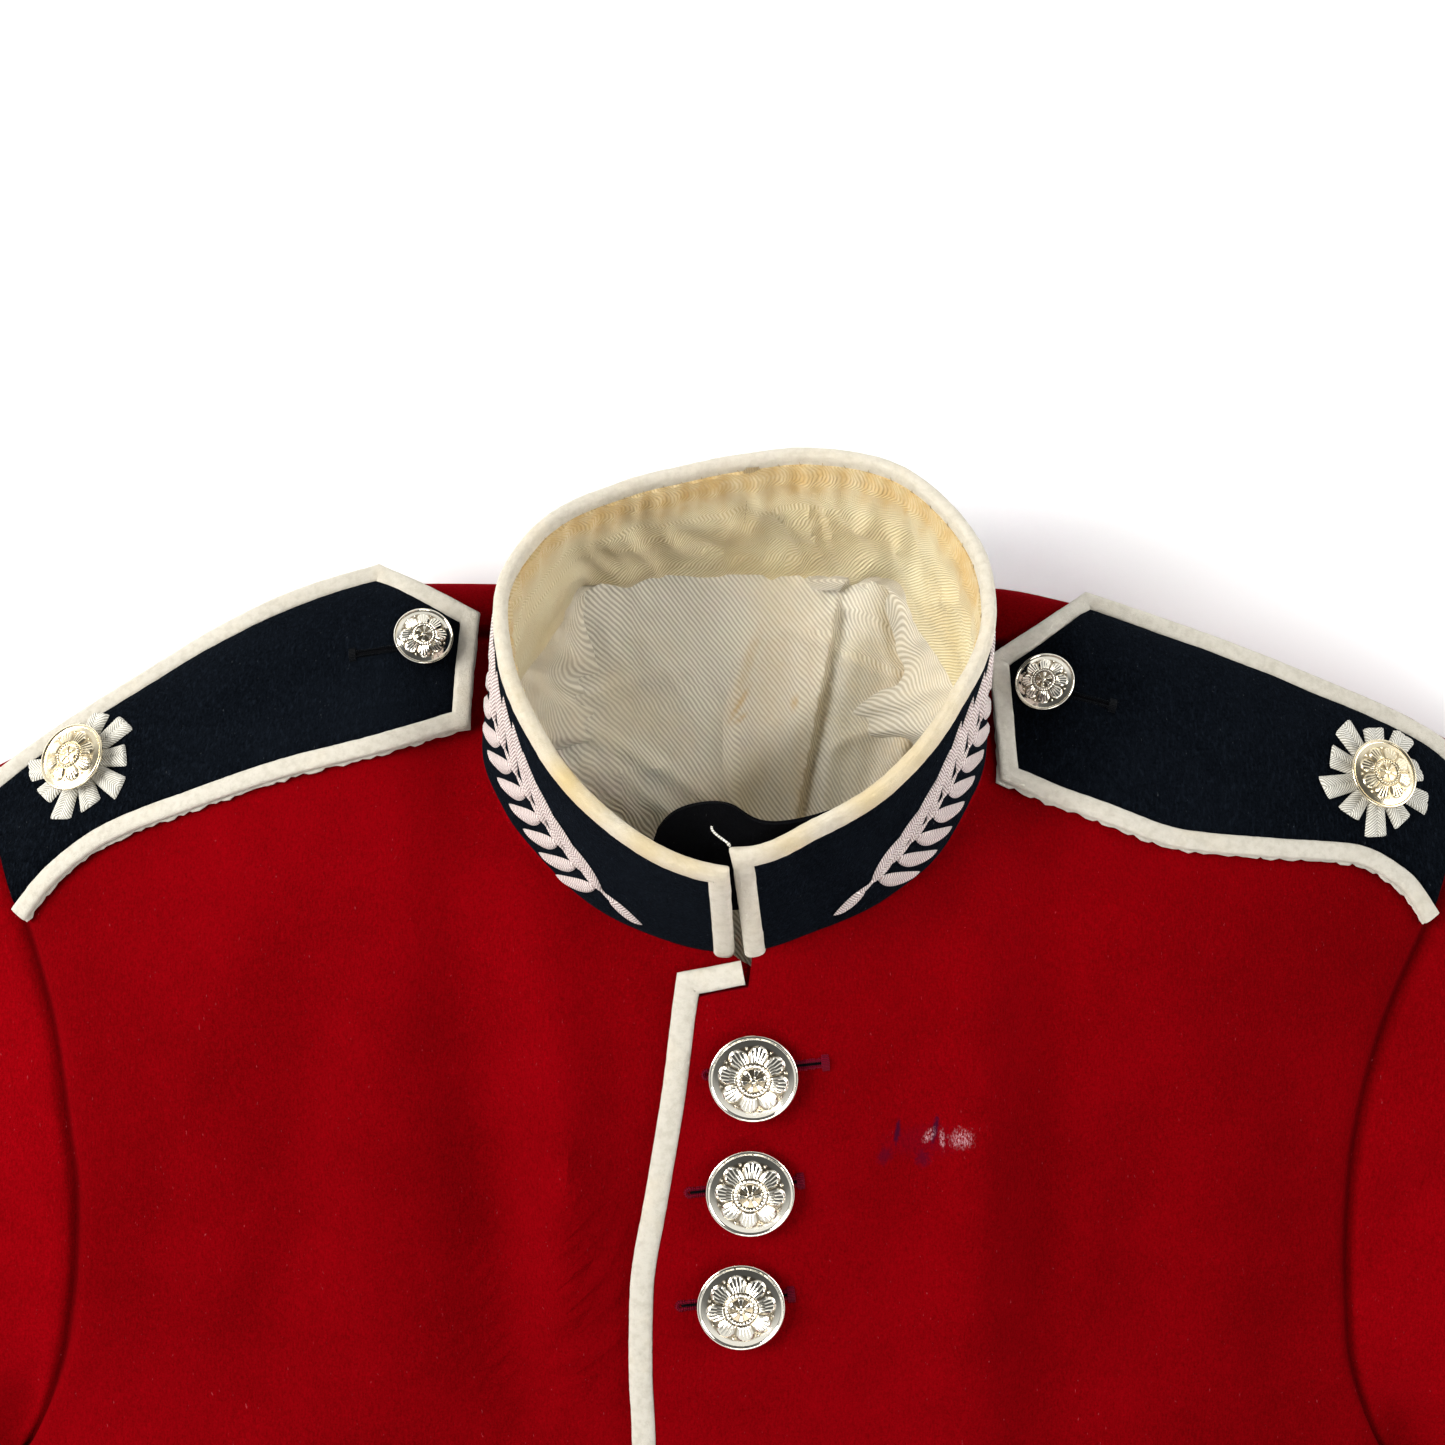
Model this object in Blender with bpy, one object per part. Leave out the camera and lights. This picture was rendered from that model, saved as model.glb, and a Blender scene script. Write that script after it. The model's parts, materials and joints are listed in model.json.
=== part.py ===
"""Foot guards tunic, laid on its back on a table.

Sizes are in millimetres until a mesh is made, and the scene is in metres.
X runs across the tunic, Y runs from the hem towards the collar, Z is up.
The wearer's left front lies at +X and laps over the wearer's right front.
Every cloth piece is a wall: a grid of points on its outer face, and the same
grid moved inward by the cloth's thickness.
"""

import math

import bmesh
import bpy
import numpy as np
from mathutils import Matrix, Vector
from mathutils.bvhtree import BVHTree

MM = 0.001

# Cloth and seams
CLOTH = 2.4
LINING = 1.0
GAP = 0.3
PULL = 0.2
LIFT = CLOTH + 2 * GAP

# Neck seam: plan radius about its own centre, by degrees round from the front
SEAM_CENTRE_Y = -7.4
SEAM_MID_Z = 37.0
SEAM_SLOPE = 0.62
SIDE_RAISE = 13.0
SIDE_REACH = 75.0
SEAM_ANGLE = [-8, 0, 20, 45, 60, 75, 90, 105, 120, 133, 148, 164, 180, 196, 212, 227, 240, 255, 270, 285, 300, 315,
              340, 360]
SEAM_RADIUS = [57, 57, 55.5, 59.5, 64, 68, 71.5, 72, 71.5, 73, 65, 59, 57, 59, 65, 73.5, 72, 74.5, 74.5, 70, 65,
               61.4, 57.8, 57.4]

# Top edge of the collar, in the same way about its own centre
TOP_CENTRE_Y = 20.5
TOP_MID_Z = 75.5
TOP_SLOPE = 0.58
TOP_ANGLE = [-8, 0, 25, 50, 75, 100, 115, 135, 160, 180, 195, 215, 240, 252, 270, 295, 320, 345, 360]
TOP_RADIUS = [54.5, 54.5, 51, 53.2, 59, 70.8, 74, 72.5, 64.5, 58.5, 57.1, 60, 68.2, 69.5, 65, 59.1, 57.4, 59, 60]

COLLAR_WALL = 2.8
COLLAR_SETBACK = 1.3
EDGING = 5.6
EDGING_THICK = 4.2
COLLAR_ENDS = {"seam": (1.4, 358.2), "top": (-2.5, 356.9)}
COLLAR_STEPS = 45
NECK_SETBACK = 1.0
NECK_SIDE_SETBACK = 4.6

# Fronts: height of the middle of the chest, the button line and both front edges, by Y
CHEST_Y = [-690, -560, -450, -390, -320, -250, -200, -150, -100, -64, -30, 0, 30, 60]
CHEST_Z = [15, 20, 24, 27, 37, 49, 56, 62, 68.5, 73.5, 69, 62, 53, 47]
BUTTON_Y = [-690, -300, -167, -133, -100, -64]
BUTTON_X = [-5, -3, 0.3, 2.9, 3.7, 2]
EDGE_Y = [-690, -390, -210, -185, -164, -137, -107, -75, -70.4]
EDGE_X = [-35, -33, -30.9, -31.8, -31.4, -27.2, -22.2, -18.1, -17.2]
FRONT_PIPING = 6.3
UNDERLAP = 13.0
LEVEL_HALF = 40.0
TAB_END = (0.2, -67.2)
TAB_CORNER = (-16.8, -70.4)

# Outer edge of each front, by row number: shoulder tip, armhole, underarm, side, waist
ARMHOLE_END = 8.0
WAIST_Y = -390.0
HEM_Y = -690.0
OUTER_ROW = [0, 1, 2, 3, 4, 5, 6, 7, 8, 9, 10, 11]
OUTER = {
    -1: {
        "x": [-232, -214, -203, -199, -196, -196.5, -200, -214, -238, -236, -229, -222],
        "y": [-24, -57, -92, -117, -140, -158, -182, -216, -250, -292, -340, -390],
        "z": [24, 43, 47, 48.5, 49, 48, 44, 31, 12, 9, 8, 8],
    },
    1: {
        "x": [222, 204.5, 190, 183.5, 180, 179, 180.5, 194, 230, 230, 224, 217],
        "y": [-30, -60, -90, -112, -134, -155, -182, -218, -254, -292, -340, -390],
        "z": [33, 45, 49, 50, 50, 49.5, 47, 34, 12, 9, 8, 8],
    },
}
NECK_ROW = [0, 1, 2, 3, 4, 5]
NECK_ANGLE = [120, 100, 75, 45, 20, 3.6]
INNER_ROW = [5.3, 6, 7, 8, 9, 10, 11]
INNER_Y = [-77, -104, -150, -208, -285, -338, -390]
COLUMNS = [0, 0.11, 0.22, 0.33, 0.44, 0.55, 0.65, 0.74, 0.82, 0.9, 1]
ROUND_ROW = [0, 6, 7, 8, 11]
ROUND = [0, 0, 0.35, 1, 1]
FRONT_ROWS = [0, 0.3, 0.65, 1, 1.45, 1.9, 2.4, 3, 3.6, 4.3, 5, 5.15, 5.3, 5.75, 6.2, 6.7, 7.2, 7.6, 8, 8.6,
              9.3, 10.1, 11]

# Shoulders: the seam line, and the crest behind it where the cloth turns under, by share of the way out
SHOULDER_U = [0, 0.1, 0.25, 0.45, 0.65, 0.85, 1]
SHOULDER = {
    -1: {
        "line_x": [-59.5, -77, -103, -137, -172, -207, -232],
        "line_y": [27, 27, 21, 11, 0, -13, -24],
        "line_z": [22, 31, 43, 43, 38, 31, 24],
        "crest_x": [-49, -74, -104, -137, -170, -207, -235],
        "crest_y": [42, 43, 42.5, 36.5, 21, 0, -16],
        "crest_z": [7, 15, 22, 20, 14, 10, 9],
    },
    1: {
        "line_x": [59.5, 76, 100, 133, 167, 200, 222],
        "line_y": [27, 23, 15, 5, -7, -19, -30],
        "line_z": [22, 31, 46, 48, 44, 38, 33],
        "crest_x": [49, 74, 102, 134, 167, 203, 229],
        "crest_y": [42, 42, 36.5, 27.5, 17, 4, -11],
        "crest_z": [7, 13, 24, 25, 21, 16, 13],
    },
}

# Backs: rows run from the seam line over the crest to the table, then down to the waist
BACK_NECK_ROW = [0, 1, 2, 3]
BACK_NECK_ANGLE = [120, 134, 153, 180]
BACK_ROW = [2, 3, 4.5, 6, 7, 8, 9, 10, 11]
BACK_OUTER = {
    -1: {
        "x": [-230, -219, -204, -200, -210, -238, -236, -229, -222],
        "y": [-24, -58, -108, -160, -205, -250, -292, -340, -390],
    },
    1: {
        "x": [222, 209, 190, 183, 194, 230, 230, 224, 217],
        "y": [-22, -58, -108, -160, -208, -254, -292, -340, -390],
    },
}
CENTRE_ROW = [3, 4.5, 6, 7, 8, 9, 10, 11]
CENTRE_Y = [49, -10, -80, -140, -208, -285, -338, -390]
BACK_ROWS = [0, 0.35, 0.7, 1, 1.3, 1.65, 2, 2.5, 3, 3.7, 4.5, 5.2, 6, 6.6, 7.2, 7.6, 8, 8.6, 9.3, 10.1, 11]
UNDER_IN = 13.0

# Skirts: half width at the side seam from waist to hem
SKIRT_Y = [-690, -560, -450, -390]
SKIRT_X = {-1: [-258, -246, -232, -222], 1: [252, 241, 227, 217]}
SKIRT_ROWS = 6
SIDE_Z = 8.0
SIDE_POWER = 3.0

# Sleeves: inner and outer edge of each section from the upper arm to the cuff
SLEEVE = {
    "inner_x": [244, 255, 264, 270, 272, 273],
    "inner_y": [-275, -335, -400, -460, -520, -527],
    "outer_x": [362, 378, 391, 398, 401, 401],
    "outer_y": [-240, -310, -380, -450, -514, -521],
    "height": [54, 46, 39, 33, 28, 27],
    "edge": [11, 10.5, 10, 9.5, 9, 9],
}
SLEEVE_SHIFT = {-1: 0.0, 1: -6.0}
SLEEVE_POWER = 2.3
CAP_ROWS = 6
ARM_ROWS = 5
CUFF_PIPING = 4.0
CUFF_PROUD = 0.8
CUFF_DEPTH = 72.0
CUFF_NARROW = 1.0

# Shoulder straps: corners in plan for each side, seen square on from above
STRAP_CLOTH = 2.6
STRAP_PIPING = 5.2
STRAP_PIPING_THICK = 3.4
STRAP_ROWS = 13
STRAP_COLUMNS = 7
STRAP_FRONT_U = [0, 0.2, 0.4, 0.6, 0.8, 0.92, 1]
STRAP = {
    -1: {
        "front_x": [-80.5, -105, -131, -158, -184, -201, -211.5],
        "front_y": [-2.3, -9.5, -16, -25, -35, -47, -59],
        "back_x": [-110, -135, -158, -181, -206, -222, -230],
        "back_y": [46.5, 38.5, 27.5, 13.5, -2, -13, -19],
        "apex": (-77.5, 32),
    },
    1: {
        "front_x": [75.5, 101, 127, 153, 178, 194, 202.5],
        "front_y": [-18.3, -27.5, -36.5, -39, -41, -49, -60],
        "back_x": [105, 128, 152, 175, 199, 213, 220.5],
        "back_y": [37.5, 29.5, 21, 12, 2, -6, -14],
        "apex": (74.2, 19.3),
    },
}

# Buttons: diameters, height over the cloth, and places
LARGE_BUTTON = 25.4
STAR_BUTTON = 21.0
SMALL_BUTTON = 17.5
BUTTON_GROUPS_Y = [-100, -133.5, -167, -240, -273.5, -307, -374, -407.5, -441]
STRAP_BUTTON = {-1: (-94.0, 24.5), 1: (90.5, 11.0)}
STAR_PLACE = {-1: (-197.0, -12.0), 1: (188.5, -16.5)}
STAR_RADIUS = 18.0
STAR_POINTS = 10
STAR_THICK = 1.0

# Leaf sprays on the collar, by degrees from the front, and their share of its height
SPRAY_FROM = 33.0
SPRAY_TO = 104.0
SPRAY_THICK = 0.9
SPRAY_LEAVES = 6

# Soft folds of the fronts: place, direction in degrees, half length, half width, rise
FOLDS = [
    {"x": 158, "y": -205, "turn": 84, "long": 95, "wide": 20, "rise": -3.0},
    {"x": 128, "y": -250, "turn": 80, "long": 100, "wide": 22, "rise": 2.0},
    {"x": 86, "y": -62, "turn": 78, "long": 40, "wide": 13, "rise": -2.4},
    {"x": -92, "y": -55, "turn": 105, "long": 40, "wide": 15, "rise": -1.6},
    {"x": -165, "y": -235, "turn": 96, "long": 80, "wide": 22, "rise": -2.6},
    {"x": -120, "y": -290, "turn": 100, "long": 90, "wide": 26, "rise": 2.2},
    {"x": 60, "y": -330, "turn": 86, "long": 70, "wide": 24, "rise": -1.8},
    {"x": -75, "y": -360, "turn": 95, "long": 60, "wide": 24, "rise": -1.6},
    {"x": 150, "y": -560, "turn": 82, "long": 120, "wide": 30, "rise": 2.2},
    {"x": -150, "y": -560, "turn": 98, "long": 120, "wide": 30, "rise": 2.2},
]
SLEEVE_FOLDS = [
    {"x": 290, "y": -300, "turn": 35, "long": 46, "wide": 12, "rise": -4.0},
    {"x": 326, "y": -350, "turn": 28, "long": 52, "wide": 13, "rise": -4.5},
    {"x": 318, "y": -392, "turn": 12, "long": 50, "wide": 12, "rise": -3.5},
    {"x": 345, "y": -430, "turn": -8, "long": 44, "wide": 12, "rise": -2.5},
    {"x": 278, "y": -190, "turn": 62, "long": 50, "wide": 13, "rise": -3.0},
]

# Tongue behind the collar's opening: where its low and high edges lie, and how far the high edge leans in
TONGUE_THICK = 1.6
TONGUE = [
    (332, 0.58, 331, 0.80, 6.5),
    (333.5, 0.50, 333, 0.90, 10.0),
    (338, 0.42, 338, 0.94, 14.0),
    (344, 0.38, 345, 0.95, 17.0),
    (350, 0.36, 351, 0.95, 18.5),
    (356, 0.35, 357, 0.95, 17.0),
    (3, 0.34, 4, 0.93, 10.0),
    (10, 0.34, 11, 0.92, 5.5),
    (18, 0.34, 19, 0.90, 2.5),
    (27, 0.34, 28, 0.88, 0.8),
    (37, 0.36, 38, 0.86, 0.2),
    (46, 0.44, 47, 0.80, 0.0),
]

COLOURS = {
    "scarlet": ((0.50, 0.004, 0.010), 0.85, 0.0),
    "navy": ((0.008, 0.011, 0.019), 0.9, 0.0),
    "white": ((0.80, 0.76, 0.70), 0.9, 0.0),
    "lining": ((0.66, 0.60, 0.48), 0.45, 0.0),
    "black": ((0.004, 0.004, 0.005), 0.95, 0.0),
    "metal": ((0.83, 0.79, 0.68), 0.16, 1.0),
}


def follow(knots, values, at):
    """A smooth curve through a table's rows that never overshoots them."""
    knots = np.asarray(knots, float)
    values = np.asarray(values, float)
    if knots[0] > knots[-1]:
        knots, values = knots[::-1], values[::-1]
    at = np.clip(np.asarray(at, float), knots[0], knots[-1])
    step = np.diff(knots)
    slope = np.diff(values) / step
    lean = np.zeros_like(values)
    same = slope[:-1] * slope[1:] > 0
    lean[1:-1][same] = 2 * slope[:-1][same] * slope[1:][same] / (slope[:-1][same] + slope[1:][same])
    lean[0], lean[-1] = slope[0], slope[-1]
    i = np.clip(np.searchsorted(knots, at, side="right") - 1, 0, len(step) - 1)
    t = (at - knots[i]) / step[i]
    return (
        (2 * t**3 - 3 * t**2 + 1) * values[i]
        + (t**3 - 2 * t**2 + t) * step[i] * lean[i]
        + (3 * t**2 - 2 * t**3) * values[i + 1]
        + (t**3 - t**2) * step[i] * lean[i + 1]
    )


def ease(low, high, value):
    """0 below low, 1 above high, and a smooth rise between."""
    t = np.clip((np.asarray(value, float) - low) / (high - low), 0, 1)
    return t * t * (3 - 2 * t)


def unit(v):
    """v at length 1, along its last axis."""
    v = np.asarray(v, float)
    return v / np.maximum(np.linalg.norm(v, axis=-1, keepdims=True), 1e-9)


def bezier(a, b, c, d, t):
    """A point on the cubic curve with ends a and d and handles b and c."""
    return (1 - t) ** 3 * a + 3 * (1 - t) ** 2 * t * b + 3 * (1 - t) * t * t * c + t**3 * d


# Neck seam and collar

def neck_seam(angle):
    """Middle of the cloth at the neck seam, at degrees round from the front."""
    radius = follow(SEAM_ANGLE, SEAM_RADIUS, angle)
    turn = math.radians(angle)
    x, y = radius * math.sin(turn), SEAM_CENTRE_Y - radius * math.cos(turn)
    raised = SIDE_RAISE * (x / SIDE_REACH) ** 2 * float(1 - ease(25, 50, y))
    z = SEAM_MID_Z - SEAM_SLOPE * (y - SEAM_CENTRE_Y) + raised
    if angle < 90:
        z += LIFT * float(1 - ease(22, 55, x))
    return np.array([x, y, z])


def collar_top(angle):
    """Middle of the collar's top edge, at degrees round from the front."""
    radius = follow(TOP_ANGLE, TOP_RADIUS, angle)
    turn = math.radians(angle)
    x, y = radius * math.sin(turn), TOP_CENTRE_Y - radius * math.cos(turn)
    z = TOP_MID_Z - TOP_SLOPE * (y - TOP_CENTRE_Y) + SIDE_RAISE * (x / SIDE_REACH) ** 2
    return np.array([x, y, z])


def collar_point(angle, height):
    """Middle of the collar's wall, where height runs from 0 at the seam to 1 at the top."""
    return neck_seam(angle) * (1 - height) + collar_top(angle) * height


def collar_normal(angle, height):
    """Outward direction of the collar's wall."""
    step = 1.0
    low, high = max(angle - step, 0), min(angle + step, 360)
    round_it = collar_point(high, height) - collar_point(low, height)
    up = collar_point(angle, 1) - collar_point(angle, 0)
    return unit(np.cross(round_it, up))


# Fronts

def chest(y):
    """Height of the fronts along the button line."""
    return follow(CHEST_Y, CHEST_Z, y)


def button_line(y):
    """X of the buttons."""
    return follow(BUTTON_Y, BUTTON_X, y)


def fold_height(folds, x, y):
    """Rise of the soft folds at a place."""
    rise = 0.0
    for fold in folds:
        turn = math.radians(fold["turn"])
        dx, dy = x - fold["x"], y - fold["y"]
        along = (dx * math.cos(turn) + dy * math.sin(turn)) / fold["long"]
        across = (-dx * math.sin(turn) + dy * math.cos(turn)) / fold["wide"]
        rise += fold["rise"] * math.exp(-(along**2) - across**2)
    return rise


def front_inner(side, row):
    """Plan point of a front's inner edge: along the neck seam, then down the front edge."""
    if row <= 5:
        angle = float(follow(NECK_ROW, NECK_ANGLE, row))
        if side < 0:
            angle = 360 - angle
        x, y, _ = neck_seam(angle)
        return np.array([x, y])
    y = float(follow(INNER_ROW, INNER_Y, row))
    if side > 0:
        step = np.array([TAB_END[0] + 2.0, TAB_END[1] - FRONT_PIPING - 1.2])
        corner = np.array([front_edge_x(INNER_Y[0]) + 0.2, INNER_Y[0] - 0.4])
        if row <= 5.15:
            return front_inner(side, 5) * (5.15 - row) / 0.15 + step * (row - 5) / 0.15
        if row <= 5.3:
            return step * (5.3 - row) / 0.15 + corner * (row - 5.15) / 0.15
        return np.array([front_edge_x(y), y])
    corner = np.array([float(button_line(INNER_Y[0])) + UNDERLAP, INNER_Y[0]])
    if row <= 5.3:
        return front_inner(side, 5) * (5.3 - row) / 0.3 + corner * (row - 5) / 0.3
    return np.array([float(button_line(y)) + UNDERLAP, y])


def front_edge_x(y):
    """X of the left front's own edge, beside its white edging."""
    return float(follow(EDGE_Y, EDGE_X, y)) + FRONT_PIPING + GAP


def side_drop(d, roundness):
    """Share of the fall from the middle of the chest to the panel's outer edge."""
    flat = d**1.7
    rolled = 1 - (1 - d**SIDE_POWER) ** (1 / SIDE_POWER)
    return (1 - roundness) * flat + roundness * rolled


def front_height(side, x, y, edge_x, edge_y, edge_z, roundness):
    """Height of a front's outer face at a plan point, in a row that ends at the edge given."""
    centre = float(button_line(y))
    reach = abs(edge_x - float(button_line(edge_y))) - LEVEL_HALF
    d = min(max((side * (x - centre) - LEVEL_HALF) / reach, 0.0), 1.0)
    return float(chest(y)) + (edge_z - float(chest(edge_y))) * side_drop(d, roundness)


def shoulder_line(side, u):
    """Point of the shoulder seam."""
    table = SHOULDER[side]
    point = np.array([float(follow(SHOULDER_U, table["line_" + k], u)) for k in "xyz"])
    return neck_seam(NECK_ANGLE[0] if side > 0 else 360 - NECK_ANGLE[0]) if u <= 0 else point


def raw_front(side, u, row):
    """A front's outer face before the shoulder and the overlap are worked in."""
    outer = OUTER[side]
    edge = [float(follow(OUTER_ROW, outer[k], row)) for k in "xyz"]
    roundness = float(follow(ROUND_ROW, ROUND, row))
    start = front_inner(side, row)
    share = (1 - roundness) * u + roundness * (1 - (1 - u) ** 2)
    x, y = start + (np.array(edge[:2]) - start) * share
    z = front_height(side, x, y, *edge, roundness)
    if row < 6.5:
        angle = float(follow(NECK_ROW, NECK_ANGLE, min(row, 5)))
        seam = neck_seam(angle if side > 0 else 360 - angle)
        seam_z = seam[2] + (CLOTH / 2 if u > 0 or row > 5 else 0)
        if side > 0:
            seam_z -= LIFT * float(1 - ease(22, 55, seam[0]))
        miss = seam_z - front_height(side, seam[0], seam[1], *edge, roundness)
        away = math.hypot(x - seam[0], y - seam[1])
        z += miss * math.exp(-((away / 20.0) ** 2))
    return np.array([x, y, z])


def front_point(side, u, row):
    """A point on a front's outer face: u from the inner edge to the armhole or side, row from shoulder to waist."""
    p = raw_front(side, u, row)
    near = math.exp(-((row / 0.8) ** 2))
    p = p + (shoulder_line(side, u) - raw_front(side, u, 0)) * near
    if row > 0.6:
        edge_fade = min(1.0, (1 - u) / 0.15) * float(ease(0.6, 1.6, row))
        p[2] += fold_height(FOLDS, p[0], p[1]) * edge_fade * float(ease(34, 60, abs(p[0])))
    if side > 0:
        p[2] += LIFT * float(1 - ease(22, 55, p[0]))
    return p


# Backs

def back_inner(side, row):
    """Outer face of a back at the neck seam, then down the centre seam."""
    if row < 3:
        angle = float(follow(BACK_NECK_ROW, BACK_NECK_ANGLE, row))
        x, y, z = neck_seam(angle if side > 0 else 360 - angle)
        return np.array([x, y, z])
    y = float(follow(CENTRE_ROW, [neck_seam(180)[1]] + CENTRE_Y[1:], row))
    return np.array([0.0, y, neck_seam(180)[2] if row <= 3 else 0.0])


def crest(side, u):
    """Where the cloth behind the shoulder turns under."""
    table = SHOULDER[side]
    point = np.array([float(follow(SHOULDER_U, table["crest_" + k], u)) for k in "xyz"])
    return back_inner(side, 1) if u <= 0 else point


def back_outer(side, row):
    """Outer edge of a back: back armhole on the table, underarm, side seam."""
    table = BACK_OUTER[side]
    x = float(follow(BACK_ROW, table["x"], row))
    y = float(follow(BACK_ROW, table["y"], row))
    if row >= 7:
        front = OUTER[side]
        z = float(follow(OUTER_ROW, front["z"], row)) * float(ease(7, 8, row))
    else:
        z = 0.0
    return np.array([x, y, z])


def under_point(side, u):
    """Where the cloth that turned under at the shoulder first lies on the table."""
    if u <= 0:
        return back_inner(side, 2)
    if u >= 1:
        return back_outer(side, 2)
    x, y, _ = crest(side, u)
    ends = float(ease(0, 0.15, u))
    first, last = back_inner(side, 2), back_outer(side, 2)
    blend_in = first + (np.array([x, y - UNDER_IN, 0.0]) - first) * ends
    return blend_in + (last - blend_in) * float(ease(0.9, 1.0, u))


def back_point(side, u, row):
    """A point on a back's outer face: u from the neck or centre seam out, row from the shoulder seam to the waist."""
    if row <= 2:
        line, top, low = shoulder_line(side, u), crest(side, u), under_point(side, u)
        before = front_point(side, u, 0.3)
        lead = unit(line - before)
        reach = float(np.linalg.norm(top - line))
        drop = top[2] - low[2]
        if row <= 1:
            handle = top + np.array([0, 0, 1.0]) * min(reach * 0.35, 10.0)
            return bezier(line, line + lead * reach * 0.4, handle, top, row)
        below = top - np.array([0, 0, 1.0]) * drop * 0.55
        out = unit(np.array([top[0] - low[0], top[1] - low[1], 0.0]) + 1e-6) * UNDER_IN * 0.5
        return bezier(top, below, low + out, low, row - 1)
    start, end = back_inner(side, row), back_outer(side, row)
    radius = max(end[2], 5.0)
    width = float(np.linalg.norm((end - start)[:2]))
    share = edge_spread(u, radius / width)
    p = start + (end - start) * share
    away_out = (1 - share) * width
    p[2] = roll_up(end[2], away_out)
    if row <= 3:
        p[2] += start[2] * math.exp(-((share * width / 14.0) ** 2))
    return p


def edge_spread(u, roll):
    """Spreads a row's points so that the last ones follow a roll whose width is a share of the row."""
    bend = 0.7
    if u <= bend:
        return u / bend * (1 - roll)
    t = (u - bend) / (1 - bend)
    return 1 - roll * (1 - math.sin(t * math.pi / 2))


def roll_up(radius, away):
    """Height of cloth that leaves the table in a quarter circle and stands upright at its edge."""
    if radius <= 0 or away >= radius:
        return 0.0
    return radius - math.sqrt(max(radius**2 - (radius - away) ** 2, 0.0))


# Skirts

def skirt_side(side, y):
    """X of a skirt's side seam."""
    return float(follow(SKIRT_Y, SKIRT_X[side], y))


def front_skirt_point(side, u, down):
    """A point on a front skirt's outer face; down runs from 0 at the waist to 1 at the hem."""
    y = WAIST_Y + (HEM_Y - WAIST_Y) * down
    inner_x = front_edge_x(y) if side > 0 else float(button_line(y)) + UNDERLAP
    edge_x = skirt_side(side, y)
    x = inner_x + (edge_x - inner_x) * (1 - (1 - u) ** 2)
    z = front_height(side, x, y, edge_x, y, SIDE_Z, 1.0)
    edge_fade = min(1.0, (1 - u) / 0.15)
    z += fold_height(FOLDS, x, y) * edge_fade * float(ease(34, 60, abs(x)))
    if side > 0:
        z += LIFT * float(1 - ease(22, 55, x))
    return np.array([x, y, z])


def back_skirt_point(side, u, down):
    """A point on a back skirt's outer face."""
    y = WAIST_Y + (HEM_Y - WAIST_Y) * down
    edge_x = skirt_side(side, y)
    width = abs(edge_x)
    share = edge_spread(u, SIDE_Z / width)
    return np.array([edge_x * share, y, roll_up(SIDE_Z, (1 - share) * width)])


# Sleeves

def sleeve_edges(side, along):
    """Inner and outer edge, height and edge height of the sleeve's section; along counts the table's rows."""
    rows = range(len(SLEEVE["height"]))
    value = {k: float(follow(rows, v, along)) for k, v in SLEEVE.items()}
    shift = SLEEVE_SHIFT[side]
    inner = np.array([side * (value["inner_x"] + shift), value["inner_y"], value["edge"]])
    outer = np.array([side * (value["outer_x"] + shift), value["outer_y"], value["edge"]])
    return inner, outer, value["height"], value["edge"]


def upper_section(side, along, share):
    """Top half of a sleeve's section, where share runs from its inner edge to its outer edge."""
    inner, outer, height, edge = sleeve_edges(side, along)
    turn = math.pi * share
    c, s = math.cos(turn), math.sin(turn)
    across = (1 - math.copysign(abs(c) ** (2 / SLEEVE_POWER), c)) / 2
    p = inner + (outer - inner) * across
    lift = max(s, 0.0) ** (2 / SLEEVE_POWER)
    p[2] = edge + (height - edge) * lift
    p[2] += fold_height(SLEEVE_FOLDS, abs(p[0]), p[1]) * lift
    return p


def lower_section(side, along, share):
    """Bottom half of a sleeve's section: flat on the table, with both edges rolled up."""
    inner, outer, _, edge = sleeve_edges(side, along)
    width = float(np.linalg.norm(outer - inner))
    p = inner + (outer - inner) * share
    p[2] = roll_up(edge, min(share, 1 - share) * width)
    return p


def both_edges(count, roll):
    """Shares across a flat strip whose two edges roll up, close together in the rolls."""
    bends = [roll * (1 - math.sin(t * math.pi / 2)) for t in (1, 2 / 3, 1 / 3)]
    flat = list(np.linspace(roll, 1 - roll, count - 6))
    return bends[:3] + flat + [1 - b for b in reversed(bends[:3])]


def cap_curve(start, lead, end, travel, t):
    """A thread of the sleeve head from the armhole to the first full section."""
    reach = float(np.linalg.norm(end - start))
    return bezier(start, start + lead * reach * 0.38, end - travel * reach * 0.34, end, t)


def sleeve_travel(side):
    """Direction in which the sleeve leaves the underarm."""
    a, b = sleeve_edges(side, 0), sleeve_edges(side, 0.4)
    return unit((b[0] + b[1]) - (a[0] + a[1]))


def lengths_along(points):
    """Share of the way along a line of points, 0 to 1."""
    steps = np.linalg.norm(np.diff(np.array(points), axis=0), axis=1)
    total = np.concatenate([[0], np.cumsum(steps)])
    return total / total[-1]


def sleeve_rows(side, edge_points, leads, section, shares):
    """Rows of points from the armhole to the end of the sleeve."""
    travel = sleeve_travel(side)
    rows = []
    for i in range(CAP_ROWS):
        t = i / CAP_ROWS
        rows.append([
            cap_curve(p, lead, section(side, 0, s), travel, t)
            for p, lead, s in zip(edge_points, leads, shares)
        ])
    last = len(SLEEVE["height"]) - 1.0
    for i in range(ARM_ROWS + 1):
        along = last * i / ARM_ROWS
        rows.append([section(side, along, s) for s in shares])
    return np.array(rows)


# Turning grids of points into solids

def grid_normals(grid, flip):
    """Outward direction at each point of a grid."""
    down = np.gradient(grid, axis=0)
    across = np.gradient(grid, axis=1)
    return unit(np.cross(across, down)) * (-1 if flip else 1)


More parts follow.
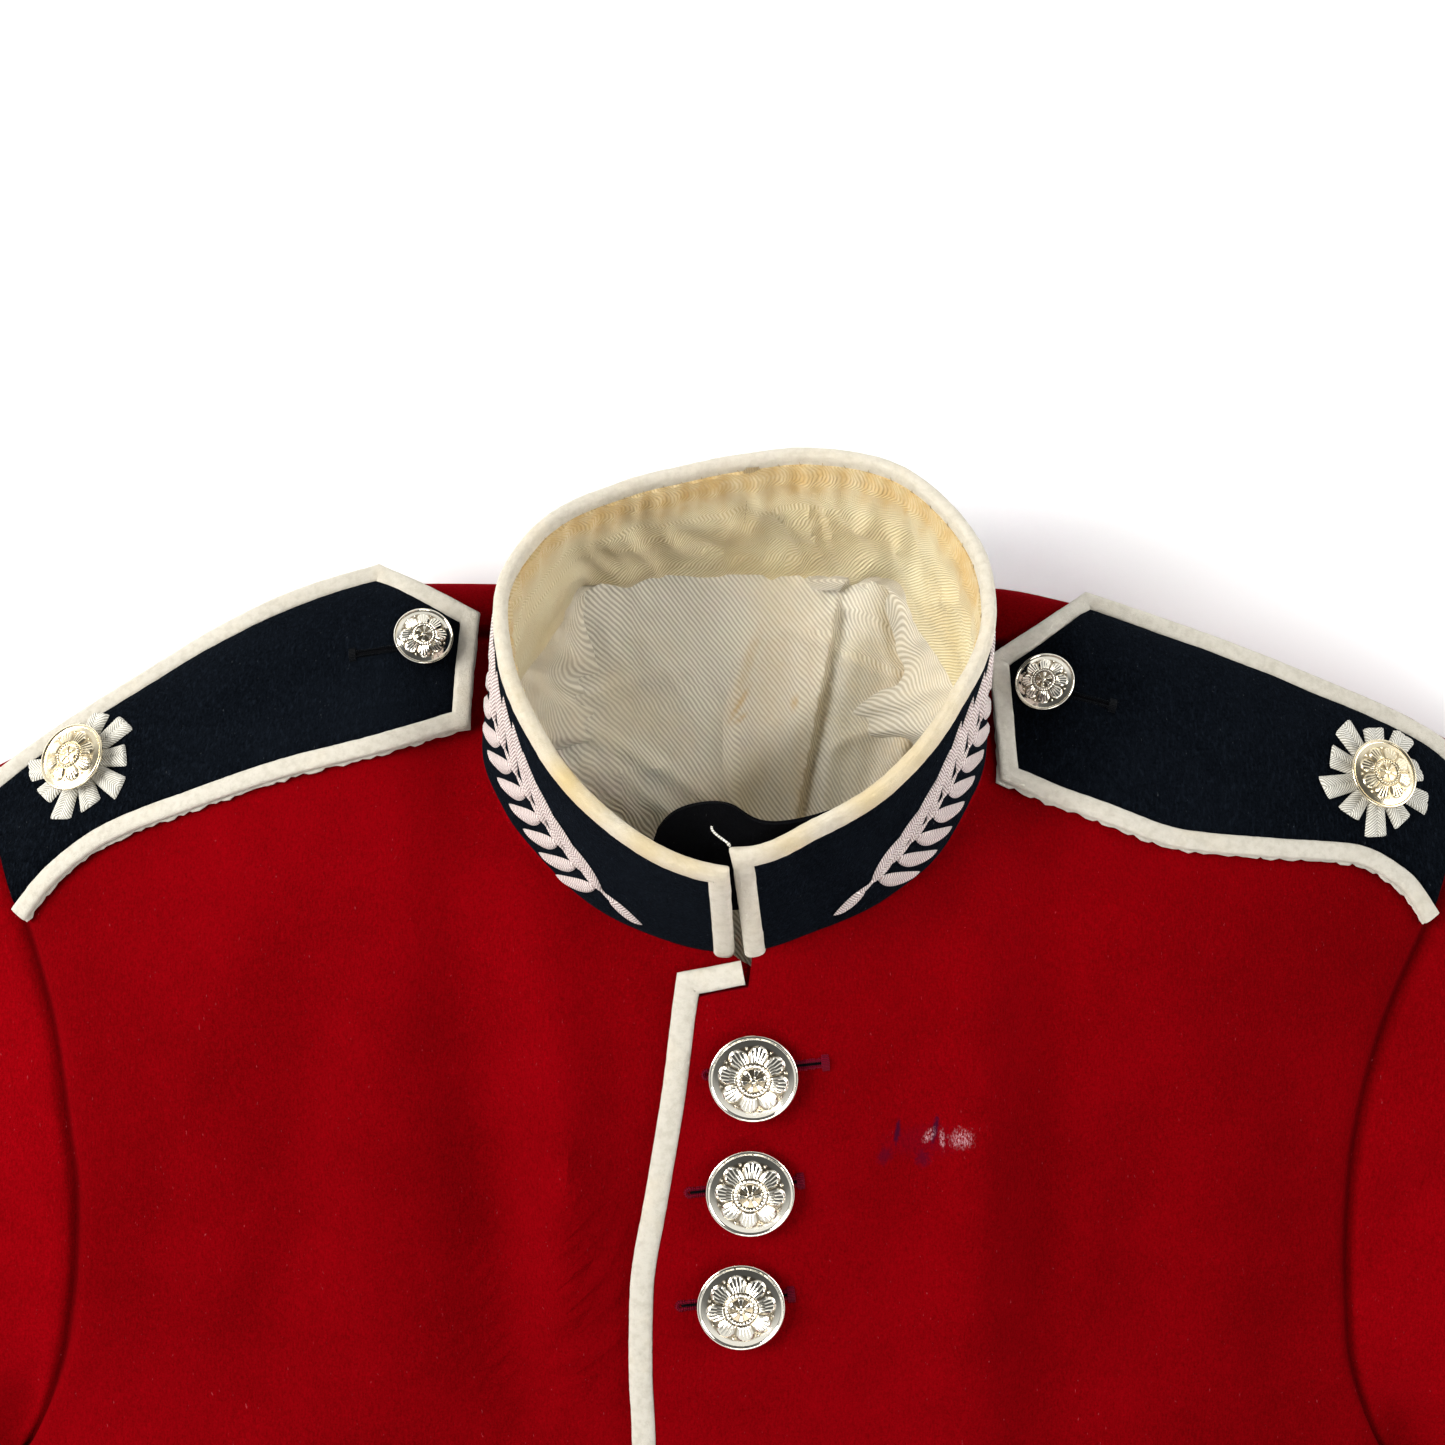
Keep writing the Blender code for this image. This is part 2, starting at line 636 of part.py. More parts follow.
class Wall:
    """A piece of cloth: outer points in rows and columns, a thickness and a colour."""

    def __init__(self, name, grid, thickness, colour, flip=False, free=(), neck=None, turned=()):
        self.name = name
        self.outer = np.array(grid, float)
        self.normals = grid_normals(self.outer, flip)
        self.thickness = thickness
        self.colour = colour
        self.free = set(free)
        self.neck = neck or {}
        self.turned = set(turned)
        self.thin = set()

    def edge_slots(self):
        """Row and column of each point on the piece's outline."""
        rows, columns = self.outer.shape[:2]
        return [(i, j) for i in range(rows) for j in range(columns) if i in (0, rows - 1) or j in (0, columns - 1)]

    def layers(self):
        """Outer and inner points, with every sewn edge drawn back from its seam."""
        outer = self.outer.copy()
        inner = self.outer - self.normals * self.thickness
        for i, j in self.thin:
            inner[i, j] = self.outer[i, j] - self.normals[i, j] * self.thickness * 0.4
        for layer in (outer, inner):
            still = layer.copy()
            for edge, (here, beside) in {
                "first_row": ((0, slice(None)), (1, slice(None))),
                "last_row": ((-1, slice(None)), (-2, slice(None))),
                "first_column": ((slice(None), 0), (slice(None), 1)),
                "last_column": ((slice(None), -1), (slice(None), -2)),
            }.items():
                if edge not in self.free:
                    layer[here] += unit(still[beside] - still[here]) * PULL
        for i, angle in self.neck.items():
            side_share = math.exp(-(((min(angle, 360 - angle) - 112) / 38) ** 2))
            setback = NECK_SETBACK + (NECK_SIDE_SETBACK - NECK_SETBACK) * side_share
            seam = self.outer[i, 0] + unit(self.outer[i, 1] - self.outer[i, 0]) * setback
            if i == 0:
                seam = seam + unit(self.outer[1, 0] - self.outer[0, 0]) * PULL
            outer[i, 0] = seam + self.normals[i, 0] * self.thickness / 2
            inner[i, 0] = seam - self.normals[i, 0] * self.thickness / 2
        return outer, inner


def share_normals(walls):
    """Evens out the directions through the cloth, and gives pieces that meet at a seam the same one there."""
    for _ in range(3):
        match_normals(walls)
        for wall in walls:
            still = np.pad(wall.normals, ((1, 1), (1, 1), (0, 0)), mode="edge")
            beside = still[:-2, 1:-1] + still[2:, 1:-1] + still[1:-1, :-2] + still[1:-1, 2:]
            wall.normals = unit(wall.normals * 2 + beside)
    match_normals(walls)


def match_normals(walls):
    """Gives the points that pieces share at a seam one direction."""
    found = {}
    for wall in walls:
        for i, j in wall.edge_slots():
            key = tuple(np.round(wall.outer[i, j], 1))
            found.setdefault(key, []).append((wall, i, j))
    for slots in found.values():
        mean = sum(unit(w.normals[i, j]) for w, i, j in slots)
        if any(w.name.startswith("sleeve") for w, _, _ in slots) and len(slots) > 3:
            mean = np.array([0.55 * np.sign(slots[0][0].outer[0, -1, 0]), -0.83, 0.0])
            for w, i, j in slots:
                w.thin.add((i, j))
        for w, i, j in slots:
            w.normals[i, j] = unit(mean)


def material(colour):
    """The Principled material of a colour, made once."""
    found = bpy.data.materials.get(colour)
    if found:
        return found
    base, roughness, metallic = COLOURS[colour]
    made = bpy.data.materials.new(colour)
    made.use_nodes = True
    shader = made.node_tree.nodes["Principled BSDF"]
    shader.inputs["Base Color"].default_value = (*base, 1)
    shader.inputs["Roughness"].default_value = roughness
    shader.inputs["Metallic"].default_value = metallic
    made.diffuse_color = (*base, 1)
    return made


def add_object(name, mesh, colour):
    """Links a mesh as a named object with its material."""
    mesh.shade_smooth()
    mesh.set_sharp_from_angle(angle=math.radians(35))
    made = bpy.data.objects.new(name, mesh)
    made.data.materials.append(material(colour))
    bpy.context.scene.collection.objects.link(made)
    return made


def closed_mesh(name, points, faces):
    """A triangulated mesh in metres, with its faces turned outward."""
    mesh = bpy.data.meshes.new(name)
    mesh.from_pydata([Vector(p) * MM for p in points], [], faces)
    work = bmesh.new()
    work.from_mesh(mesh)
    bmesh.ops.triangulate(work, faces=work.faces, quad_method="FIXED")
    bmesh.ops.recalc_face_normals(work, faces=work.faces)
    work.to_mesh(mesh)
    work.free()
    return mesh


def layered_solid(name, outer, inner, colour, loop=False, turned=()):
    """A solid between two grids of one size; loop joins its last row to its first, turned cells split the other way."""
    rows, columns = outer.shape[:2]
    points = [*outer.reshape(-1, 3), *inner.reshape(-1, 3)]
    half = rows * columns

    def at(layer, i, j):
        return layer * half + (i % rows) * columns + j

    faces = []
    for i in range(rows if loop else rows - 1):
        for j in range(columns - 1):
            faces.append([at(0, i, j), at(0, i, j + 1), at(0, i + 1, j + 1), at(0, i + 1, j)])
            faces.append([at(1, i, j), at(1, i + 1, j), at(1, i + 1, j + 1), at(1, i, j + 1)])
        for j in (0, columns - 1):
            faces.append([at(0, i, j), at(0, i + 1, j), at(1, i + 1, j), at(1, i, j)])
    if not loop:
        for i in (0, rows - 1):
            for j in range(columns - 1):
                face = [at(0, i, j), at(1, i, j), at(1, i, j + 1), at(0, i, j + 1)]
                faces.append(face[1:] + face[:1] if i == 0 and j in turned else face)
    return add_object(name, closed_mesh(name, points, faces), colour)


def wall_solid(wall):
    """The solid of one piece of cloth."""
    outer, inner = wall.layers()
    return layered_solid(wall.name, outer, inner, wall.colour, turned=wall.turned)


def strip_sides(path, normals, closed=False):
    """Direction across a strip at each point of its path, stretched at corners so that it mitres."""
    path = np.array(path, float)
    if closed:
        before, after = path - np.roll(path, 1, 0), np.roll(path, -1, 0) - path
    else:
        after = np.vstack([np.diff(path, axis=0), path[-1] - path[-2]])
        before = np.vstack([path[1] - path[0], np.diff(path, axis=0)])
    before, after = unit(before), unit(after)
    tangent = unit(before + after)
    across = unit(np.cross(tangent, normals))
    stretch = 1 / np.clip(np.sum(tangent * before, axis=1), 0.5, 1)
    return across * stretch[:, None]


def strip_solid(name, path, normals, profile, colour, closed=False):
    """A solid with one cross-section along a path; the profile is pairs of across and outward sizes."""
    path, normals = np.array(path, float), unit(np.array(normals, float))
    across = strip_sides(path, normals, closed)
    rings = [[p + a * w + n * h for w, h in profile] for p, a, n in zip(path, across, normals)]
    count, sides = len(rings), len(profile)
    points = [p for ring in rings for p in ring]
    faces = []
    for i in range(count if closed else count - 1):
        k = (i + 1) % count
        for j in range(sides):
            m = (j + 1) % sides
            faces.append([i * sides + j, i * sides + m, k * sides + m, k * sides + j])
    if not closed:
        faces.append(list(range(sides)))
        faces.append([(count - 1) * sides + j for j in range(sides)])
    return add_object(name, closed_mesh(name, points, faces), colour)


def edging_profile(width, thick, base=0.0):
    """A flat strip with rounded shoulders; base is how far its underside lies from the path."""
    half, shoulder = width / 2, thick * 0.35
    return [
        (-half, base), (half, base), (half, base + thick - shoulder),
        (half * 0.55, base + thick), (-half * 0.55, base + thick), (-half, base + thick - shoulder),
    ]


# Making the pieces

def build_fronts():
    """Both fronts and both front skirts, as walls."""
    walls = []
    for side, word in ((-1, "right"), (1, "left")):
        grid = [[front_point(side, u, r) for u in COLUMNS] for r in FRONT_ROWS]
        neck = {i: float(follow(NECK_ROW, NECK_ANGLE, r)) for i, r in enumerate(FRONT_ROWS) if r <= 5}
        walls.append(Wall(f"front_{word}", grid, CLOTH, "scarlet", side > 0, ["first_column"], neck))
        skirt = [[front_skirt_point(side, u, i / SKIRT_ROWS) for u in COLUMNS] for i in range(SKIRT_ROWS + 1)]
        skirt[0] = grid[-1]
        free = ["first_column", "last_row"]
        walls.append(Wall(f"skirt_front_{word}", skirt, CLOTH, "scarlet", flip=side > 0, free=free))
    return walls


def build_backs():
    """Both backs and both back skirts, as walls."""
    walls = []
    for side, word in ((-1, "right"), (1, "left")):
        grid = np.array([[back_point(side, u, r) for u in COLUMNS] for r in BACK_ROWS])
        neck = {i: float(follow(BACK_NECK_ROW, BACK_NECK_ANGLE, r)) for i, r in enumerate(BACK_ROWS) if r <= 3}
        walls.append(Wall(f"back_{word}", grid, CLOTH, "scarlet", side < 0, (), neck))
        skirt = [[back_skirt_point(side, u, i / SKIRT_ROWS) for u in COLUMNS] for i in range(SKIRT_ROWS + 1)]
        skirt[0] = grid[-1]
        walls.append(Wall(f"skirt_back_{word}", skirt, CLOTH, "scarlet", flip=side < 0, free=["last_row"]))
    return walls


def join_side_seams(walls):
    """Puts the outer edge of each back on the outer edge of its front, point by point, where they are sewn."""
    for word in ("right", "left"):
        front, back = walls[f"front_{word}"], walls[f"back_{word}"]
        for i, row in enumerate(BACK_ROWS):
            if row >= ARMHOLE_END:
                back.outer[i, -1] = front.outer[FRONT_ROWS.index(row), -1]
        skirt, behind = walls[f"skirt_front_{word}"], walls[f"skirt_back_{word}"]
        behind.outer[:, -1] = skirt.outer[:, -1]


def armhole(walls, word):
    """Armhole points and the direction in which cloth leaves them: front part, then back part to the underarm."""
    front, back = walls[f"front_{word}"].outer, walls[f"back_{word}"].outer
    last = FRONT_ROWS.index(ARMHOLE_END)
    up = list(range(last, -1, -1))
    front_points = [front[i, -1] for i in up]
    front_leads = [unit(front[i, -1] - front[i, -2]) for i in up]
    over = list(range(1, BACK_ROWS.index(ARMHOLE_END) + 1))
    back_points = [back[i, -1] for i in over]
    back_leads = [unit(back[i, -1] - back[i, -2]) for i in over]
    return front_points, front_leads, back_points, back_leads


def build_sleeves(walls):
    """Upper and under sleeve of each arm, sewn to the armhole's own points."""
    made = []
    turn_row = BACK_ROWS.index(1.65) - 1
    for side, word in ((-1, "right"), (1, "left")):
        front_points, front_leads, back_points, back_leads = armhole(walls, word)
        points = front_points + back_points[:turn_row + 1]
        leads = front_leads + back_leads[:turn_row + 1]
        outward = unit(np.array([side * 0.8, -0.55, 0.0]))
        for i, lead in enumerate(leads):
            keep = float(ease(0, 7, i))
            leads[i] = unit(lead * keep + outward * (1 - keep))
        shares = lengths_along(points)
        upper = sleeve_rows(side, points, leads, upper_section, shares)
        turned = range(len(front_points) - 1)
        made.append(Wall(f"sleeve_upper_{word}", upper, CLOTH, "scarlet", flip=side > 0, turned=turned))

        points = [front_points[0]] + back_points[turn_row:][::-1]
        points.pop(1)
        leads = [outward * np.array([1, 1, 0])] * len(points)
        inner, outer, _, edge = sleeve_edges(side, 0)
        roll = edge / float(np.linalg.norm(outer - inner))
        even = both_edges(len(points), roll)
        under = sleeve_rows(side, points, leads, lower_section, even)
        under[:CAP_ROWS, :, 2] = np.maximum(under[:CAP_ROWS, :, 2], 0.0)
        under[:, 0] = upper[:, 0]
        under[:, -1] = upper[:, -1]
        turned = range(len(points) - 1)
        made.append(Wall(f"sleeve_under_{word}", under, CLOTH, "scarlet", flip=side < 0, turned=turned))
    return made


def sleeve_ring(side, upper_shares, lower_shares, shift, grow):
    """Closed ring of points round the end of a sleeve, moved on by shift and swollen above the table by grow."""
    last = len(SLEEVE["height"]) - 1.0
    inner, outer, _, _ = sleeve_edges(side, last)
    before = sleeve_edges(side, last - 1)
    travel = unit(((inner + outer) - (before[0] + before[1])) * np.array([1, 1, 0]))
    top = [upper_section(side, last, s) for s in upper_shares]
    bottom = [lower_section(side, last, s) for s in lower_shares][::-1][1:-1]
    ring = np.array(top + bottom)
    middle = ring.mean(axis=0)
    out = unit((ring - middle) * np.array([1, 1, 1.6]))
    above = ease(0.5, 9, ring[:, 2])[:, None]
    return ring + travel * shift + out * above * grow, out


def tube_between(name, rings, colour, thickness):
    """A tube of cloth through closed rings of points."""
    outer = np.array(rings)
    round_it = np.roll(outer, -1, 1) - np.roll(outer, 1, 1)
    along = np.gradient(outer, axis=0)
    normals = unit(np.cross(round_it, along))
    middle = outer.mean(axis=1, keepdims=True)
    if np.sum((outer - middle) * normals) < 0:
        normals = -normals
    inner = outer - normals * thickness
    layers = [np.transpose(layer, (1, 0, 2)) for layer in (outer, inner)]
    return layered_solid(name, *layers, colour, loop=True)


def build_cuffs():
    """White edging and navy cuff at the end of each sleeve."""
    upper = np.linspace(0, 1, 17)
    inner, outer, _, edge = sleeve_edges(1, len(SLEEVE["height"]) - 1.0)
    lower = both_edges(11, edge / float(np.linalg.norm(outer - inner)))
    for side, word in ((-1, "right"), (1, "left")):
        start = GAP
        ends = [start, start + CUFF_PIPING]
        rings = [sleeve_ring(side, upper, lower, s, CUFF_PROUD)[0] for s in ends]
        tube_between(f"cuff_edging_{word}", rings, "white", CLOTH + CUFF_PROUD)
        start = ends[-1] + GAP
        rings = []
        for share in (0, 0.5, 1):
            ring, out = sleeve_ring(side, upper, lower, start + CUFF_DEPTH * share, 0.0)
            above = ease(0.5, 9, ring[:, 2])[:, None]
            rings.append(ring - out * above * CUFF_NARROW * share)
        tube_between(f"cuff_{word}", rings, "navy", CLOTH)


def collar_ends(height):
    """Angles of the collar's two ends at a height."""
    low, high = COLLAR_ENDS["seam"], COLLAR_ENDS["top"]
    return [a + (b - a) * height for a, b in zip(low, high)]


def collar_angle(share, height, inset):
    """Angle at a share of the way round the collar, kept clear of both ends by an inset in millimetres."""
    first, last = collar_ends(height)
    inset = math.degrees(inset / 57)
    return first + inset + (last - first - 2 * inset) * share


def collar_length(angle):
    """Width of the collar from the seam to its top edge."""
    return float(np.linalg.norm(collar_top(angle) - neck_seam(angle)))


def collar_face(levels, offset, inset, below):
    """Points of a face of the collar: offset outward, and kept below its top edge by a size in millimetres."""
    rows = []
    for i in range(COLLAR_STEPS):
        row = []
        for level in levels:
            share = i / (COLLAR_STEPS - 1)
            length = collar_length(collar_angle(share, level, inset))
            height = (COLLAR_SETBACK + (length - COLLAR_SETBACK - below) * level) / length
            angle = collar_angle(share, height, inset)
            row.append(collar_point(angle, height) + collar_normal(angle, height) * offset)
        rows.append(row)
    return np.array(rows)


def build_collar():
    """Collar, its white edging, its lining and the tongue behind its opening."""
    levels = np.linspace(0, 1, 4)
    half = COLLAR_WALL / 2
    inset = EDGING + GAP
    faces = [collar_face(levels, offset, inset, EDGING + GAP) for offset in (half, -half)]
    layered_solid("collar", *faces, "navy")

    middle = EDGING / 2
    path, normals = [], []
    for i in range(COLLAR_STEPS):
        share = i / (COLLAR_STEPS - 1)
        side_levels = {0: [0, 0.3, 0.65], COLLAR_STEPS - 1: [0.65, 0.3, 0]}.get(i, [])
        top_angle = collar_angle(share, 1, middle if side_levels else inset)
        marks = [(collar_angle(share, v * 0.95 + 0.03, middle), v * 0.95 + 0.03) for v in side_levels]
        top = (top_angle, 1 - middle / collar_length(top_angle))
        for angle, height in marks + [top] if i == 0 else [top] + marks:
            path.append(collar_point(angle, height))
            normals.append(collar_normal(angle, height))
    profile = edging_profile(EDGING, EDGING_THICK, -EDGING_THICK / 2)
    strip_solid("collar_edging", path, normals, profile, "white")

    outside = -(half + GAP + 0.15)
    outer = collar_face(levels, outside, inset + 0.6, EDGING + 2 * GAP)
    inner = collar_face(levels, outside - LINING, inset + 0.6, EDGING + 2 * GAP)
    for i in range(COLLAR_STEPS):
        for j in (1, 2, 3):
            inner[i, j] += unit(inner[i, j] - outer[i, j]) * 0.35 * (1 + (-1) ** i)
    layered_solid("collar_lining", outer, inner, "lining")

    rows = []
    for low_angle, low_height, high_angle, high_height, lean in TONGUE:
        offset = half + GAP + LINING + 0.7 + GAP
        low = collar_point(low_angle, low_height) - collar_normal(low_angle, low_height) * offset
        high = collar_point(high_angle, high_height) - collar_normal(high_angle, high_height) * (offset + lean)
        rows.append([low + (high - low) * k / 3 for k in range(4)])
    outer = np.array(rows)
    step = unit(np.cross(np.gradient(outer, axis=0), np.gradient(outer, axis=1)))
    inward = np.array([0.0, 1.0, -0.5])
    step *= np.sign(np.sum(step * inward, axis=2))[:, :, None]
    layered_solid("collar_tongue", outer, outer + step * TONGUE_THICK, "black")


def build_front_piping():
    """White edging down the edge of the left front, from the notch under the collar to the hem."""
    rows = [r for r in FRONT_ROWS if r > 5.3]
    ys = [float(follow(INNER_ROW, INNER_Y, r)) for r in rows]
    ys += [WAIST_Y + (HEM_Y - WAIST_Y) * (i + 1) / SKIRT_ROWS for i in range(SKIRT_ROWS)]
    half = FRONT_PIPING / 2
    along = unit(np.array(TAB_END) - np.array(TAB_CORNER))
    inside = np.array([along[1], -along[0]])
    end = np.array(TAB_END) + inside * half
    corner_x = float(follow(EDGE_Y, EDGE_X, TAB_CORNER[1] - half)) + half
    corner = end + along * (corner_x - end[0]) / along[0]
    path = [end, end * 0.5 + corner * 0.5, corner]
    path += [np.array([float(follow(EDGE_Y, EDGE_X, y)) + half, y]) for y in ys]
    points = [np.array([x, y, float(chest(y))]) for x, y in path]
    normals = [np.array([0, -float(chest(y + 1) - chest(y - 1)) / 2, 1.0]) for _, y in path]
    profile = edging_profile(FRONT_PIPING, CLOTH + 0.7, 2 * GAP)
    strip_solid("front_edging", points, normals, profile, "white")


# Pieces that are seated on the cloth

class Seat:
    """The outer face of the cloth, for finding where a piece that lies on it touches."""

    def __init__(self, walls):
        points, faces = [], []
        for wall in walls:
            rows, columns = wall.outer.shape[:2]
            first = len(points)
            points += [Vector(p) for p in wall.outer.reshape(-1, 3)]
            for i in range(rows - 1):
                for j in range(columns - 1):
                    a = first + i * columns + j
                    faces.append([a, a + 1, a + columns + 1])
                    faces.append([a, a + columns + 1, a + columns])
        self.tree = BVHTree.FromPolygons(points, faces)

    def under(self, x, y):
        """The highest point of the cloth above a plan point, or the nearest one to it, and its normal."""
        hit, normal, _, _ = self.tree.ray_cast(Vector((x, y, 300)), Vector((0, 0, -1)))
        if hit is None:
            hit, normal, _, _ = self.tree.find_nearest(Vector((x, y, 25)))
        normal = np.array(normal)
        return np.array(hit), normal if normal[2] >= 0 else -normal


def smooth_rows(grid, passes):
    """Evens out small steps in a grid of points."""
    for _ in range(passes):
        old = grid.copy()
        grid[1:-1] = old[1:-1] * 0.5 + (old[:-2] + old[2:]) * 0.25
        old = grid.copy()
        grid[:, 1:-1] = old[:, 1:-1] * 0.5 + (old[:, :-2] + old[:, 2:]) * 0.25
    return grid


def strap_plan(side, along, across):
    """Plan point of a strap: along from its square end at the neck side to the armhole, across from front to back."""
    table = STRAP[side]
    front = np.array([float(follow(STRAP_FRONT_U, table["front_" + k], along)) for k in "xy"])
    back = np.array([float(follow(STRAP_FRONT_U, table["back_" + k], along)) for k in "xy"])
    p = front + (back - front) * across
    if along < 0.28:
        chord_middle = (np.array([table["front_x"][0] + table["back_x"][0],
                                  table["front_y"][0] + table["back_y"][0]])) / 2
        point_out = np.array(table["apex"]) - chord_middle
        p = p + point_out * (1 - abs(2 * across - 1)) * (1 - along / 0.28)
    return p


def strap_frame(side, seat):
    """The face that a strap lies on: points and normals, rows along the strap and columns across it."""
    rows, columns = STRAP_ROWS, STRAP_COLUMNS
    points = np.zeros((rows, columns, 3))
    for i in range(rows):
        for j in range(columns):
            points[i, j], _ = seat.under(*strap_plan(side, i / (rows - 1), j / (columns - 1)))
            points[i, j, :2] = strap_plan(side, i / (rows - 1), j / (columns - 1))
    face = smooth_rows(points.copy(), 2)
    face[:, :, :2] = points[:, :, :2]
    for _ in range(6):
        lift = np.zeros((rows, columns))
        for i in range(rows - 1):
            for j in range(columns - 1):
                worst = 0.0
                for s in (0, 0.25, 0.5, 0.75, 1):
                    for t in (0, 0.25, 0.5, 0.75, 1):
                        low = face[i, j] * (1 - t) + face[i, j + 1] * t
                        high = face[i + 1, j] * (1 - t) + face[i + 1, j + 1] * t
                        p = low * (1 - s) + high * s
                        hit, normal = seat.under(p[0], p[1])
                        if math.hypot(hit[0] - p[0], hit[1] - p[1]) < 0.01:
                            worst = max(worst, hit[2] - p[2])
                lift[i:i + 2, j:j + 2] = np.maximum(lift[i:i + 2, j:j + 2], worst)
        face[:, :, 2] += lift
    normals = grid_normals(face, flip=side > 0)
    normals *= np.sign(normals[:, :, 2:3])
    return face, normals


def inset_grid(grid, by, point_by):
    """A strap's grid drawn in from both its long edges, and from its pointed end, by sizes in millimetres."""
    rows, columns = grid.shape[:2]
    made = np.zeros_like(grid)
    length = float(np.linalg.norm(grid[0, columns // 2] - grid[-1, columns // 2]))
    widths = np.linalg.norm(grid[:, 0] - grid[:, -1], axis=1)
    for i in range(rows):
        r = point_by / length * (rows - 1) + (1 - point_by / length) * i
        share = by / widths[i]
        for j in range(columns):
            c = (share + (1 - 2 * share) * j / (columns - 1)) * (columns - 1)
            a, b = int(min(r, rows - 2)), int(min(c, columns - 2))
            s, t = r - a, c - b
            made[i, j] = (
                grid[a, b] * (1 - s) * (1 - t) + grid[a + 1, b] * s * (1 - t)
                + grid[a, b + 1] * (1 - s) * t + grid[a + 1, b + 1] * s * t
            )
    return made


def build_straps(seat):
    """Shoulder straps with their white edging; returns the face of each strap."""
    tops = {}
    for side, word in ((-1, "right"), (1, "left")):
        face, normals = strap_frame(side, seat)
        last = STRAP_ROWS - 1
        base = face + normals * (GAP + 0.45)
        cloth = inset_grid(base, STRAP_PIPING + 2 * GAP, STRAP_PIPING * 1.15 + 2 * GAP)
        cloth_normals = grid_normals(cloth, flip=side > 0)
        cloth_normals = unit(cloth_normals * np.sign(cloth_normals[:, :, 2:3]))
        top = cloth + cloth_normals * STRAP_CLOTH
        layered_solid(f"strap_{word}", top, cloth, "navy")
        tops[side] = (top, cloth_normals)

        line = inset_grid(base, STRAP_PIPING / 2, STRAP_PIPING / 2 * 1.1)
        round_it = [(i, 0) for i in range(last, 0, -1)]
        round_it += [(0, j) for j in range(STRAP_COLUMNS)]
        round_it += [(i, -1) for i in range(1, last + 1)]
        path = [line[i, j] for i, j in round_it]
        lead = [normals[i, j] for i, j in round_it]
        strip_solid(f"strap_edging_{word}", path, lead, edging_profile(STRAP_PIPING, STRAP_PIPING_THICK), "white")
    return tops


def face_seat(top, side):
    """A seat made of a strap's top face."""
    wall = Wall("seat", top, 1.0, "navy", flip=side > 0)
    return Seat([wall])


def basis(normal):
    """A turn that takes +Z to a normal, with +Y kept towards the collar."""
    z = Vector(normal).normalized()
    x = Vector((0, 1, 0)).cross(z).normalized()
    y = z.cross(x)
    return Matrix((x, y, z)).transposed().to_4x4()


def button_mesh(name, diameter):
    """A turned button: shank, flat back, rolled rim and domed face."""
    r = diameter / 2
    profile = [
        (0.0, 0.0), (1.8, 0.0), (1.8, 1.7), (r * 0.92, 2.0), (r, 2.9),
        (r * 0.93, 3.5), (r * 0.86, 3.1), (r * 0.5, 4.4), (0.0, 4.9),
    ]
    count = 14
    points, rings = [], []
    for radius, height in profile:
        ring = []
        for k in range(count if radius > 0 else 1):
            turn = 2 * math.pi * k / count
            ring.append(len(points))
            points.append((radius * math.cos(turn), radius * math.sin(turn), height))
        rings.append(ring)
    faces = []
    for low, high in zip(rings, rings[1:]):
        for k in range(count):
            m = (k + 1) % count
            face = [low[k % len(low)], low[m % len(low)], high[m % len(high)], high[k % len(high)]]
            faces.append(list(dict.fromkeys(face)))
    return closed_mesh(name, points, faces)


def place_button(name, mesh, point, normal):
    """A button seated just clear of what it lies on."""
    made = add_object(name, mesh, "metal")
    made.matrix_world = Matrix.Translation(Vector(point + normal * GAP) * MM) @ basis(normal)
    return made


def star_solid(name, seat_face, centre, lift):
    """A flat embroidered star with long and short points, laid on a strap."""
    ring = []
    for k in range(STAR_POINTS * 2):
        turn = math.pi * k / STAR_POINTS
        radius = STAR_RADIUS * (0.62 if k % 2 else (1.0 if k % 4 == 0 else 0.84))
        ring.append((radius * math.cos(turn), radius * math.sin(turn)))
    _, normal = seat_face.under(*centre)
    turn = basis(normal).to_3x3()
    origin, _ = seat_face.under(*centre)
    points, faces = [], []
    shares = [0.0, 0.55, 1.0]
    for layer in (0, 1):
        for share in shares:
            for x, y in ring if share else [(0, 0)]:
                flat = np.array(turn @ Vector((x * share, y * share, 0))) + origin
                hit, n = seat_face.under(flat[0], flat[1])
                crown = (1 - share) * 0.2
                points.append(hit + n * (lift + layer * (STAR_THICK + crown)))
    count = len(ring)
    block = 1 + 2 * count
    for layer in (0, 1):
        o = layer * block
        for k in range(count):
            m = (k + 1) % count
            faces.append([o, o + 1 + k, o + 1 + m])
            faces.append([o + 1 + k, o + 1 + count + k, o + 1 + count + m, o + 1 + m])
    for k in range(count):
        m = (k + 1) % count
        a = 1 + count
        faces.append([a + k, block + a + k, block + a + m, a + m])
    add_object(name, closed_mesh(name, points, faces), "white")
    return origin, normal


def build_buttons(seat, tops):
    """Nine front buttons in threes, and two buttons and a star on each strap."""
    large = button_mesh("large_button", LARGE_BUTTON)
    for i, y in enumerate(BUTTON_GROUPS_Y, 1):
        point, normal = seat.under(float(button_line(y)), y)
        place_button(f"front_button_{i}", large, point, normal)
    small, medium = button_mesh("small_button", SMALL_BUTTON), button_mesh("star_button", STAR_BUTTON)
    for side, word in ((-1, "right"), (1, "left")):
        face = face_seat(tops[side][0], side)
        point, normal = face.under(*STRAP_BUTTON[side])
        place_button(f"strap_button_{word}", small, point, normal)
        origin, normal = star_solid(f"strap_star_{word}", face, STAR_PLACE[side], GAP + 0.25)
        place_button(f"star_button_{word}", medium, origin + normal * (STAR_THICK + GAP + 0.6), normal)


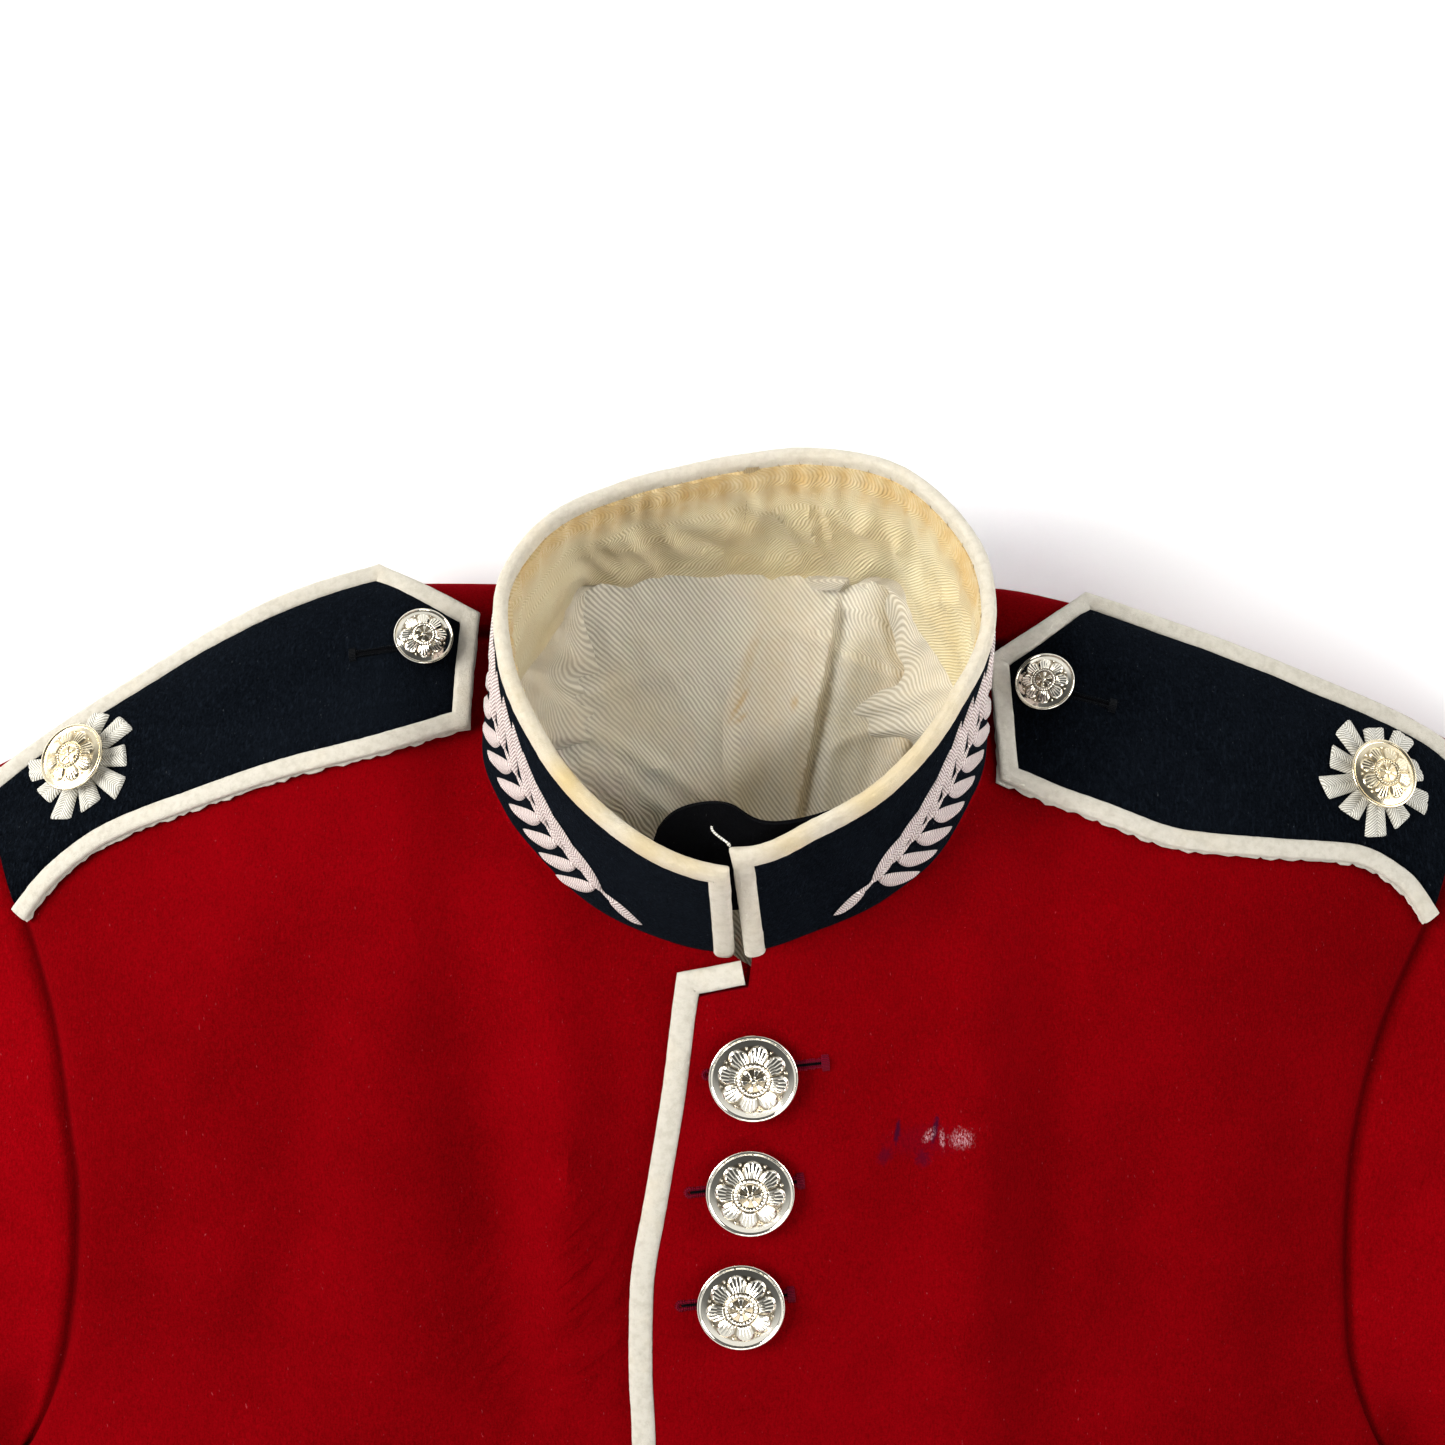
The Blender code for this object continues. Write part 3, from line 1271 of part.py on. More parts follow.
def build_sprays():
    """A leaf spray on each side of the collar: one leafy outline, raised a little."""
    half = COLLAR_WALL / 2
    count = SPRAY_LEAVES * 4 + 1
    for side, word in ((-1, "right"), (1, "left")):
        rows = []
        for i in range(count):
            share = i / (count - 1)
            angle = SPRAY_FROM + (SPRAY_TO - SPRAY_FROM) * share
            if side < 0:
                angle = 360 - angle
            tooth = (i % 4) / 4
            spread = (0.05 + 0.31 * math.sin(math.pi * min(share * 1.15, 1) ** 0.8)) * (1 - 0.45 * tooth) + 0.015
            middle = 0.42 + 0.05 * math.sin(math.pi * share)
            rows.append([(angle, middle - spread), (angle, middle), (angle, middle + spread)])
        outer = np.array([[collar_point(a, h) + collar_normal(a, h) * (half + GAP + SPRAY_THICK) for a, h in r]
                          for r in rows])
        inner = np.array([[collar_point(a, h) + collar_normal(a, h) * (half + GAP) for a, h in r] for r in rows])
        layered_solid(f"collar_spray_{word}", outer, inner, "white")


def lining_height(x, y):
    """Height of the back lining over the cloth: a long pleat and a few soft waves."""
    lean = 33 - (48 - y) * 0.19
    pleat = 4.5 * math.exp(-(((x - lean) / 5.5) ** 2))
    wave = 1.2 * math.exp(-(((x - 52) / 7) ** 2)) * (1 + math.sin(y / 14))
    wave += 0.8 * math.exp(-(((x + 24) / 12) ** 2)) * (1 + math.sin(y / 17 + 1))
    return (pleat + wave) * float(ease(-130, -90, y))


def build_back_lining():
    """Lining of the upper back, as far as it shows through the neck."""
    columns = np.linspace(-108, 108, 17)
    rows = []
    for i in range(11):
        share = i / 10
        row = []
        for x in columns:
            top = 45.5 - 8.0 * float(ease(34, 56, abs(x))) - 34.0 * float(ease(52, 100, abs(x)))
            y = top + (-130 - top) * share
            rise = 1.2 * float(ease(28, 44, y)) + 3.0 * float(ease(30, 46, abs(x)) * ease(12, 34, y))
            row.append([x, y, CLOTH + GAP + LINING + rise + lining_height(x, y) * float(ease(0, 0.1, share))])
        rows.append(row)
    outer = np.array(rows)
    inner = outer - np.array([0, 0, LINING])
    layered_solid("lining_back", outer, inner, "lining")


def settle():
    """Hangs every piece on one empty, placed so that the origin is under the middle of the tunic."""
    low, high = Vector((9, 9, 9)), Vector((-9, -9, -9))
    bpy.context.view_layer.update()
    pieces = [o for o in bpy.context.scene.objects if o.type == "MESH"]
    for o in pieces:
        for v in o.data.vertices:
            p = o.matrix_world @ v.co
            low = Vector(map(min, low, p))
            high = Vector(map(max, high, p))
    middle = (low + high) / 2
    tunic = bpy.data.objects.new("tunic", None)
    bpy.context.scene.collection.objects.link(tunic)
    for o in pieces:
        o.parent = tunic
    tunic.location = (-middle.x, -middle.y, -low.z)
    print(f"tunic moved by {[round(v, 5) for v in tunic.location]}, size {[round(v, 4) for v in high - low]}")


def main():
    """Builds the whole tunic."""
    for o in list(bpy.data.objects):
        bpy.data.objects.remove(o)
    cloth = {w.name: w for w in build_fronts() + build_backs()}
    join_side_seams(cloth)
    for wall in build_sleeves(cloth):
        cloth[wall.name] = wall
    share_normals(cloth.values())
    for wall in cloth.values():
        wall_solid(wall)
    build_cuffs()
    build_collar()
    build_sprays()
    build_back_lining()
    build_front_piping()
    seat = Seat([cloth[n] for n in cloth if n.startswith(("front", "back", "skirt_front"))])
    tops = build_straps(seat)
    build_buttons(seat, tops)
    settle()


main()
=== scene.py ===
"""Foot guards tunic laid on its back, dressed over its fixed CAD frame.

Sizes are in millimetres until a mesh is made. X runs across the tunic, Y from the hem
towards the collar, and Z up; the wearer's left side lies at +X. PLACE moves that frame
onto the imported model's own, which is in metres.
"""

import json
import logging
import math
from dataclasses import dataclass, field
from enum import Enum

import bpy
import numpy as np
from mathutils import Matrix, Vector
from mathutils.bvhtree import BVHTree

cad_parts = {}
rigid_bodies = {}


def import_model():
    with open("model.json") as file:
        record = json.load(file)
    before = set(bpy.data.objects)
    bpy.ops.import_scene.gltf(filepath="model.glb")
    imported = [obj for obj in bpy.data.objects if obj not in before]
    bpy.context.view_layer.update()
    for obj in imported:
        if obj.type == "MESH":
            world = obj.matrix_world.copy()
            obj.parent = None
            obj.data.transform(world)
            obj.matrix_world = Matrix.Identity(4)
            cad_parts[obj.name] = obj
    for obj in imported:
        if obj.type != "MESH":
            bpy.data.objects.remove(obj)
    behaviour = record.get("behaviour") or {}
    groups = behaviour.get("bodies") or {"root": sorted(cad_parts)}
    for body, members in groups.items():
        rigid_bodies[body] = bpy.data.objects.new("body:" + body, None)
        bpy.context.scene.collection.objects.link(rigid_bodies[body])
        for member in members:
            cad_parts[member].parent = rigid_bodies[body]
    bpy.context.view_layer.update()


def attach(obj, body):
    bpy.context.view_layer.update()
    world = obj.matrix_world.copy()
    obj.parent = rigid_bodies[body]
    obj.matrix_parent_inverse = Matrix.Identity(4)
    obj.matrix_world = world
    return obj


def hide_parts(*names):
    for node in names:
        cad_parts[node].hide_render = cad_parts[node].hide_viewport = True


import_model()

LOG = logging.getLogger("tunic")
PLACE = np.array([3.0, 304.08, 0.0])
MM = 0.001
FLAT = np.array([1, 1, 0])
TAU = 2 * math.pi

Array = np.ndarray
Number = float | Array
Row = tuple[float, ...]
Pair = tuple[float, float]
Point = tuple[float, float, float]
Colour = tuple[float, float, float]
Piece = bpy.types.Object
Socket = bpy.types.NodeSocket

CLOTH = 2.4
GAP = 0.3
LIFT = CLOTH + 2 * GAP
LAP_START, LAP_END = 22, 55
SMOOTH_BEND = 0.85


class Side(Enum):
    """The wearer's sides, by the sign of X."""

    RIGHT = -1
    LEFT = 1

    @property
    def word(self) -> str:
        """Name of the side as the pieces use it."""
        return self.name.lower()

    def turn(self, angle: Number) -> Number:
        """The angle round the neck on this side, from the angle on the left."""
        return angle if self is Side.LEFT else 360 - angle


class Slot(Enum):
    """Material slots of the record."""

    SCARLET = "scarlet"
    NAVY = "navy"
    FELT = "white_felt"
    THREAD = "white_thread"
    LINING = "lining"
    BLACK = "black_felt"
    METAL = "button_metal"


class Edge(Enum):
    """The four edges of a panel's grid."""

    TOP = "first row"
    BOTTOM = "last row"
    INNER = "first column"
    OUTER = "last column"


# Curves and small geometry


def follow(knots: Row | Array, values: Row | Array, at: Number) -> Array:
    """Reads a smooth curve through a table's rows that never overshoots them.

    Args:
        knots: Places of the rows, rising or falling.
        values: Value at each row.
        at: Places to read.

    Returns:
        The values at those places.
    """
    knots = np.asarray(knots, float)
    values = np.asarray(values, float)
    if knots[0] > knots[-1]:
        knots, values = knots[::-1], values[::-1]
    at = np.clip(np.asarray(at, float), knots[0], knots[-1])
    step = np.diff(knots)
    slope = np.diff(values) / step
    lean = np.zeros_like(values)
    same = slope[:-1] * slope[1:] > 0
    lean[1:-1][same] = 2 * slope[:-1][same] * slope[1:][same] / (slope[:-1][same] + slope[1:][same])
    lean[0], lean[-1] = slope[0], slope[-1]
    i = np.clip(np.searchsorted(knots, at, side="right") - 1, 0, len(step) - 1)
    t = (at - knots[i]) / step[i]
    return (
        (2 * t**3 - 3 * t**2 + 1) * values[i]
        + (t**3 - 2 * t**2 + t) * step[i] * lean[i]
        + (3 * t**2 - 2 * t**3) * values[i + 1]
        + (t**3 - t**2) * step[i] * lean[i + 1]
    )


def ease(low: float, high: float, value: Number) -> Array:
    """A smooth rise from 0 at low to 1 at high."""
    t = np.clip((np.asarray(value, float) - low) / (high - low), 0, 1)
    return t * t * (3 - 2 * t)


def hump(value: Number, middle: float, half: float) -> Array:
    """A bell of height 1 at its middle."""
    return np.exp(-(((np.asarray(value, float) - middle) / half) ** 2))


def unit(v: Array) -> Array:
    """v at length 1, along its last axis."""
    v = np.asarray(v, float)
    return v / np.maximum(np.linalg.norm(v, axis=-1, keepdims=True), 1e-9)


def bezier(a: Array, b: Array, c: Array, d: Array, t: Number) -> Array:
    """Points on the cubic curve with ends a and d and handles b and c."""
    return (1 - t) ** 3 * a + 3 * (1 - t) ** 2 * t * b + 3 * (1 - t) * t * t * c + t**3 * d


def lap(x: Number) -> Array:
    """How far the left front is lifted at X, where it lies over the right one."""
    return LIFT * (1 - ease(LAP_START, LAP_END, x))


def run(path: Array) -> Array:
    """Distance along a path to each of its points."""
    return np.concatenate([[0], np.cumsum(np.linalg.norm(np.diff(path, axis=0), axis=1))])


def beside(grid: Array) -> Array:
    """Sum of the four neighbours of each point of a grid, where an edge point is its own neighbour."""
    still = np.pad(grid, ((1, 1), (1, 1)) + ((0, 0),) * (grid.ndim - 2), mode="edge")
    return still[:-2, 1:-1] + still[2:, 1:-1] + still[1:-1, :-2] + still[1:-1, 2:]


def refine(table: list[float], parts: int) -> list[float]:
    """Splits each step of a table into equal parts."""
    fine = [a + (b - a) * k / parts for a, b in zip(table, table[1:]) for k in range(parts)]
    return [round(v, 6) for v in fine + [table[-1]]]


def waves(points: Array, size: float, seed: int) -> Array:
    """Smooth uneven values between about -1 and 1 over points in space.

    Args:
        points: Points along the last axis.
        size: Rough distance from one wave to the next.
        seed: Picks one of many patterns.

    Returns:
        One value a point.
    """
    pick = np.random.default_rng(seed)
    total = np.zeros(points.shape[:-1])
    for _ in range(7):
        way = unit(pick.normal(size=3)) * TAU / (size * pick.uniform(0.7, 1.6))
        total += np.sin(points @ way + pick.uniform(0, TAU))
    return total / 3.5


def grid_normals(grid: Array) -> Array:
    """Directions square to a grid of points, all to the same side of it."""
    return unit(np.cross(np.gradient(grid, axis=1), np.gradient(grid, axis=0)))


def grid_lengths(grid: Array) -> Array:
    """Flat coordinates of a grid in millimetres: across by column and down by row.

    Args:
        grid: Points in rows and columns.

    Returns:
        Two values a point.
    """
    across = np.zeros(grid.shape[:2])
    down = np.zeros(grid.shape[:2])
    across[:, 1:] = np.cumsum(np.linalg.norm(np.diff(grid, axis=1), axis=2), axis=1)
    down[1:] = np.cumsum(np.linalg.norm(np.diff(grid, axis=0), axis=2), axis=0)
    middle = grid.shape[1] // 2
    across -= across[:, middle:middle + 1]
    return np.stack([across, down], axis=2)


def basis(normal: Array, spin: float = 0.0) -> Matrix:
    """A turn that takes +Z to a normal, with +Y kept towards the collar before the spin.

    Args:
        normal: Direction out of the cloth.
        spin: Turn about the normal in radians.

    Returns:
        The turn.
    """
    z = Vector(normal).normalized()
    x = Vector((0, 1, 0)).cross(z).normalized()
    return Matrix((x, z.cross(x), z)).transposed().to_4x4() @ Matrix.Rotation(spin, 4, "Z")


# Meshes


def link(name: str, data: bpy.types.ID) -> Piece:
    """Puts an object with this data into the scene.

    Args:
        name: Name of the object.
        data: Its mesh, light or camera.

    Returns:
        The object.
    """
    made = bpy.data.objects.new(name, data)
    bpy.context.scene.collection.objects.link(made)
    return made


class Soup:
    """Points and faces gathered for one mesh, with flat coordinates and a mark for each point."""

    def __init__(self) -> None:
        """Starts empty."""
        self.points: list[Array] = []
        self.flats: list[Array] = []
        self.marks: list[Array] = []
        self.faces: list[list[int]] = []
        self.count = 0

    def add(self, points: Array, flats: Array | None = None, marks: Array | None = None) -> int:
        """Adds points.

        Args:
            points: Points in millimetres, in any array shape that ends in 3.
            flats: Flat coordinates in millimetres, in the same shape but ending in 2.
            marks: One value a point, for soiling, relief and painted shade.

        Returns:
            The number of the first one.
        """
        points = np.asarray(points, float).reshape(-1, 3)
        first = self.count
        self.points.append(points)
        self.flats.append(points[:, :2] if flats is None else np.asarray(flats, float).reshape(-1, 2))
        self.marks.append(np.zeros(len(points)) if marks is None else np.asarray(marks, float).reshape(-1))
        self.count += len(points)
        return first

    def weave(self, first: int, rows: int, columns: int, flip: bool = False, loop: bool = False,
              ring: bool = False) -> None:
        """Adds the faces of a grid of points.

        Args:
            first: Number of the grid's first point.
            rows: Rows of the grid.
            columns: Columns of the grid.
            flip: Turns the faces over.
            loop: Joins the last row to the first.
            ring: Joins the last column to the first.
        """
        for i in range(rows if loop else rows - 1):
            for j in range(columns if ring else columns - 1):
                k, m = (i + 1) % rows, (j + 1) % columns
                face = [first + i * columns + j, first + i * columns + m, first + k * columns + m,
                        first + k * columns + j]
                self.faces.append(face[::-1] if flip else face)

    def tube(self, first: int, rows: int, columns: int, flip: bool = False) -> None:
        """Adds the faces of a tube of rings, and closes both its ends.

        Args:
            first: Number of its first point.
            rows: Number of rings.
            columns: Points in each ring.
            flip: Turns the faces round the tube over.
        """
        self.weave(first, rows, columns, flip, ring=True)
        last = first + (rows - 1) * columns
        self.faces.append([first + j for j in range(columns)])
        self.faces.append([last + j for j in reversed(range(columns))])

    def shell(self, outer: Array, inner: Array, flip: bool = False, loop: bool = False,
              marks: Array | None = None) -> None:
        """Adds a closed layer of cloth between two grids of one shape.

        Args:
            outer: Grid of the outer face.
            inner: Grid of the inner face.
            flip: Turns the faces over.
            loop: Joins the last row to the first.
            marks: One value a point of either face.
        """
        rows, columns = outer.shape[:2]
        flats = grid_lengths(outer)
        a = self.add(outer, flats, marks)
        b = self.add(inner, flats, marks)
        self.weave(a, rows, columns, flip, loop)
        self.weave(b, rows, columns, not flip, loop)
        for i in range(rows if loop else rows - 1):
            k = (i + 1) % rows
            for j, turned in ((0, flip), (columns - 1, not flip)):
                face = [a + i * columns + j, a + k * columns + j, b + k * columns + j, b + i * columns + j]
                self.faces.append(face[::-1] if turned else face)
        if loop:
            return
        for j in range(columns - 1):
            for i, turned in ((0, not flip), (rows - 1, flip)):
                face = [a + i * columns + j, a + i * columns + j + 1, b + i * columns + j + 1, b + i * columns + j]
                self.faces.append(face[::-1] if turned else face)

    def piece(self, name: str, finish: "Finish", nodes: tuple[str, ...] = (),
              sharp: float = 50.0) -> Piece:
        """Makes the object.

        Args:
            name: Name of the piece.
            finish: What it is made of.
            nodes: CAD nodes that it stands for.
            sharp: Angle in degrees over which an edge is shaded hard.

        Returns:
            The piece, riding on the tunic's one body.
        """
        mesh = bpy.data.meshes.new(name)
        points = (np.vstack(self.points) + PLACE) * MM
        mesh.from_pydata(points.tolist(), [], self.faces)
        mesh.validate()
        corners = np.zeros(len(mesh.loops), np.int32)
        mesh.loops.foreach_get("vertex_index", corners)
        layer = mesh.uv_layers.new(name="flat")
        layer.data.foreach_set("uv", (np.vstack(self.flats)[corners] * MM).ravel())
        mark = mesh.attributes.new("mark", "FLOAT", "POINT")
        mark.data.foreach_set("value", np.concatenate(self.marks))
        mesh.shade_smooth()
        mesh.set_sharp_from_angle(angle=math.radians(sharp))
        mesh.materials.append(finish.material())
        made = link(name + "_dressed" if nodes else name, mesh)
        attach(made, "root")
        if nodes:
            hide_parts(*nodes)
        return made


def strip_sides(path: Array, normals: Array) -> Array:
    """Directions across a strip at each point of its path, stretched at corners so that it mitres.

    Args:
        path: Points along the middle of the strip.
        normals: Directions out of the cloth.

    Returns:
        One direction a point.
    """
    after = np.vstack([np.diff(path, axis=0), path[-1:] - path[-2:-1]])
    before = np.vstack([path[1:2] - path[:1], np.diff(path, axis=0)])
    before, after = unit(before), unit(after)
    tangent = unit(before + after)
    stretch = 1 / np.clip(np.sum(tangent * before, axis=1), 0.5, 1)
    return unit(np.cross(tangent, normals)) * stretch[:, None]


def round_profile(width: float, thick: float, base: float, points: int = 16) -> Array:
    """Outline of a flat strip with well rounded shoulders, as pairs of across and outward sizes.

    Args:
        width: Width of the strip.
        thick: Its thickness.
        base: Distance of its low face from the path.
        points: Number of points.

    Returns:
        The closed outline.
    """
    turn = np.linspace(0, TAU, points, endpoint=False) + math.pi / points
    c, s = np.cos(turn), np.sin(turn)
    across = np.sign(c) * np.abs(c) ** 0.66 * width / 2
    out = base + thick / 2 + np.sign(s) * np.abs(s) ** 0.85 * thick / 2
    return np.stack([across, out], axis=1)


def sweep(soup: Soup, path: Array, normals: Array, profile: Array, rough: float = 0.0,
          seed: int = 1, marks: Array | None = None) -> None:
    """Sweeps a profile along a path, with closed ends.

    Args:
        soup: Where the points and faces go.
        path: Points along the strip.
        normals: Outward direction at each of them.
        profile: Pairs of across and outward sizes.
        rough: How uneven the felt's surface is.
        seed: Picks the unevenness.
        marks: One value a point of the path.
    """
    across = strip_sides(path, normals)
    rings = path[:, None] + across[:, None] * profile[None, :, :1] + normals[:, None] * profile[None, :, 1:]
    middle = rings.mean(axis=1, keepdims=True)
    out = unit(rings - middle)
    rings = rings + out * (waves(rings, 2.6, seed) + 0.8 * waves(rings, 7.0, seed + 7))[:, :, None] * rough
    flats = np.stack(np.broadcast_arrays(run(profile)[None, :], run(path)[:, None]), axis=2)
    spread = None if marks is None else np.broadcast_to(marks[:, None], rings.shape[:2])
    soup.tube(soup.add(rings, flats, spread), *rings.shape[:2])


def resample(path: Array, normals: Array, step: float) -> tuple[Array, Array]:
    """Adds points along a path between its own, which all stay. Sharp corners stay crisp.

    Args:
        path: Points of the path.
        normals: Direction at each.
        step: Longest distance between points afterwards.

    Returns:
        The finer path and its directions.
    """
    points, leads = [], []
    for i in range(len(path) - 1):
        reach = np.linalg.norm(path[i + 1] - path[i])
        parts = max(1, math.ceil(reach / step))
        before = unit(path[i] - path[i - 1]) if i else unit(path[1] - path[0])
        here = unit(path[i + 1] - path[i])
        after = unit(path[i + 2] - path[i + 1]) if i + 2 < len(path) else here
        a = unit(before + here) if before @ here > SMOOTH_BEND else here
        b = unit(here + after) if after @ here > SMOOTH_BEND else here
        for k in range(parts):
            t = k / parts
            points.append(bezier(path[i], path[i] + a * reach / 3, path[i + 1] - b * reach / 3, path[i + 1], t))
            leads.append(normals[i] * (1 - t) + normals[i + 1] * t)
    points.append(path[-1])
    leads.append(normals[-1])
    return np.array(points), unit(np.array(leads))


# Finishes


class Graph:
    """Shader nodes of one material."""

    def __init__(self, name: str) -> None:
        """Starts a material with a plain Principled shader.

        Args:
            name: Name of the material.
        """
        self.material = bpy.data.materials.new(name)
        self.material.use_nodes = True
        self.tree = self.material.node_tree
        self.shader = self.tree.nodes["Principled BSDF"]

    def node(self, kind: str, inputs: dict[str | int, object] | None = None, **settings: object) -> bpy.types.Node:
        """Adds a node.

        Args:
            kind: Blender's name of the node, without its Shader prefix.
            inputs: Values or sockets for its inputs.
            settings: Values for its own properties.

        Returns:
            The node.
        """
        made = self.tree.nodes.new("ShaderNode" + kind)
        for key, value in settings.items():
            setattr(made, key, value)
        for key, value in (inputs or {}).items():
            self.feed(made.inputs[key], value)
        return made

    def feed(self, socket: Socket, value: object) -> None:
        """Sets an input to a value, or links a socket to it.

        Args:
            socket: The input.
            value: A socket, or a value that suits the input.
        """
        if isinstance(value, Socket):
            self.tree.links.new(value, socket)
        else:
            socket.default_value = value

    def place(self) -> Socket:
        """Position on the piece, in metres."""
        return self.node("TexCoord").outputs["Object"]

    def flat(self) -> Socket:
        """Position on the flat cloth, in metres."""
        return self.node("UVMap", uv_map="flat").outputs["UV"]

    def mark(self) -> Socket:
        """The value that the mesh carries at each point."""
        return self.node("Attribute", attribute_name="mark").outputs["Fac"]

    def noise(self, vector: Socket, scale: float, detail: float = 3.0,
              rough: float = 0.55) -> Socket:
        """Cloudy values about 0.5, with waves of 1/scale metres."""
        inputs = {"Vector": vector, "Scale": scale, "Detail": detail, "Roughness": rough}
        return self.node("TexNoise", inputs).outputs["Fac"]

    def stretch(self, vector: Socket, size: Point, turn: float = 0.0) -> Socket:
        """A position turned about Z and scaled by axis."""
        return self.node("Mapping", {"Vector": vector, "Rotation": (0.0, 0.0, turn), "Scale": size}).outputs["Vector"]

    def plus(self, a: object, b: object) -> Socket:
        """The sum of two values."""
        return self.node("Math", {0: a, 1: b}, operation="ADD").outputs[0]

    def times(self, a: object, b: object) -> Socket:
        """The product of two values."""
        return self.node("Math", {0: a, 1: b}, operation="MULTIPLY").outputs[0]

    def ridges(self, value: object, pitch: float, waver: Socket, amount: float, top: float) -> Socket:
        """Rounded ridges across a position.

        Args:
            value: The position in metres.
            pitch: Millimetres from one ridge to the next.
            waver: Noise that sets them out of line.
            amount: How far it does.
            top: Value of the sine over which a ridge is flat.

        Returns:
            0 in the grooves and 1 on the ridges.
        """
        turn = self.plus(self.times(value, TAU / (pitch * MM)), self.times(waver, amount))
        return self.rise(self.node("Math", {0: turn}, operation="SINE").outputs[0], -1.0, top)

    def rise(self, value: object, low: float, high: float, start: float = 0.0,
             end: float = 1.0) -> Socket:
        """A smooth rise from start at low to end at high."""
        inputs = {"Value": value, "From Min": low, "From Max": high, "To Min": start, "To Max": end}
        return self.node("MapRange", inputs, interpolation_type="SMOOTHSTEP").outputs["Result"]

    def mix(self, share: object, a: object, b: object) -> Socket:
        """Colour a where share is 0, and b where it is 1.

        Args:
            share: How much of b there is.
            a: The first colour.
            b: The second colour.

        Returns:
            The mixed colour.
        """
        a = (*a, 1.0) if isinstance(a, tuple) else a
        b = (*b, 1.0) if isinstance(b, tuple) else b
        return self.node("Mix", {0: share, 6: a, 7: b}, data_type="RGBA").outputs[2]

    def bump(self, height: Socket, distance: float, strength: float = 1.0,
             under: Socket | None = None) -> Socket:
        """Relief of a height, over the relief under it.

        Args:
            height: The height.
            distance: Its range in metres.
            strength: How much of it shows.
            under: The normal of the relief under it.

        Returns:
            The normal.
        """
        inputs = {"Height": height, "Distance": distance, "Strength": strength}
        if under is not None:
            inputs["Normal"] = under
        return self.node("Bump", inputs).outputs["Normal"]

    def wear(self, **values: object) -> None:
        """Sets inputs of the shader by name, with underscores for spaces."""
        for key, value in values.items():
            if isinstance(value, tuple) and len(value) == 3:
                value = (*value, 1.0)
            self.feed(self.shader.inputs[key.replace("_", " ")], value)


@dataclass(frozen=True)
class Finish:
    """A material, made once for each name."""

    name: str

    def material(self) -> bpy.types.Material:
        """The finished material.

        Returns:
            The same one each time.
        """
        found = bpy.data.materials.get(self.name)
        if found:
            return found
        graph = Graph(self.name)
        self.dress(graph)
        return graph.material

    def dress(self, graph: Graph) -> None:
        """Adds the finish's own nodes."""
        raise NotImplementedError


@dataclass(frozen=True)
class WearMark:
    """A worn place on the chest: its middle, turn in degrees, half sizes, strength, and whether it is pale."""

    x: float
    y: float
    turn: float
    long: float
    wide: float
    strength: float
    pale: bool


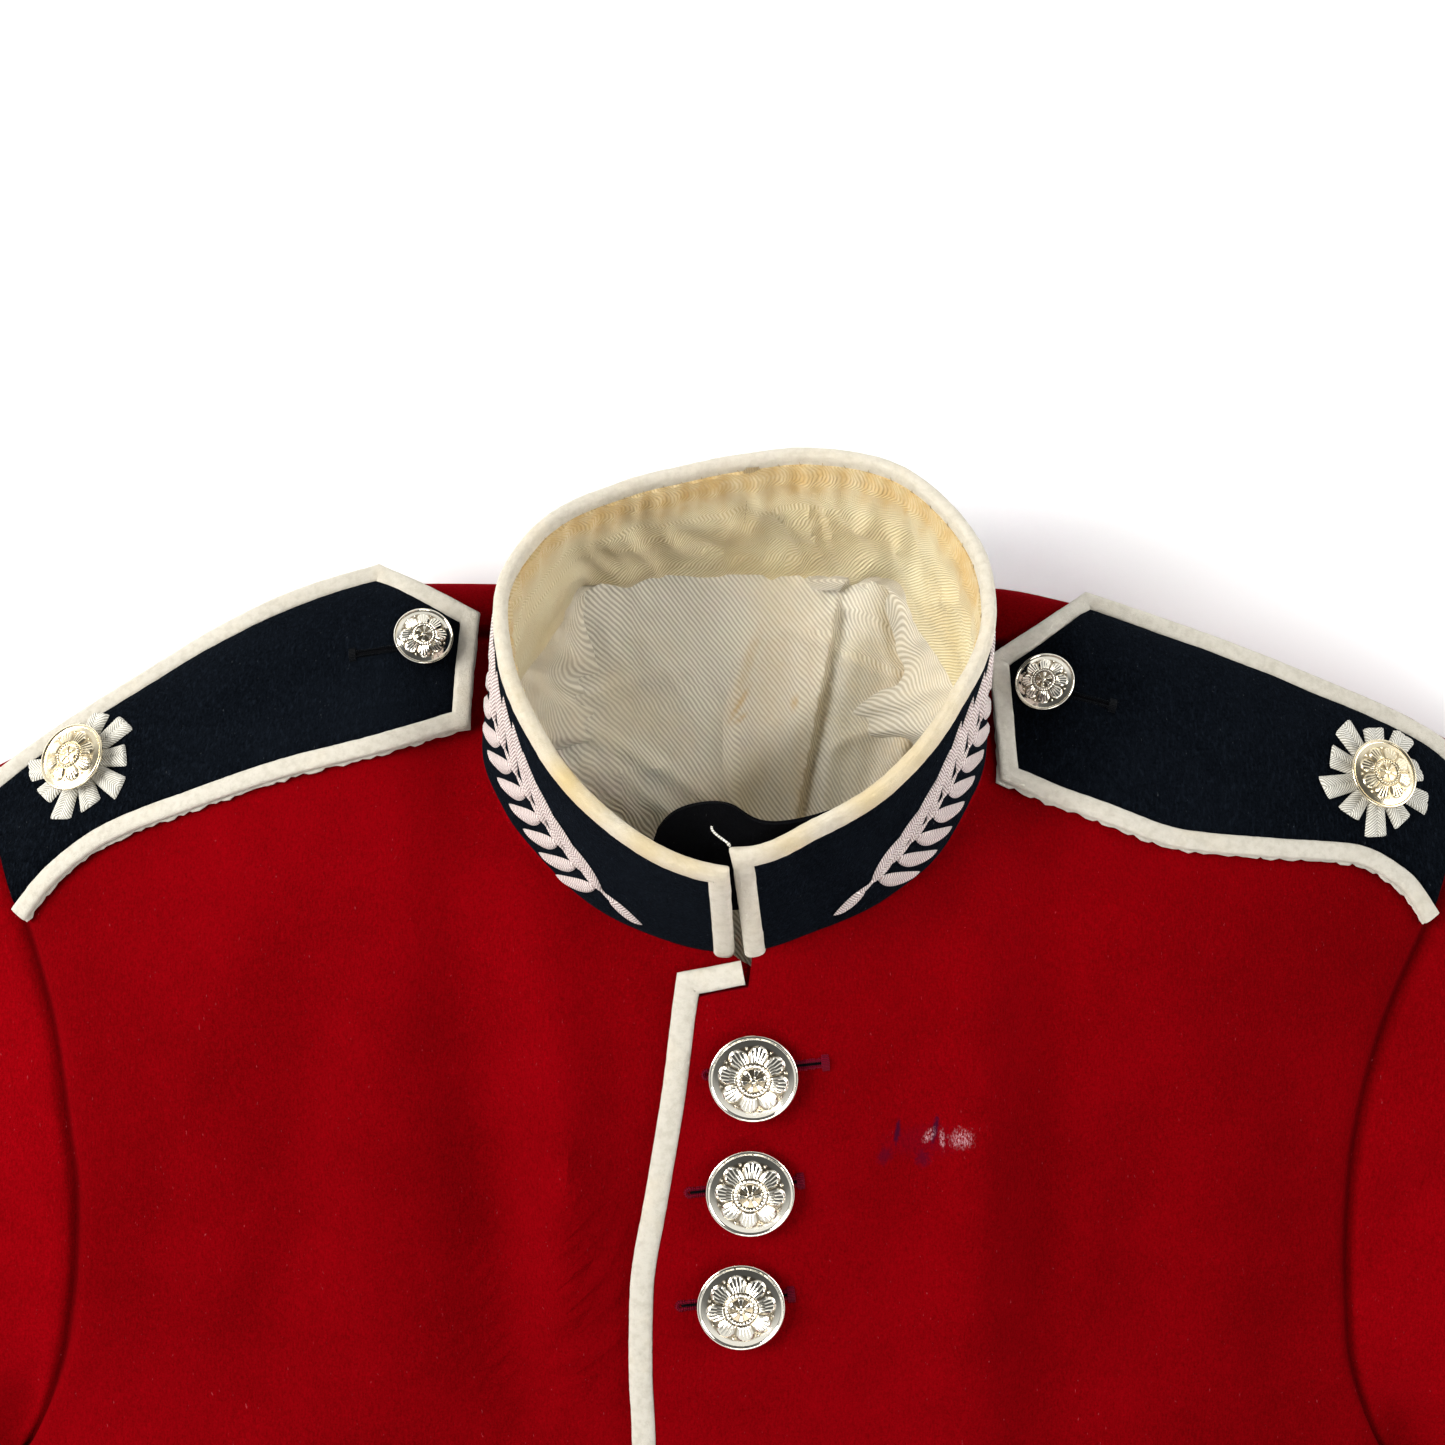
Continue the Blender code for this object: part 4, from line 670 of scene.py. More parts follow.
@dataclass(frozen=True)
class Melton(Finish):
    """Milled wool cloth with a short raised nap."""

    deep: Colour
    light: Colour
    fibre: Colour
    sheen: float
    tint: Colour
    nap: float = 1.0
    marks: tuple[WearMark, ...] = ()

    def worn(self, graph: Graph, colour: Socket) -> Socket:
        """Paints the worn places.

        Args:
            graph: The material's nodes.
            colour: Colour of the sound cloth.

        Returns:
            The colour with the worn places in it.
        """
        place = graph.place()
        ragged = graph.noise(place, 900, 4, 0.7)
        fine = graph.noise(graph.stretch(place, (1.0, 0.35, 1.0)), 2600, 3, 0.7)
        for mark in self.marks:
            centre = (np.array([mark.x, mark.y, 0.0]) + PLACE) * MM
            turn = -math.radians(mark.turn)
            size = np.array([1 / mark.long, 1 / mark.wide, 0.0]) * 1000
            centred = graph.node("VectorMath", {0: place, 1: tuple(centre)}, operation="SUBTRACT").outputs[0]
            spun = graph.node("VectorRotate", {"Vector": centred, "Angle": turn}, rotation_type="Z_AXIS").outputs[0]
            scaled = graph.node("VectorMath", {0: spun, 1: tuple(size)}, operation="MULTIPLY").outputs[0]
            away = graph.node("VectorMath", {0: scaled}, operation="LENGTH").outputs["Value"]
            torn = graph.plus(away, graph.times(graph.plus(ragged, -0.5), 1.6))
            inside = graph.rise(torn, 1.15, 0.35, 0.0, mark.strength)
            if mark.pale:
                inside = graph.times(inside, graph.rise(fine, 0.42, 0.62))
                colour = graph.mix(inside, colour, (0.55, 0.30, 0.33))
            else:
                colour = graph.mix(inside, colour, (0.045, 0.002, 0.012))
        return colour

    def dress(self, graph: Graph) -> None:
        """Mottled colour, lint, painted shade in the seam grooves that the mesh marks, and a felted nap.

        Args:
            graph: The material's nodes.
        """
        place = graph.place()
        broad = graph.noise(place, 9, 3)
        cloudy = graph.noise(place, 70, 4, 0.6)
        nap = graph.noise(place, 1500, 4, 0.7)
        lie = graph.noise(graph.stretch(place, (1.0, 0.28, 1.0), 0.35), 1900, 3, 0.65)
        tone = graph.plus(graph.times(broad, 0.25), graph.times(cloudy, 0.10))
        tone = graph.plus(tone, graph.times(nap, 0.35))
        tone = graph.plus(tone, graph.times(lie, 0.30))
        colour = graph.mix(graph.rise(tone, 0.36, 0.66), self.deep, self.light)
        hairs = graph.noise(graph.stretch(place, (1.0, 0.22, 1.0), -0.5), 1100, 3, 0.7)
        hairs = graph.rise(hairs, 0.50, 0.70, 0, 0.16 * self.nap)
        colour = graph.mix(hairs, colour, tuple(v * 3.2 for v in self.light) if self.nap > 1 else self.light)
        # Painted shade: the cloth is darkened where the mesh marks its seam grooves.
        colour = graph.mix(graph.times(graph.mark(), 0.62), colour, tuple(v * 0.22 for v in self.deep))
        lint = graph.rise(graph.noise(graph.stretch(place, (1.0, 0.35, 1.0), 0.9), 1500, 2, 0.5), 0.72, 0.80, 0, 0.45)
        colour = graph.mix(lint, colour, self.fibre)
        if self.marks:
            colour = self.worn(graph, colour)
        relief = graph.plus(nap, graph.times(lie, 0.8))
        normal = graph.bump(relief, 0.00045, 0.55 * self.nap)
        normal = graph.bump(graph.noise(place, 160, 3), 0.0006, 0.25, normal)
        graph.wear(Base_Color=colour, Roughness=0.92, Normal=normal, Sheen_Weight=self.sheen, Sheen_Roughness=0.38,
                   Sheen_Tint=self.tint, Specular_IOR_Level=0.008)


@dataclass(frozen=True)
class Felt(Finish):
    """Thick felt for edging, with yellowing where the mesh marks it."""

    base: Colour
    shade: Colour
    soiled: Colour

    def dress(self, graph: Graph) -> None:
        """Matted fibres, faint grey-brown flecks, and soiling by the mark.

        Args:
            graph: The material's nodes.
        """
        place = graph.place()
        fibre = graph.noise(place, 950, 5, 0.8)
        clump = graph.noise(place, 420, 4, 0.65)
        cloud = graph.noise(place, 45, 4, 0.6)
        colour = graph.mix(graph.rise(clump, 0.30, 0.62), self.shade, self.base)
        fleck = graph.rise(graph.noise(graph.stretch(place, (1.0, 0.4, 1.0), 0.6), 760, 3, 0.6), 0.66, 0.76, 0, 0.35)
        colour = graph.mix(fleck, colour, (0.48, 0.42, 0.33))
        colour = graph.mix(graph.rise(cloud, 0.52, 0.75, 0, 0.32), colour, (0.70, 0.60, 0.44))
        patchy = graph.times(graph.mark(), graph.rise(cloud, 0.25, 0.6, 0.45, 1.0))
        colour = graph.mix(patchy, colour, self.soiled)
        normal = graph.bump(fibre, 0.0007, 0.75)
        normal = graph.bump(clump, 0.0005, 0.3, normal)
        graph.wear(Base_Color=colour, Roughness=0.95, Normal=normal, Sheen_Weight=0.18, Sheen_Roughness=0.5,
                   Specular_IOR_Level=0.15)


@dataclass(frozen=True)
class Twill(Finish):
    """Silky lining woven in slanting ridges, darkened to yellow-brown where the mesh marks it, for real soiling and
    for painted shade.
    """

    base: Colour
    groove: Colour
    stained: Colour
    pitch: float
    slant: float
    thread: float = 0.42

    def dress(self, graph: Graph) -> None:
        """Slanting ridges with threads across them, clouds of yellow, and a low gloss.

        Args:
            graph: The material's nodes.
        """
        flat = graph.flat()
        wavy = graph.noise(flat, 60, 2)
        turned = graph.stretch(flat, (1.0, 1.0, 1.0), math.radians(self.slant))
        axes = graph.node("SeparateXYZ", {0: turned})
        ridge = graph.ridges(axes.outputs[0], self.pitch, wavy, 5.0, 0.9)
        twist = graph.ridges(axes.outputs[1], self.thread, wavy, 0.0, 1.0)
        place = graph.place()
        cloud = graph.noise(place, 22, 4, 0.6)
        fine = graph.noise(place, 300, 3)
        colour = graph.mix(ridge, self.groove, self.base)
        colour = graph.mix(graph.rise(cloud, 0.46, 0.72, 0, 0.5), colour, self.stained)
        # The mark paints yellow-brown for real soiling and for painted shade in hollows.
        colour = graph.mix(graph.times(graph.mark(), graph.rise(fine, 0.2, 0.7, 0.55, 1.0)), colour,
                           (0.56, 0.37, 0.14))
        relief = graph.plus(ridge, graph.times(twist, 0.25))
        normal = graph.bump(relief, 0.00022, 0.8)
        normal = graph.bump(graph.noise(place, 130, 4, 0.6), 0.0012, 0.35, normal)
        graph.wear(Base_Color=colour, Roughness=graph.rise(ridge, 0, 1, 0.62, 0.42), Normal=normal,
                   Sheen_Weight=0.12, Sheen_Roughness=0.35, Specular_IOR_Level=0.45)


@dataclass(frozen=True)
class Thread(Finish):
    """Satin stitches that run across each stitched form."""

    base: Colour
    groove: Colour
    pitch: float = 0.85
    gloss: float = 0.35

    def dress(self, graph: Graph) -> None:
        """Fine parallel threads in relief.

        Args:
            graph: The material's nodes.
        """
        flat = graph.flat()
        axes = graph.node("SeparateXYZ", {0: flat})
        wavy = graph.noise(flat, 500, 2)
        ridge = graph.ridges(axes.outputs[1], self.pitch, wavy, 4.0, 0.8)
        cloud = graph.noise(graph.place(), 260, 3)
        colour = graph.mix(ridge, self.groove, self.base)
        colour = graph.mix(graph.rise(cloud, 0.45, 0.75, 0, 0.25), colour, self.groove)
        graph.wear(Base_Color=colour, Roughness=0.6, Normal=graph.bump(ridge, 0.0003, 0.9),
                   Sheen_Weight=self.gloss * 0.6, Sheen_Roughness=0.4, Specular_IOR_Level=self.gloss)


@dataclass(frozen=True)
class Polish(Finish):
    """Polished metal, dull and darker in the hollows of its relief."""

    base: Colour
    hollow: Colour
    satin: float = 0.0

    def dress(self, graph: Graph) -> None:
        """Bright faces, tarnish in the hollows by the mark, and fine handling marks.

        Args:
            graph: The material's nodes.
        """
        place = graph.place()
        smear = graph.noise(place, 380, 3)
        colour = graph.mix(graph.mark(), self.base, self.hollow)
        scuff = graph.noise(graph.stretch(place, (1.0, 0.2, 1.0), 0.5), 2600, 2)
        rough = graph.plus(graph.rise(smear, 0.3, 0.8, 0.06, 0.14), graph.times(graph.mark(), 0.14))
        rough = graph.plus(rough, self.satin)
        graph.wear(Base_Color=colour, Metallic=1.0, Roughness=rough, Normal=graph.bump(scuff, 0.00003, 0.3))


@dataclass(frozen=True)
class Tabletop(Finish):
    """Smooth pale board."""

    base: Colour

    def dress(self, graph: Graph) -> None:
        """A faint mottle."""
        cloud = graph.noise(graph.place(), 4, 2)
        graph.wear(Base_Color=graph.mix(cloud, self.base, tuple(v * 0.985 for v in self.base)), Roughness=0.8)


WEAR = (
    WearMark(44.9, -117.0, 84, 4.4, 0.9, 1.0, False),
    WearMark(41.3, -123.9, 70, 3.0, 2.4, 0.5, False),
    WearMark(55.6, -116.0, 80, 5.2, 1.0, 1.0, False),
    WearMark(52.2, -124.7, 88, 2.8, 2.6, 0.55, False),
    WearMark(54.0, -117.8, 55, 2.8, 1.4, 0.8, True),
    WearMark(57.6, -118.6, 95, 3.0, 0.9, 0.8, True),
    WearMark(63.0, -118.2, 15, 3.7, 3.2, 0.75, True),
    WearMark(52.5, -119.5, 5, 13.0, 5.5, 0.2, False),
)
SCARLET = Melton("scarlet_melton", (0.098, 0.0001, 0.0008), (0.196, 0.0002, 0.0022), (0.42, 0.06, 0.07), 0.16,
                 (1.0, 0.01, 0.035))
# A lighter copy of the scarlet cloth for the sleeves: painted light, for the brighter light that falls on them.
SCARLET_SLEEVE_PAINTED_LIGHT = Melton("scarlet_melton_sleeve", (0.122, 0.0001, 0.0010), (0.245, 0.0003, 0.0028), SCARLET.fibre,
                        0.18, SCARLET.tint)
SCARLET_WORN = Melton("scarlet_melton_worn", SCARLET.deep, SCARLET.light, SCARLET.fibre, SCARLET.sheen, SCARLET.tint,
                      1.0, WEAR)
NAVY = Melton("navy_melton", (0.0002, 0.0004, 0.0008), (0.0040, 0.0056, 0.0084), (0.10, 0.11, 0.12), 0.022,
              (0.45, 0.6, 0.8), 1.8)
BLACK = Melton("black_felt_nap", (0.0012, 0.0013, 0.0015), (0.004, 0.0042, 0.005), (0.06, 0.06, 0.06), 0.03,
               (0.5, 0.5, 0.6))
FELT = Felt("white_felt_edging", (0.58, 0.548, 0.475), (0.49, 0.458, 0.385), (0.52, 0.40, 0.20))
BACK_TWILL = Twill("cream_twill_lining", (0.79, 0.76, 0.66), (0.50, 0.465, 0.38), (0.70, 0.61, 0.42), 1.25, 38.0)
COLLAR_TWILL = Twill("collar_twill_lining", (0.78, 0.71, 0.49), (0.55, 0.47, 0.28), (0.66, 0.52, 0.24), 0.95, -50.0)
WHITE_THREAD = Thread("white_satin_thread", (0.72, 0.62, 0.59), (0.30, 0.23, 0.21))
STAR_THREAD = Thread("ivory_satin_thread", (0.80, 0.78, 0.70), (0.36, 0.34, 0.28))
CRIMSON_THREAD = Thread("crimson_buttonhole_thread", (0.20, 0.0012, 0.016), (0.08, 0.0005, 0.007), 0.5, 0.05)
NAVY_THREAD = Thread("navy_buttonhole_thread", (0.0035, 0.0045, 0.006), (0.001, 0.0012, 0.002), 0.5, 0.04)
TAN_THREAD = Thread("tan_lining_thread", (0.52, 0.40, 0.22), (0.30, 0.21, 0.10), 0.5)
GOLD = Polish("satin_gilt_metal", (0.90, 0.79, 0.56), (0.48, 0.38, 0.22), 0.12)
METAL = Polish("polished_button_metal", (0.95, 0.90, 0.77), (0.30, 0.24, 0.15))


# The neck ring


@dataclass(frozen=True)
class Neck:
    """Neck seam and top edge of the collar, by degrees round from the front."""

    seam_y: float = -7.4
    seam_z: float = 37.0
    seam_slope: float = 0.62
    side_raise: float = 13.0
    side_reach: float = 75.0
    seam_angle: Row = (-8, 0, 20, 45, 60, 75, 90, 105, 120, 133, 148, 164, 180, 196, 212, 227, 240, 255,
                                     270, 285, 300, 315, 340, 360)
    seam_radius: Row = (57, 57, 55.5, 59.5, 64, 68, 71.5, 72, 71.5, 73, 65, 59, 57, 59, 65, 73.5, 72,
                                      74.5, 74.5, 70, 65, 61.4, 57.8, 57.4)
    top_y: float = 20.5
    top_z: float = 75.5
    top_slope: float = 0.58
    top_angle: Row = (-8, 0, 25, 50, 75, 100, 115, 135, 160, 180, 195, 215, 240, 252, 270, 295, 320,
                                    345, 360)
    top_radius: Row = (54.5, 54.5, 51, 53.2, 59, 70.8, 74, 72.5, 64.5, 58.5, 57.1, 60, 68.2, 69.5, 65,
                                     59.1, 57.4, 59, 60)

    def seam(self, angle: Number) -> Array:
        """Middle of the cloth at the neck seam.

        Args:
            angle: Angle round the neck in degrees, 0 at the front.

        Returns:
            One point for each.
        """
        angle = np.asarray(angle, float)
        radius = follow(self.seam_angle, self.seam_radius, angle)
        turn = np.radians(angle)
        x, y = radius * np.sin(turn), self.seam_y - radius * np.cos(turn)
        raised = self.side_raise * (x / self.side_reach) ** 2 * (1 - ease(25, 50, y))
        z = self.seam_z - self.seam_slope * (y - self.seam_y) + raised
        z = z + np.where(angle < 90, lap(x), 0)
        return np.stack(np.broadcast_arrays(x, y, z), axis=-1)

    def top(self, angle: Number) -> Array:
        """Middle of the collar's top edge.

        Args:
            angle: Angle round the neck in degrees, 0 at the front.

        Returns:
            One point for each.
        """
        angle = np.asarray(angle, float)
        radius = follow(self.top_angle, self.top_radius, angle)
        turn = np.radians(angle)
        x, y = radius * np.sin(turn), self.top_y - radius * np.cos(turn)
        z = self.top_z - self.top_slope * (y - self.top_y) + self.side_raise * (x / self.side_reach) ** 2
        return np.stack(np.broadcast_arrays(x, y, z), axis=-1)

    def point(self, angle: Array, height: Array) -> Array:
        """Middle of the collar's wall, where height runs from 0 at the seam to 1 at the top."""
        height = np.asarray(height, float)[..., None]
        return self.seam(angle) * (1 - height) + self.top(angle) * height

    def normal(self, angle: Array, height: Array) -> Array:
        """Outward direction of the collar's wall.

        Args:
            angle: Angle round the neck in degrees, 0 at the front.
            height: Share of the wall's height.

        Returns:
            One direction for each.
        """
        low, high = np.maximum(np.asarray(angle, float) - 1, 0), np.minimum(np.asarray(angle, float) + 1, 360)
        round_it = self.point(high, height) - self.point(low, height)
        return unit(np.cross(round_it, self.top(angle) - self.seam(angle)))

    def length(self, angle: Number) -> Array:
        """Width of the collar from its seam to its top edge."""
        return np.linalg.norm(self.top(angle) - self.seam(angle), axis=-1)


NECK = Neck()


# Body, skirts and sleeves


@dataclass
class Panel:
    """One cut piece of cloth: a grid on its outer face, and how its edges are finished.

    Attributes:
        name: Name of the piece and of the CAD node that it stands for.
        grid: Points on the outer face, by row and column.
        outward: 1 or -1, the sign that turns the grid's own normals outward.
        sewn: Edges that are sewn to a neighbour and roll into the seam.
        neck: Degrees round the neck by row, where the first column is sewn to the collar.
        finish: What it is made of.
    """

    name: str
    grid: Array
    outward: int
    sewn: frozenset[Edge]
    neck: dict[int, float] = field(default_factory=dict)
    finish: Finish = SCARLET

    def __post_init__(self) -> None:
        """Sets the directions through the cloth."""
        self.normals = grid_normals(self.grid) * self.outward
        self.thin: set[tuple[int, int]] = set()

    def rim(self) -> list[tuple[int, int]]:
        """Row and column of each point on the outline."""
        rows, columns = self.grid.shape[:2]
        return [(i, j) for i in range(rows) for j in range(columns) if i in (0, rows - 1) or j in (0, columns - 1)]

    def roll(self) -> Array:
        """How far each outer point is drawn down towards the seams beside it.

        Returns:
            One distance a point.
        """
        rows, columns = self.grid.shape[:2]
        sink = np.zeros((rows, columns))
        steps = {
            Edge.TOP: np.linalg.norm(self.grid - self.grid[:1], axis=2),
            Edge.BOTTOM: np.linalg.norm(self.grid - self.grid[-1:], axis=2),
            Edge.INNER: np.linalg.norm(self.grid - self.grid[:, :1], axis=2),
            Edge.OUTER: np.linalg.norm(self.grid - self.grid[:, -1:], axis=2),
        }
        for edge, away in steps.items():
            if edge in self.sewn:
                sink = np.maximum(sink, 1.7 * hump(away, 0, 2.2))
                sink = sink - 0.55 * hump(away, 6.5, 3.6) * (sink < 0.3)
        return sink

    def layers(self) -> tuple[Array, Array]:
        """Outer and inner points of the cloth.

        Returns:
            The outer points and the inner points.
        """
        outer = self.grid - self.normals * self.roll()[:, :, None]
        inner = self.grid - self.normals * CLOTH
        for i, j in self.thin:
            inner[i, j] = self.grid[i, j] - self.normals[i, j] * CLOTH * 0.6
        for i, angle in self.neck.items():
            behind = min(angle, 360 - angle)
            aside = float(hump(behind, 112, 38))
            lead = unit(self.grid[i, 1] - self.grid[i, 0])
            seam = self.grid[i, 0] + lead * (0.3 + 2.2 * aside)
            outer[i, 0] = seam + self.normals[i, 0] * CLOTH / 2
            inner[i, 0] = seam - self.normals[i, 0] * CLOTH / 2
            for j, sink in enumerate((0.55, 0.25, 0.08), 1):
                outer[i, j] -= self.normals[i, j] * 0.25 * sink
            push = 3.6 * float(hump(behind, 137, 17))
            away = unit((self.grid[i, 0] - np.array([0.0, NECK.seam_y, 0.0])) * FLAT)
            reach = np.linalg.norm(self.grid[i] - self.grid[i, 0], axis=1)
            shift = away * (push * hump(reach, 0, 9.0))[:, None]
            outer[i] += shift
            inner[i] += shift
        return outer, inner

    def build(self) -> Piece:
        """Makes the piece.

        Returns:
            The dressed piece.
        """
        outer, inner = self.layers()
        soup = Soup()
        # The marks paint shade into the seam grooves, deeper where the cloth rolls further in.
        soup.shell(outer, inner, flip=self.outward < 0, marks=np.clip((self.roll() - 0.35) / 1.1, 0, 1))
        made = soup.piece(self.name, self.finish, (self.name,))
        return made


@dataclass(frozen=True)
class Fold:
    """A soft fold: its middle, direction in degrees, half length, half width and rise."""

    x: float
    y: float
    turn: float
    long: float
    wide: float
    rise: float

    def height(self, x: Array, y: Array) -> Array:
        """Rise of the fold at plan points.

        Args:
            x: X of the points.
            y: Y of the points.

        Returns:
            One height a point.
        """
        turn = math.radians(self.turn)
        dx, dy = x - self.x, y - self.y
        along = (dx * math.cos(turn) + dy * math.sin(turn)) / self.long
        across = (-dx * math.sin(turn) + dy * math.cos(turn)) / self.wide
        return self.rise * np.exp(-(along**2) - across**2)


@dataclass(frozen=True)
class Half:
    """Tables of one side of the body: front edge line, shoulder seam and crest, back edge and skirt."""

    outer: tuple[Row, Row, Row]
    line: tuple[Row, Row, Row]
    crest: tuple[Row, Row, Row]
    back: tuple[Row, Row]
    skirt: Row
    sleeve_shift: float


HALVES = {
    Side.RIGHT: Half(
        outer=((-232, -214, -203, -199, -196, -196.5, -200, -214, -238, -236, -229, -222),
               (-24, -57, -92, -117, -140, -158, -182, -216, -250, -292, -340, -390),
               (24, 43, 47, 48.5, 49, 48, 44, 31, 12, 9, 8, 8)),
        line=((-59.5, -77, -103, -137, -172, -207, -232), (27, 27, 21, 11, 0, -13, -24),
              (22, 31, 43, 43, 38, 31, 24)),
        crest=((-49, -74, -104, -137, -170, -207, -235), (42, 43, 42.5, 36.5, 21, 0, -16),
               (7, 15, 22, 20, 14, 10, 9)),
        back=((-230, -219, -204, -200, -210, -238, -236, -229, -222),
              (-24, -58, -108, -160, -205, -250, -292, -340, -390)),
        skirt=(-258, -246, -232, -222),
        sleeve_shift=0.0,
    ),
    Side.LEFT: Half(
        outer=((222, 204.5, 190, 183.5, 180, 179, 180.5, 194, 230, 230, 224, 217),
               (-30, -60, -90, -112, -134, -155, -182, -218, -254, -292, -340, -390),
               (33, 45, 49, 50, 50, 49.5, 47, 34, 12, 9, 8, 8)),
        line=((59.5, 76, 100, 133, 167, 200, 222), (27, 23, 15, 5, -7, -19, -30), (22, 31, 46, 48, 44, 38, 33)),
        crest=((49, 74, 102, 134, 167, 203, 229), (42, 42, 36.5, 27.5, 17, 4, -11), (7, 13, 24, 25, 21, 16, 13)),
        back=((222, 209, 190, 183, 194, 230, 230, 224, 217), (-22, -58, -108, -160, -208, -254, -292, -340, -390)),
        skirt=(252, 241, 227, 217),
        sleeve_shift=-6.0,
    ),
}


def roll_up(radius: float, away: Array) -> Array:
    """Height of cloth that leaves the table in a quarter circle and stands upright at its edge."""
    away = np.clip(np.asarray(away, float), 0, max(radius, 1e-6))
    return radius - np.sqrt(np.maximum(radius**2 - (radius - away) ** 2, 0.0))


def fold_rise(folds: tuple[Fold, ...], x: Array, y: Array) -> Array:
    """Rise of several folds together at plan points.

    Args:
        folds: The folds.
        x: X of the points.
        y: Y of the points.

    Returns:
        One height a point.
    """
    return sum(fold.height(x, y) for fold in folds)


def edge_spread(shares: Array, roll: float) -> Array:
    """Spreads a row's points so that the last ones follow a roll whose width is a share of the row.

    Args:
        shares: Place of each point along the row, from 0 to 1.
        roll: Width of the roll as a share of the row.

    Returns:
        The shares, moved.
    """
    bend = 0.7
    turned = 1 - roll * (1 - np.sin(np.clip((shares - bend) / (1 - bend), 0, 1) * math.pi / 2))
    return np.where(shares <= bend, shares / bend * (1 - roll), turned)


@dataclass
class Body:
    """Fronts, backs and skirts, cut from one set of curves."""

    chest_y: Row = (-690, -560, -450, -390, -320, -250, -200, -150, -100, -64, -30, 0, 30, 60)
    chest_z: Row = (15, 20, 24, 27, 37, 49, 56, 62, 68.5, 73.5, 69, 62, 53, 47)
    button_y: Row = (-690, -300, -167, -133, -100, -64)
    button_x: Row = (-5, -3, 0.3, 2.9, 3.7, 2)
    edge_y: Row = (-690, -390, -210, -185, -164, -137, -107, -75, -70.4)
    edge_x: Row = (-35, -33, -30.9, -31.8, -31.4, -27.2, -22.2, -18.1, -17.2)
    piping: float = 6.3
    underlap: float = 13.0
    level_half: float = 40.0
    tab_end: Pair = (0.2, -67.2)
    tab_corner: Pair = (-16.8, -70.4)
    waist_y: float = -390.0
    hem_y: float = -690.0
    under_in: float = 13.0
    side_z: float = 8.0
    neck_angle: Row = (120, 100, 75, 45, 20, 3.6)
    inner_row: Row = (5.3, 6, 7, 8, 9, 10, 11)
    inner_y: Row = (-77, -104, -150, -208, -285, -338, -390)
    columns: Row = (0, 0.11, 0.22, 0.33, 0.44, 0.55, 0.65, 0.74, 0.82, 0.9, 1)
    front_rows: Row = (0, 0.3, 0.65, 1, 1.45, 1.9, 2.4, 3, 3.6, 4.3, 5, 5.15, 5.3, 5.75, 6.2, 6.7, 7.2,
                                     7.6, 8, 8.6, 9.3, 10.1, 11)
    back_rows: Row = (0, 0.35, 0.7, 1, 1.3, 1.65, 2, 2.5, 3, 3.7, 4.5, 5.2, 6, 6.6, 7.2, 7.6, 8, 8.6,
                                    9.3, 10.1, 11)
    round_row: Row = (0, 6, 7, 8, 11)
    round_share: Row = (0, 0, 0.35, 1, 1)
    shoulder_u: Row = (0, 0.1, 0.25, 0.45, 0.65, 0.85, 1)
    back_neck_angle: Row = (120, 134, 153, 180)
    back_row: Row = (2, 3, 4.5, 6, 7, 8, 9, 10, 11)
    centre_row: Row = (3, 4.5, 6, 7, 8, 9, 10, 11)
    centre_y: Row = (49, -10, -80, -140, -208, -285, -338, -390)
    skirt_y: Row = (-690, -560, -450, -390)
    folds: tuple[Fold, ...] = (
        Fold(158, -205, 84, 95, 20, -3.0), Fold(128, -250, 80, 100, 22, 2.0), Fold(86, -62, 78, 40, 13, -2.4),
        Fold(-92, -55, 105, 40, 15, -1.6), Fold(-165, -235, 96, 80, 22, -2.6), Fold(-120, -290, 100, 90, 26, 2.2),
        Fold(60, -330, 86, 70, 24, -1.8), Fold(-75, -360, 95, 60, 24, -1.6), Fold(150, -560, 82, 120, 30, 2.2),
        Fold(-150, -560, 98, 120, 30, 2.2), Fold(-70, -150, 96, 90, 11, -6.5), Fold(-48, -132, 96, 80, 10, 6.4),
        Fold(68, -125, 91, 95, 9, 5.6), Fold(88, -125, 91, 95, 9, -6.2),
        Fold(-106, -112, 52, 46, 8, -2.6), Fold(-118, -126, 52, 46, 8, 2.6), Fold(-104, -96, 80, 64, 15, 4.4),
        Fold(-130, -150, 76, 76, 17, -5.0), Fold(118, -150, 104, 80, 16, -4.6), Fold(-76, -184, 94, 76, 17, -4.2),
        Fold(142, -112, 118, 46, 13, 2.8), Fold(-158, -96, 60, 42, 13, 2.4), Fold(62, -190, 88, 72, 15, 3.2),
        Fold(-170, -132, 84, 46, 11, -2.2), Fold(104, -206, 80, 60, 13, -2.6), Fold(-48, -170, 86, 60, 12, 2.4),
    )
    panels: dict[str, Panel] = field(default_factory=dict)

    def __post_init__(self) -> None:
        """Sets the finer rows and columns, with extra ones beside the seams."""
        near = (0.004, 0.009, 0.017)
        fine = set(refine(list(self.columns), 4)) | set(near) | {round(1 - v, 6) for v in near}
        self.shares = np.array(sorted(fine))
        near = (0.03, 0.07, 0.12)
        self.front_at = sorted(set(refine(list(self.front_rows), 3)) | set(near) | {round(11 - v, 6) for v in near})
        self.back_at = sorted(set(refine(list(self.back_rows), 3)) | set(near) | {round(11 - v, 6) for v in near})
        self.down_at = np.array(sorted(set(np.round(np.linspace(0, 1, 25), 6)) | {0.004, 0.009, 0.017}))

    def chest(self, y: Number) -> Array:
        """Height of the fronts along the button line."""
        return follow(self.chest_y, self.chest_z, y)

    def buttons(self, y: Number) -> Array:
        """X of the button line."""
        return follow(self.button_y, self.button_x, y)

    def edge(self, y: Number) -> Array:
        """X of the left front's own edge, beside its white edging."""
        return follow(self.edge_y, self.edge_x, y) + self.piping + GAP

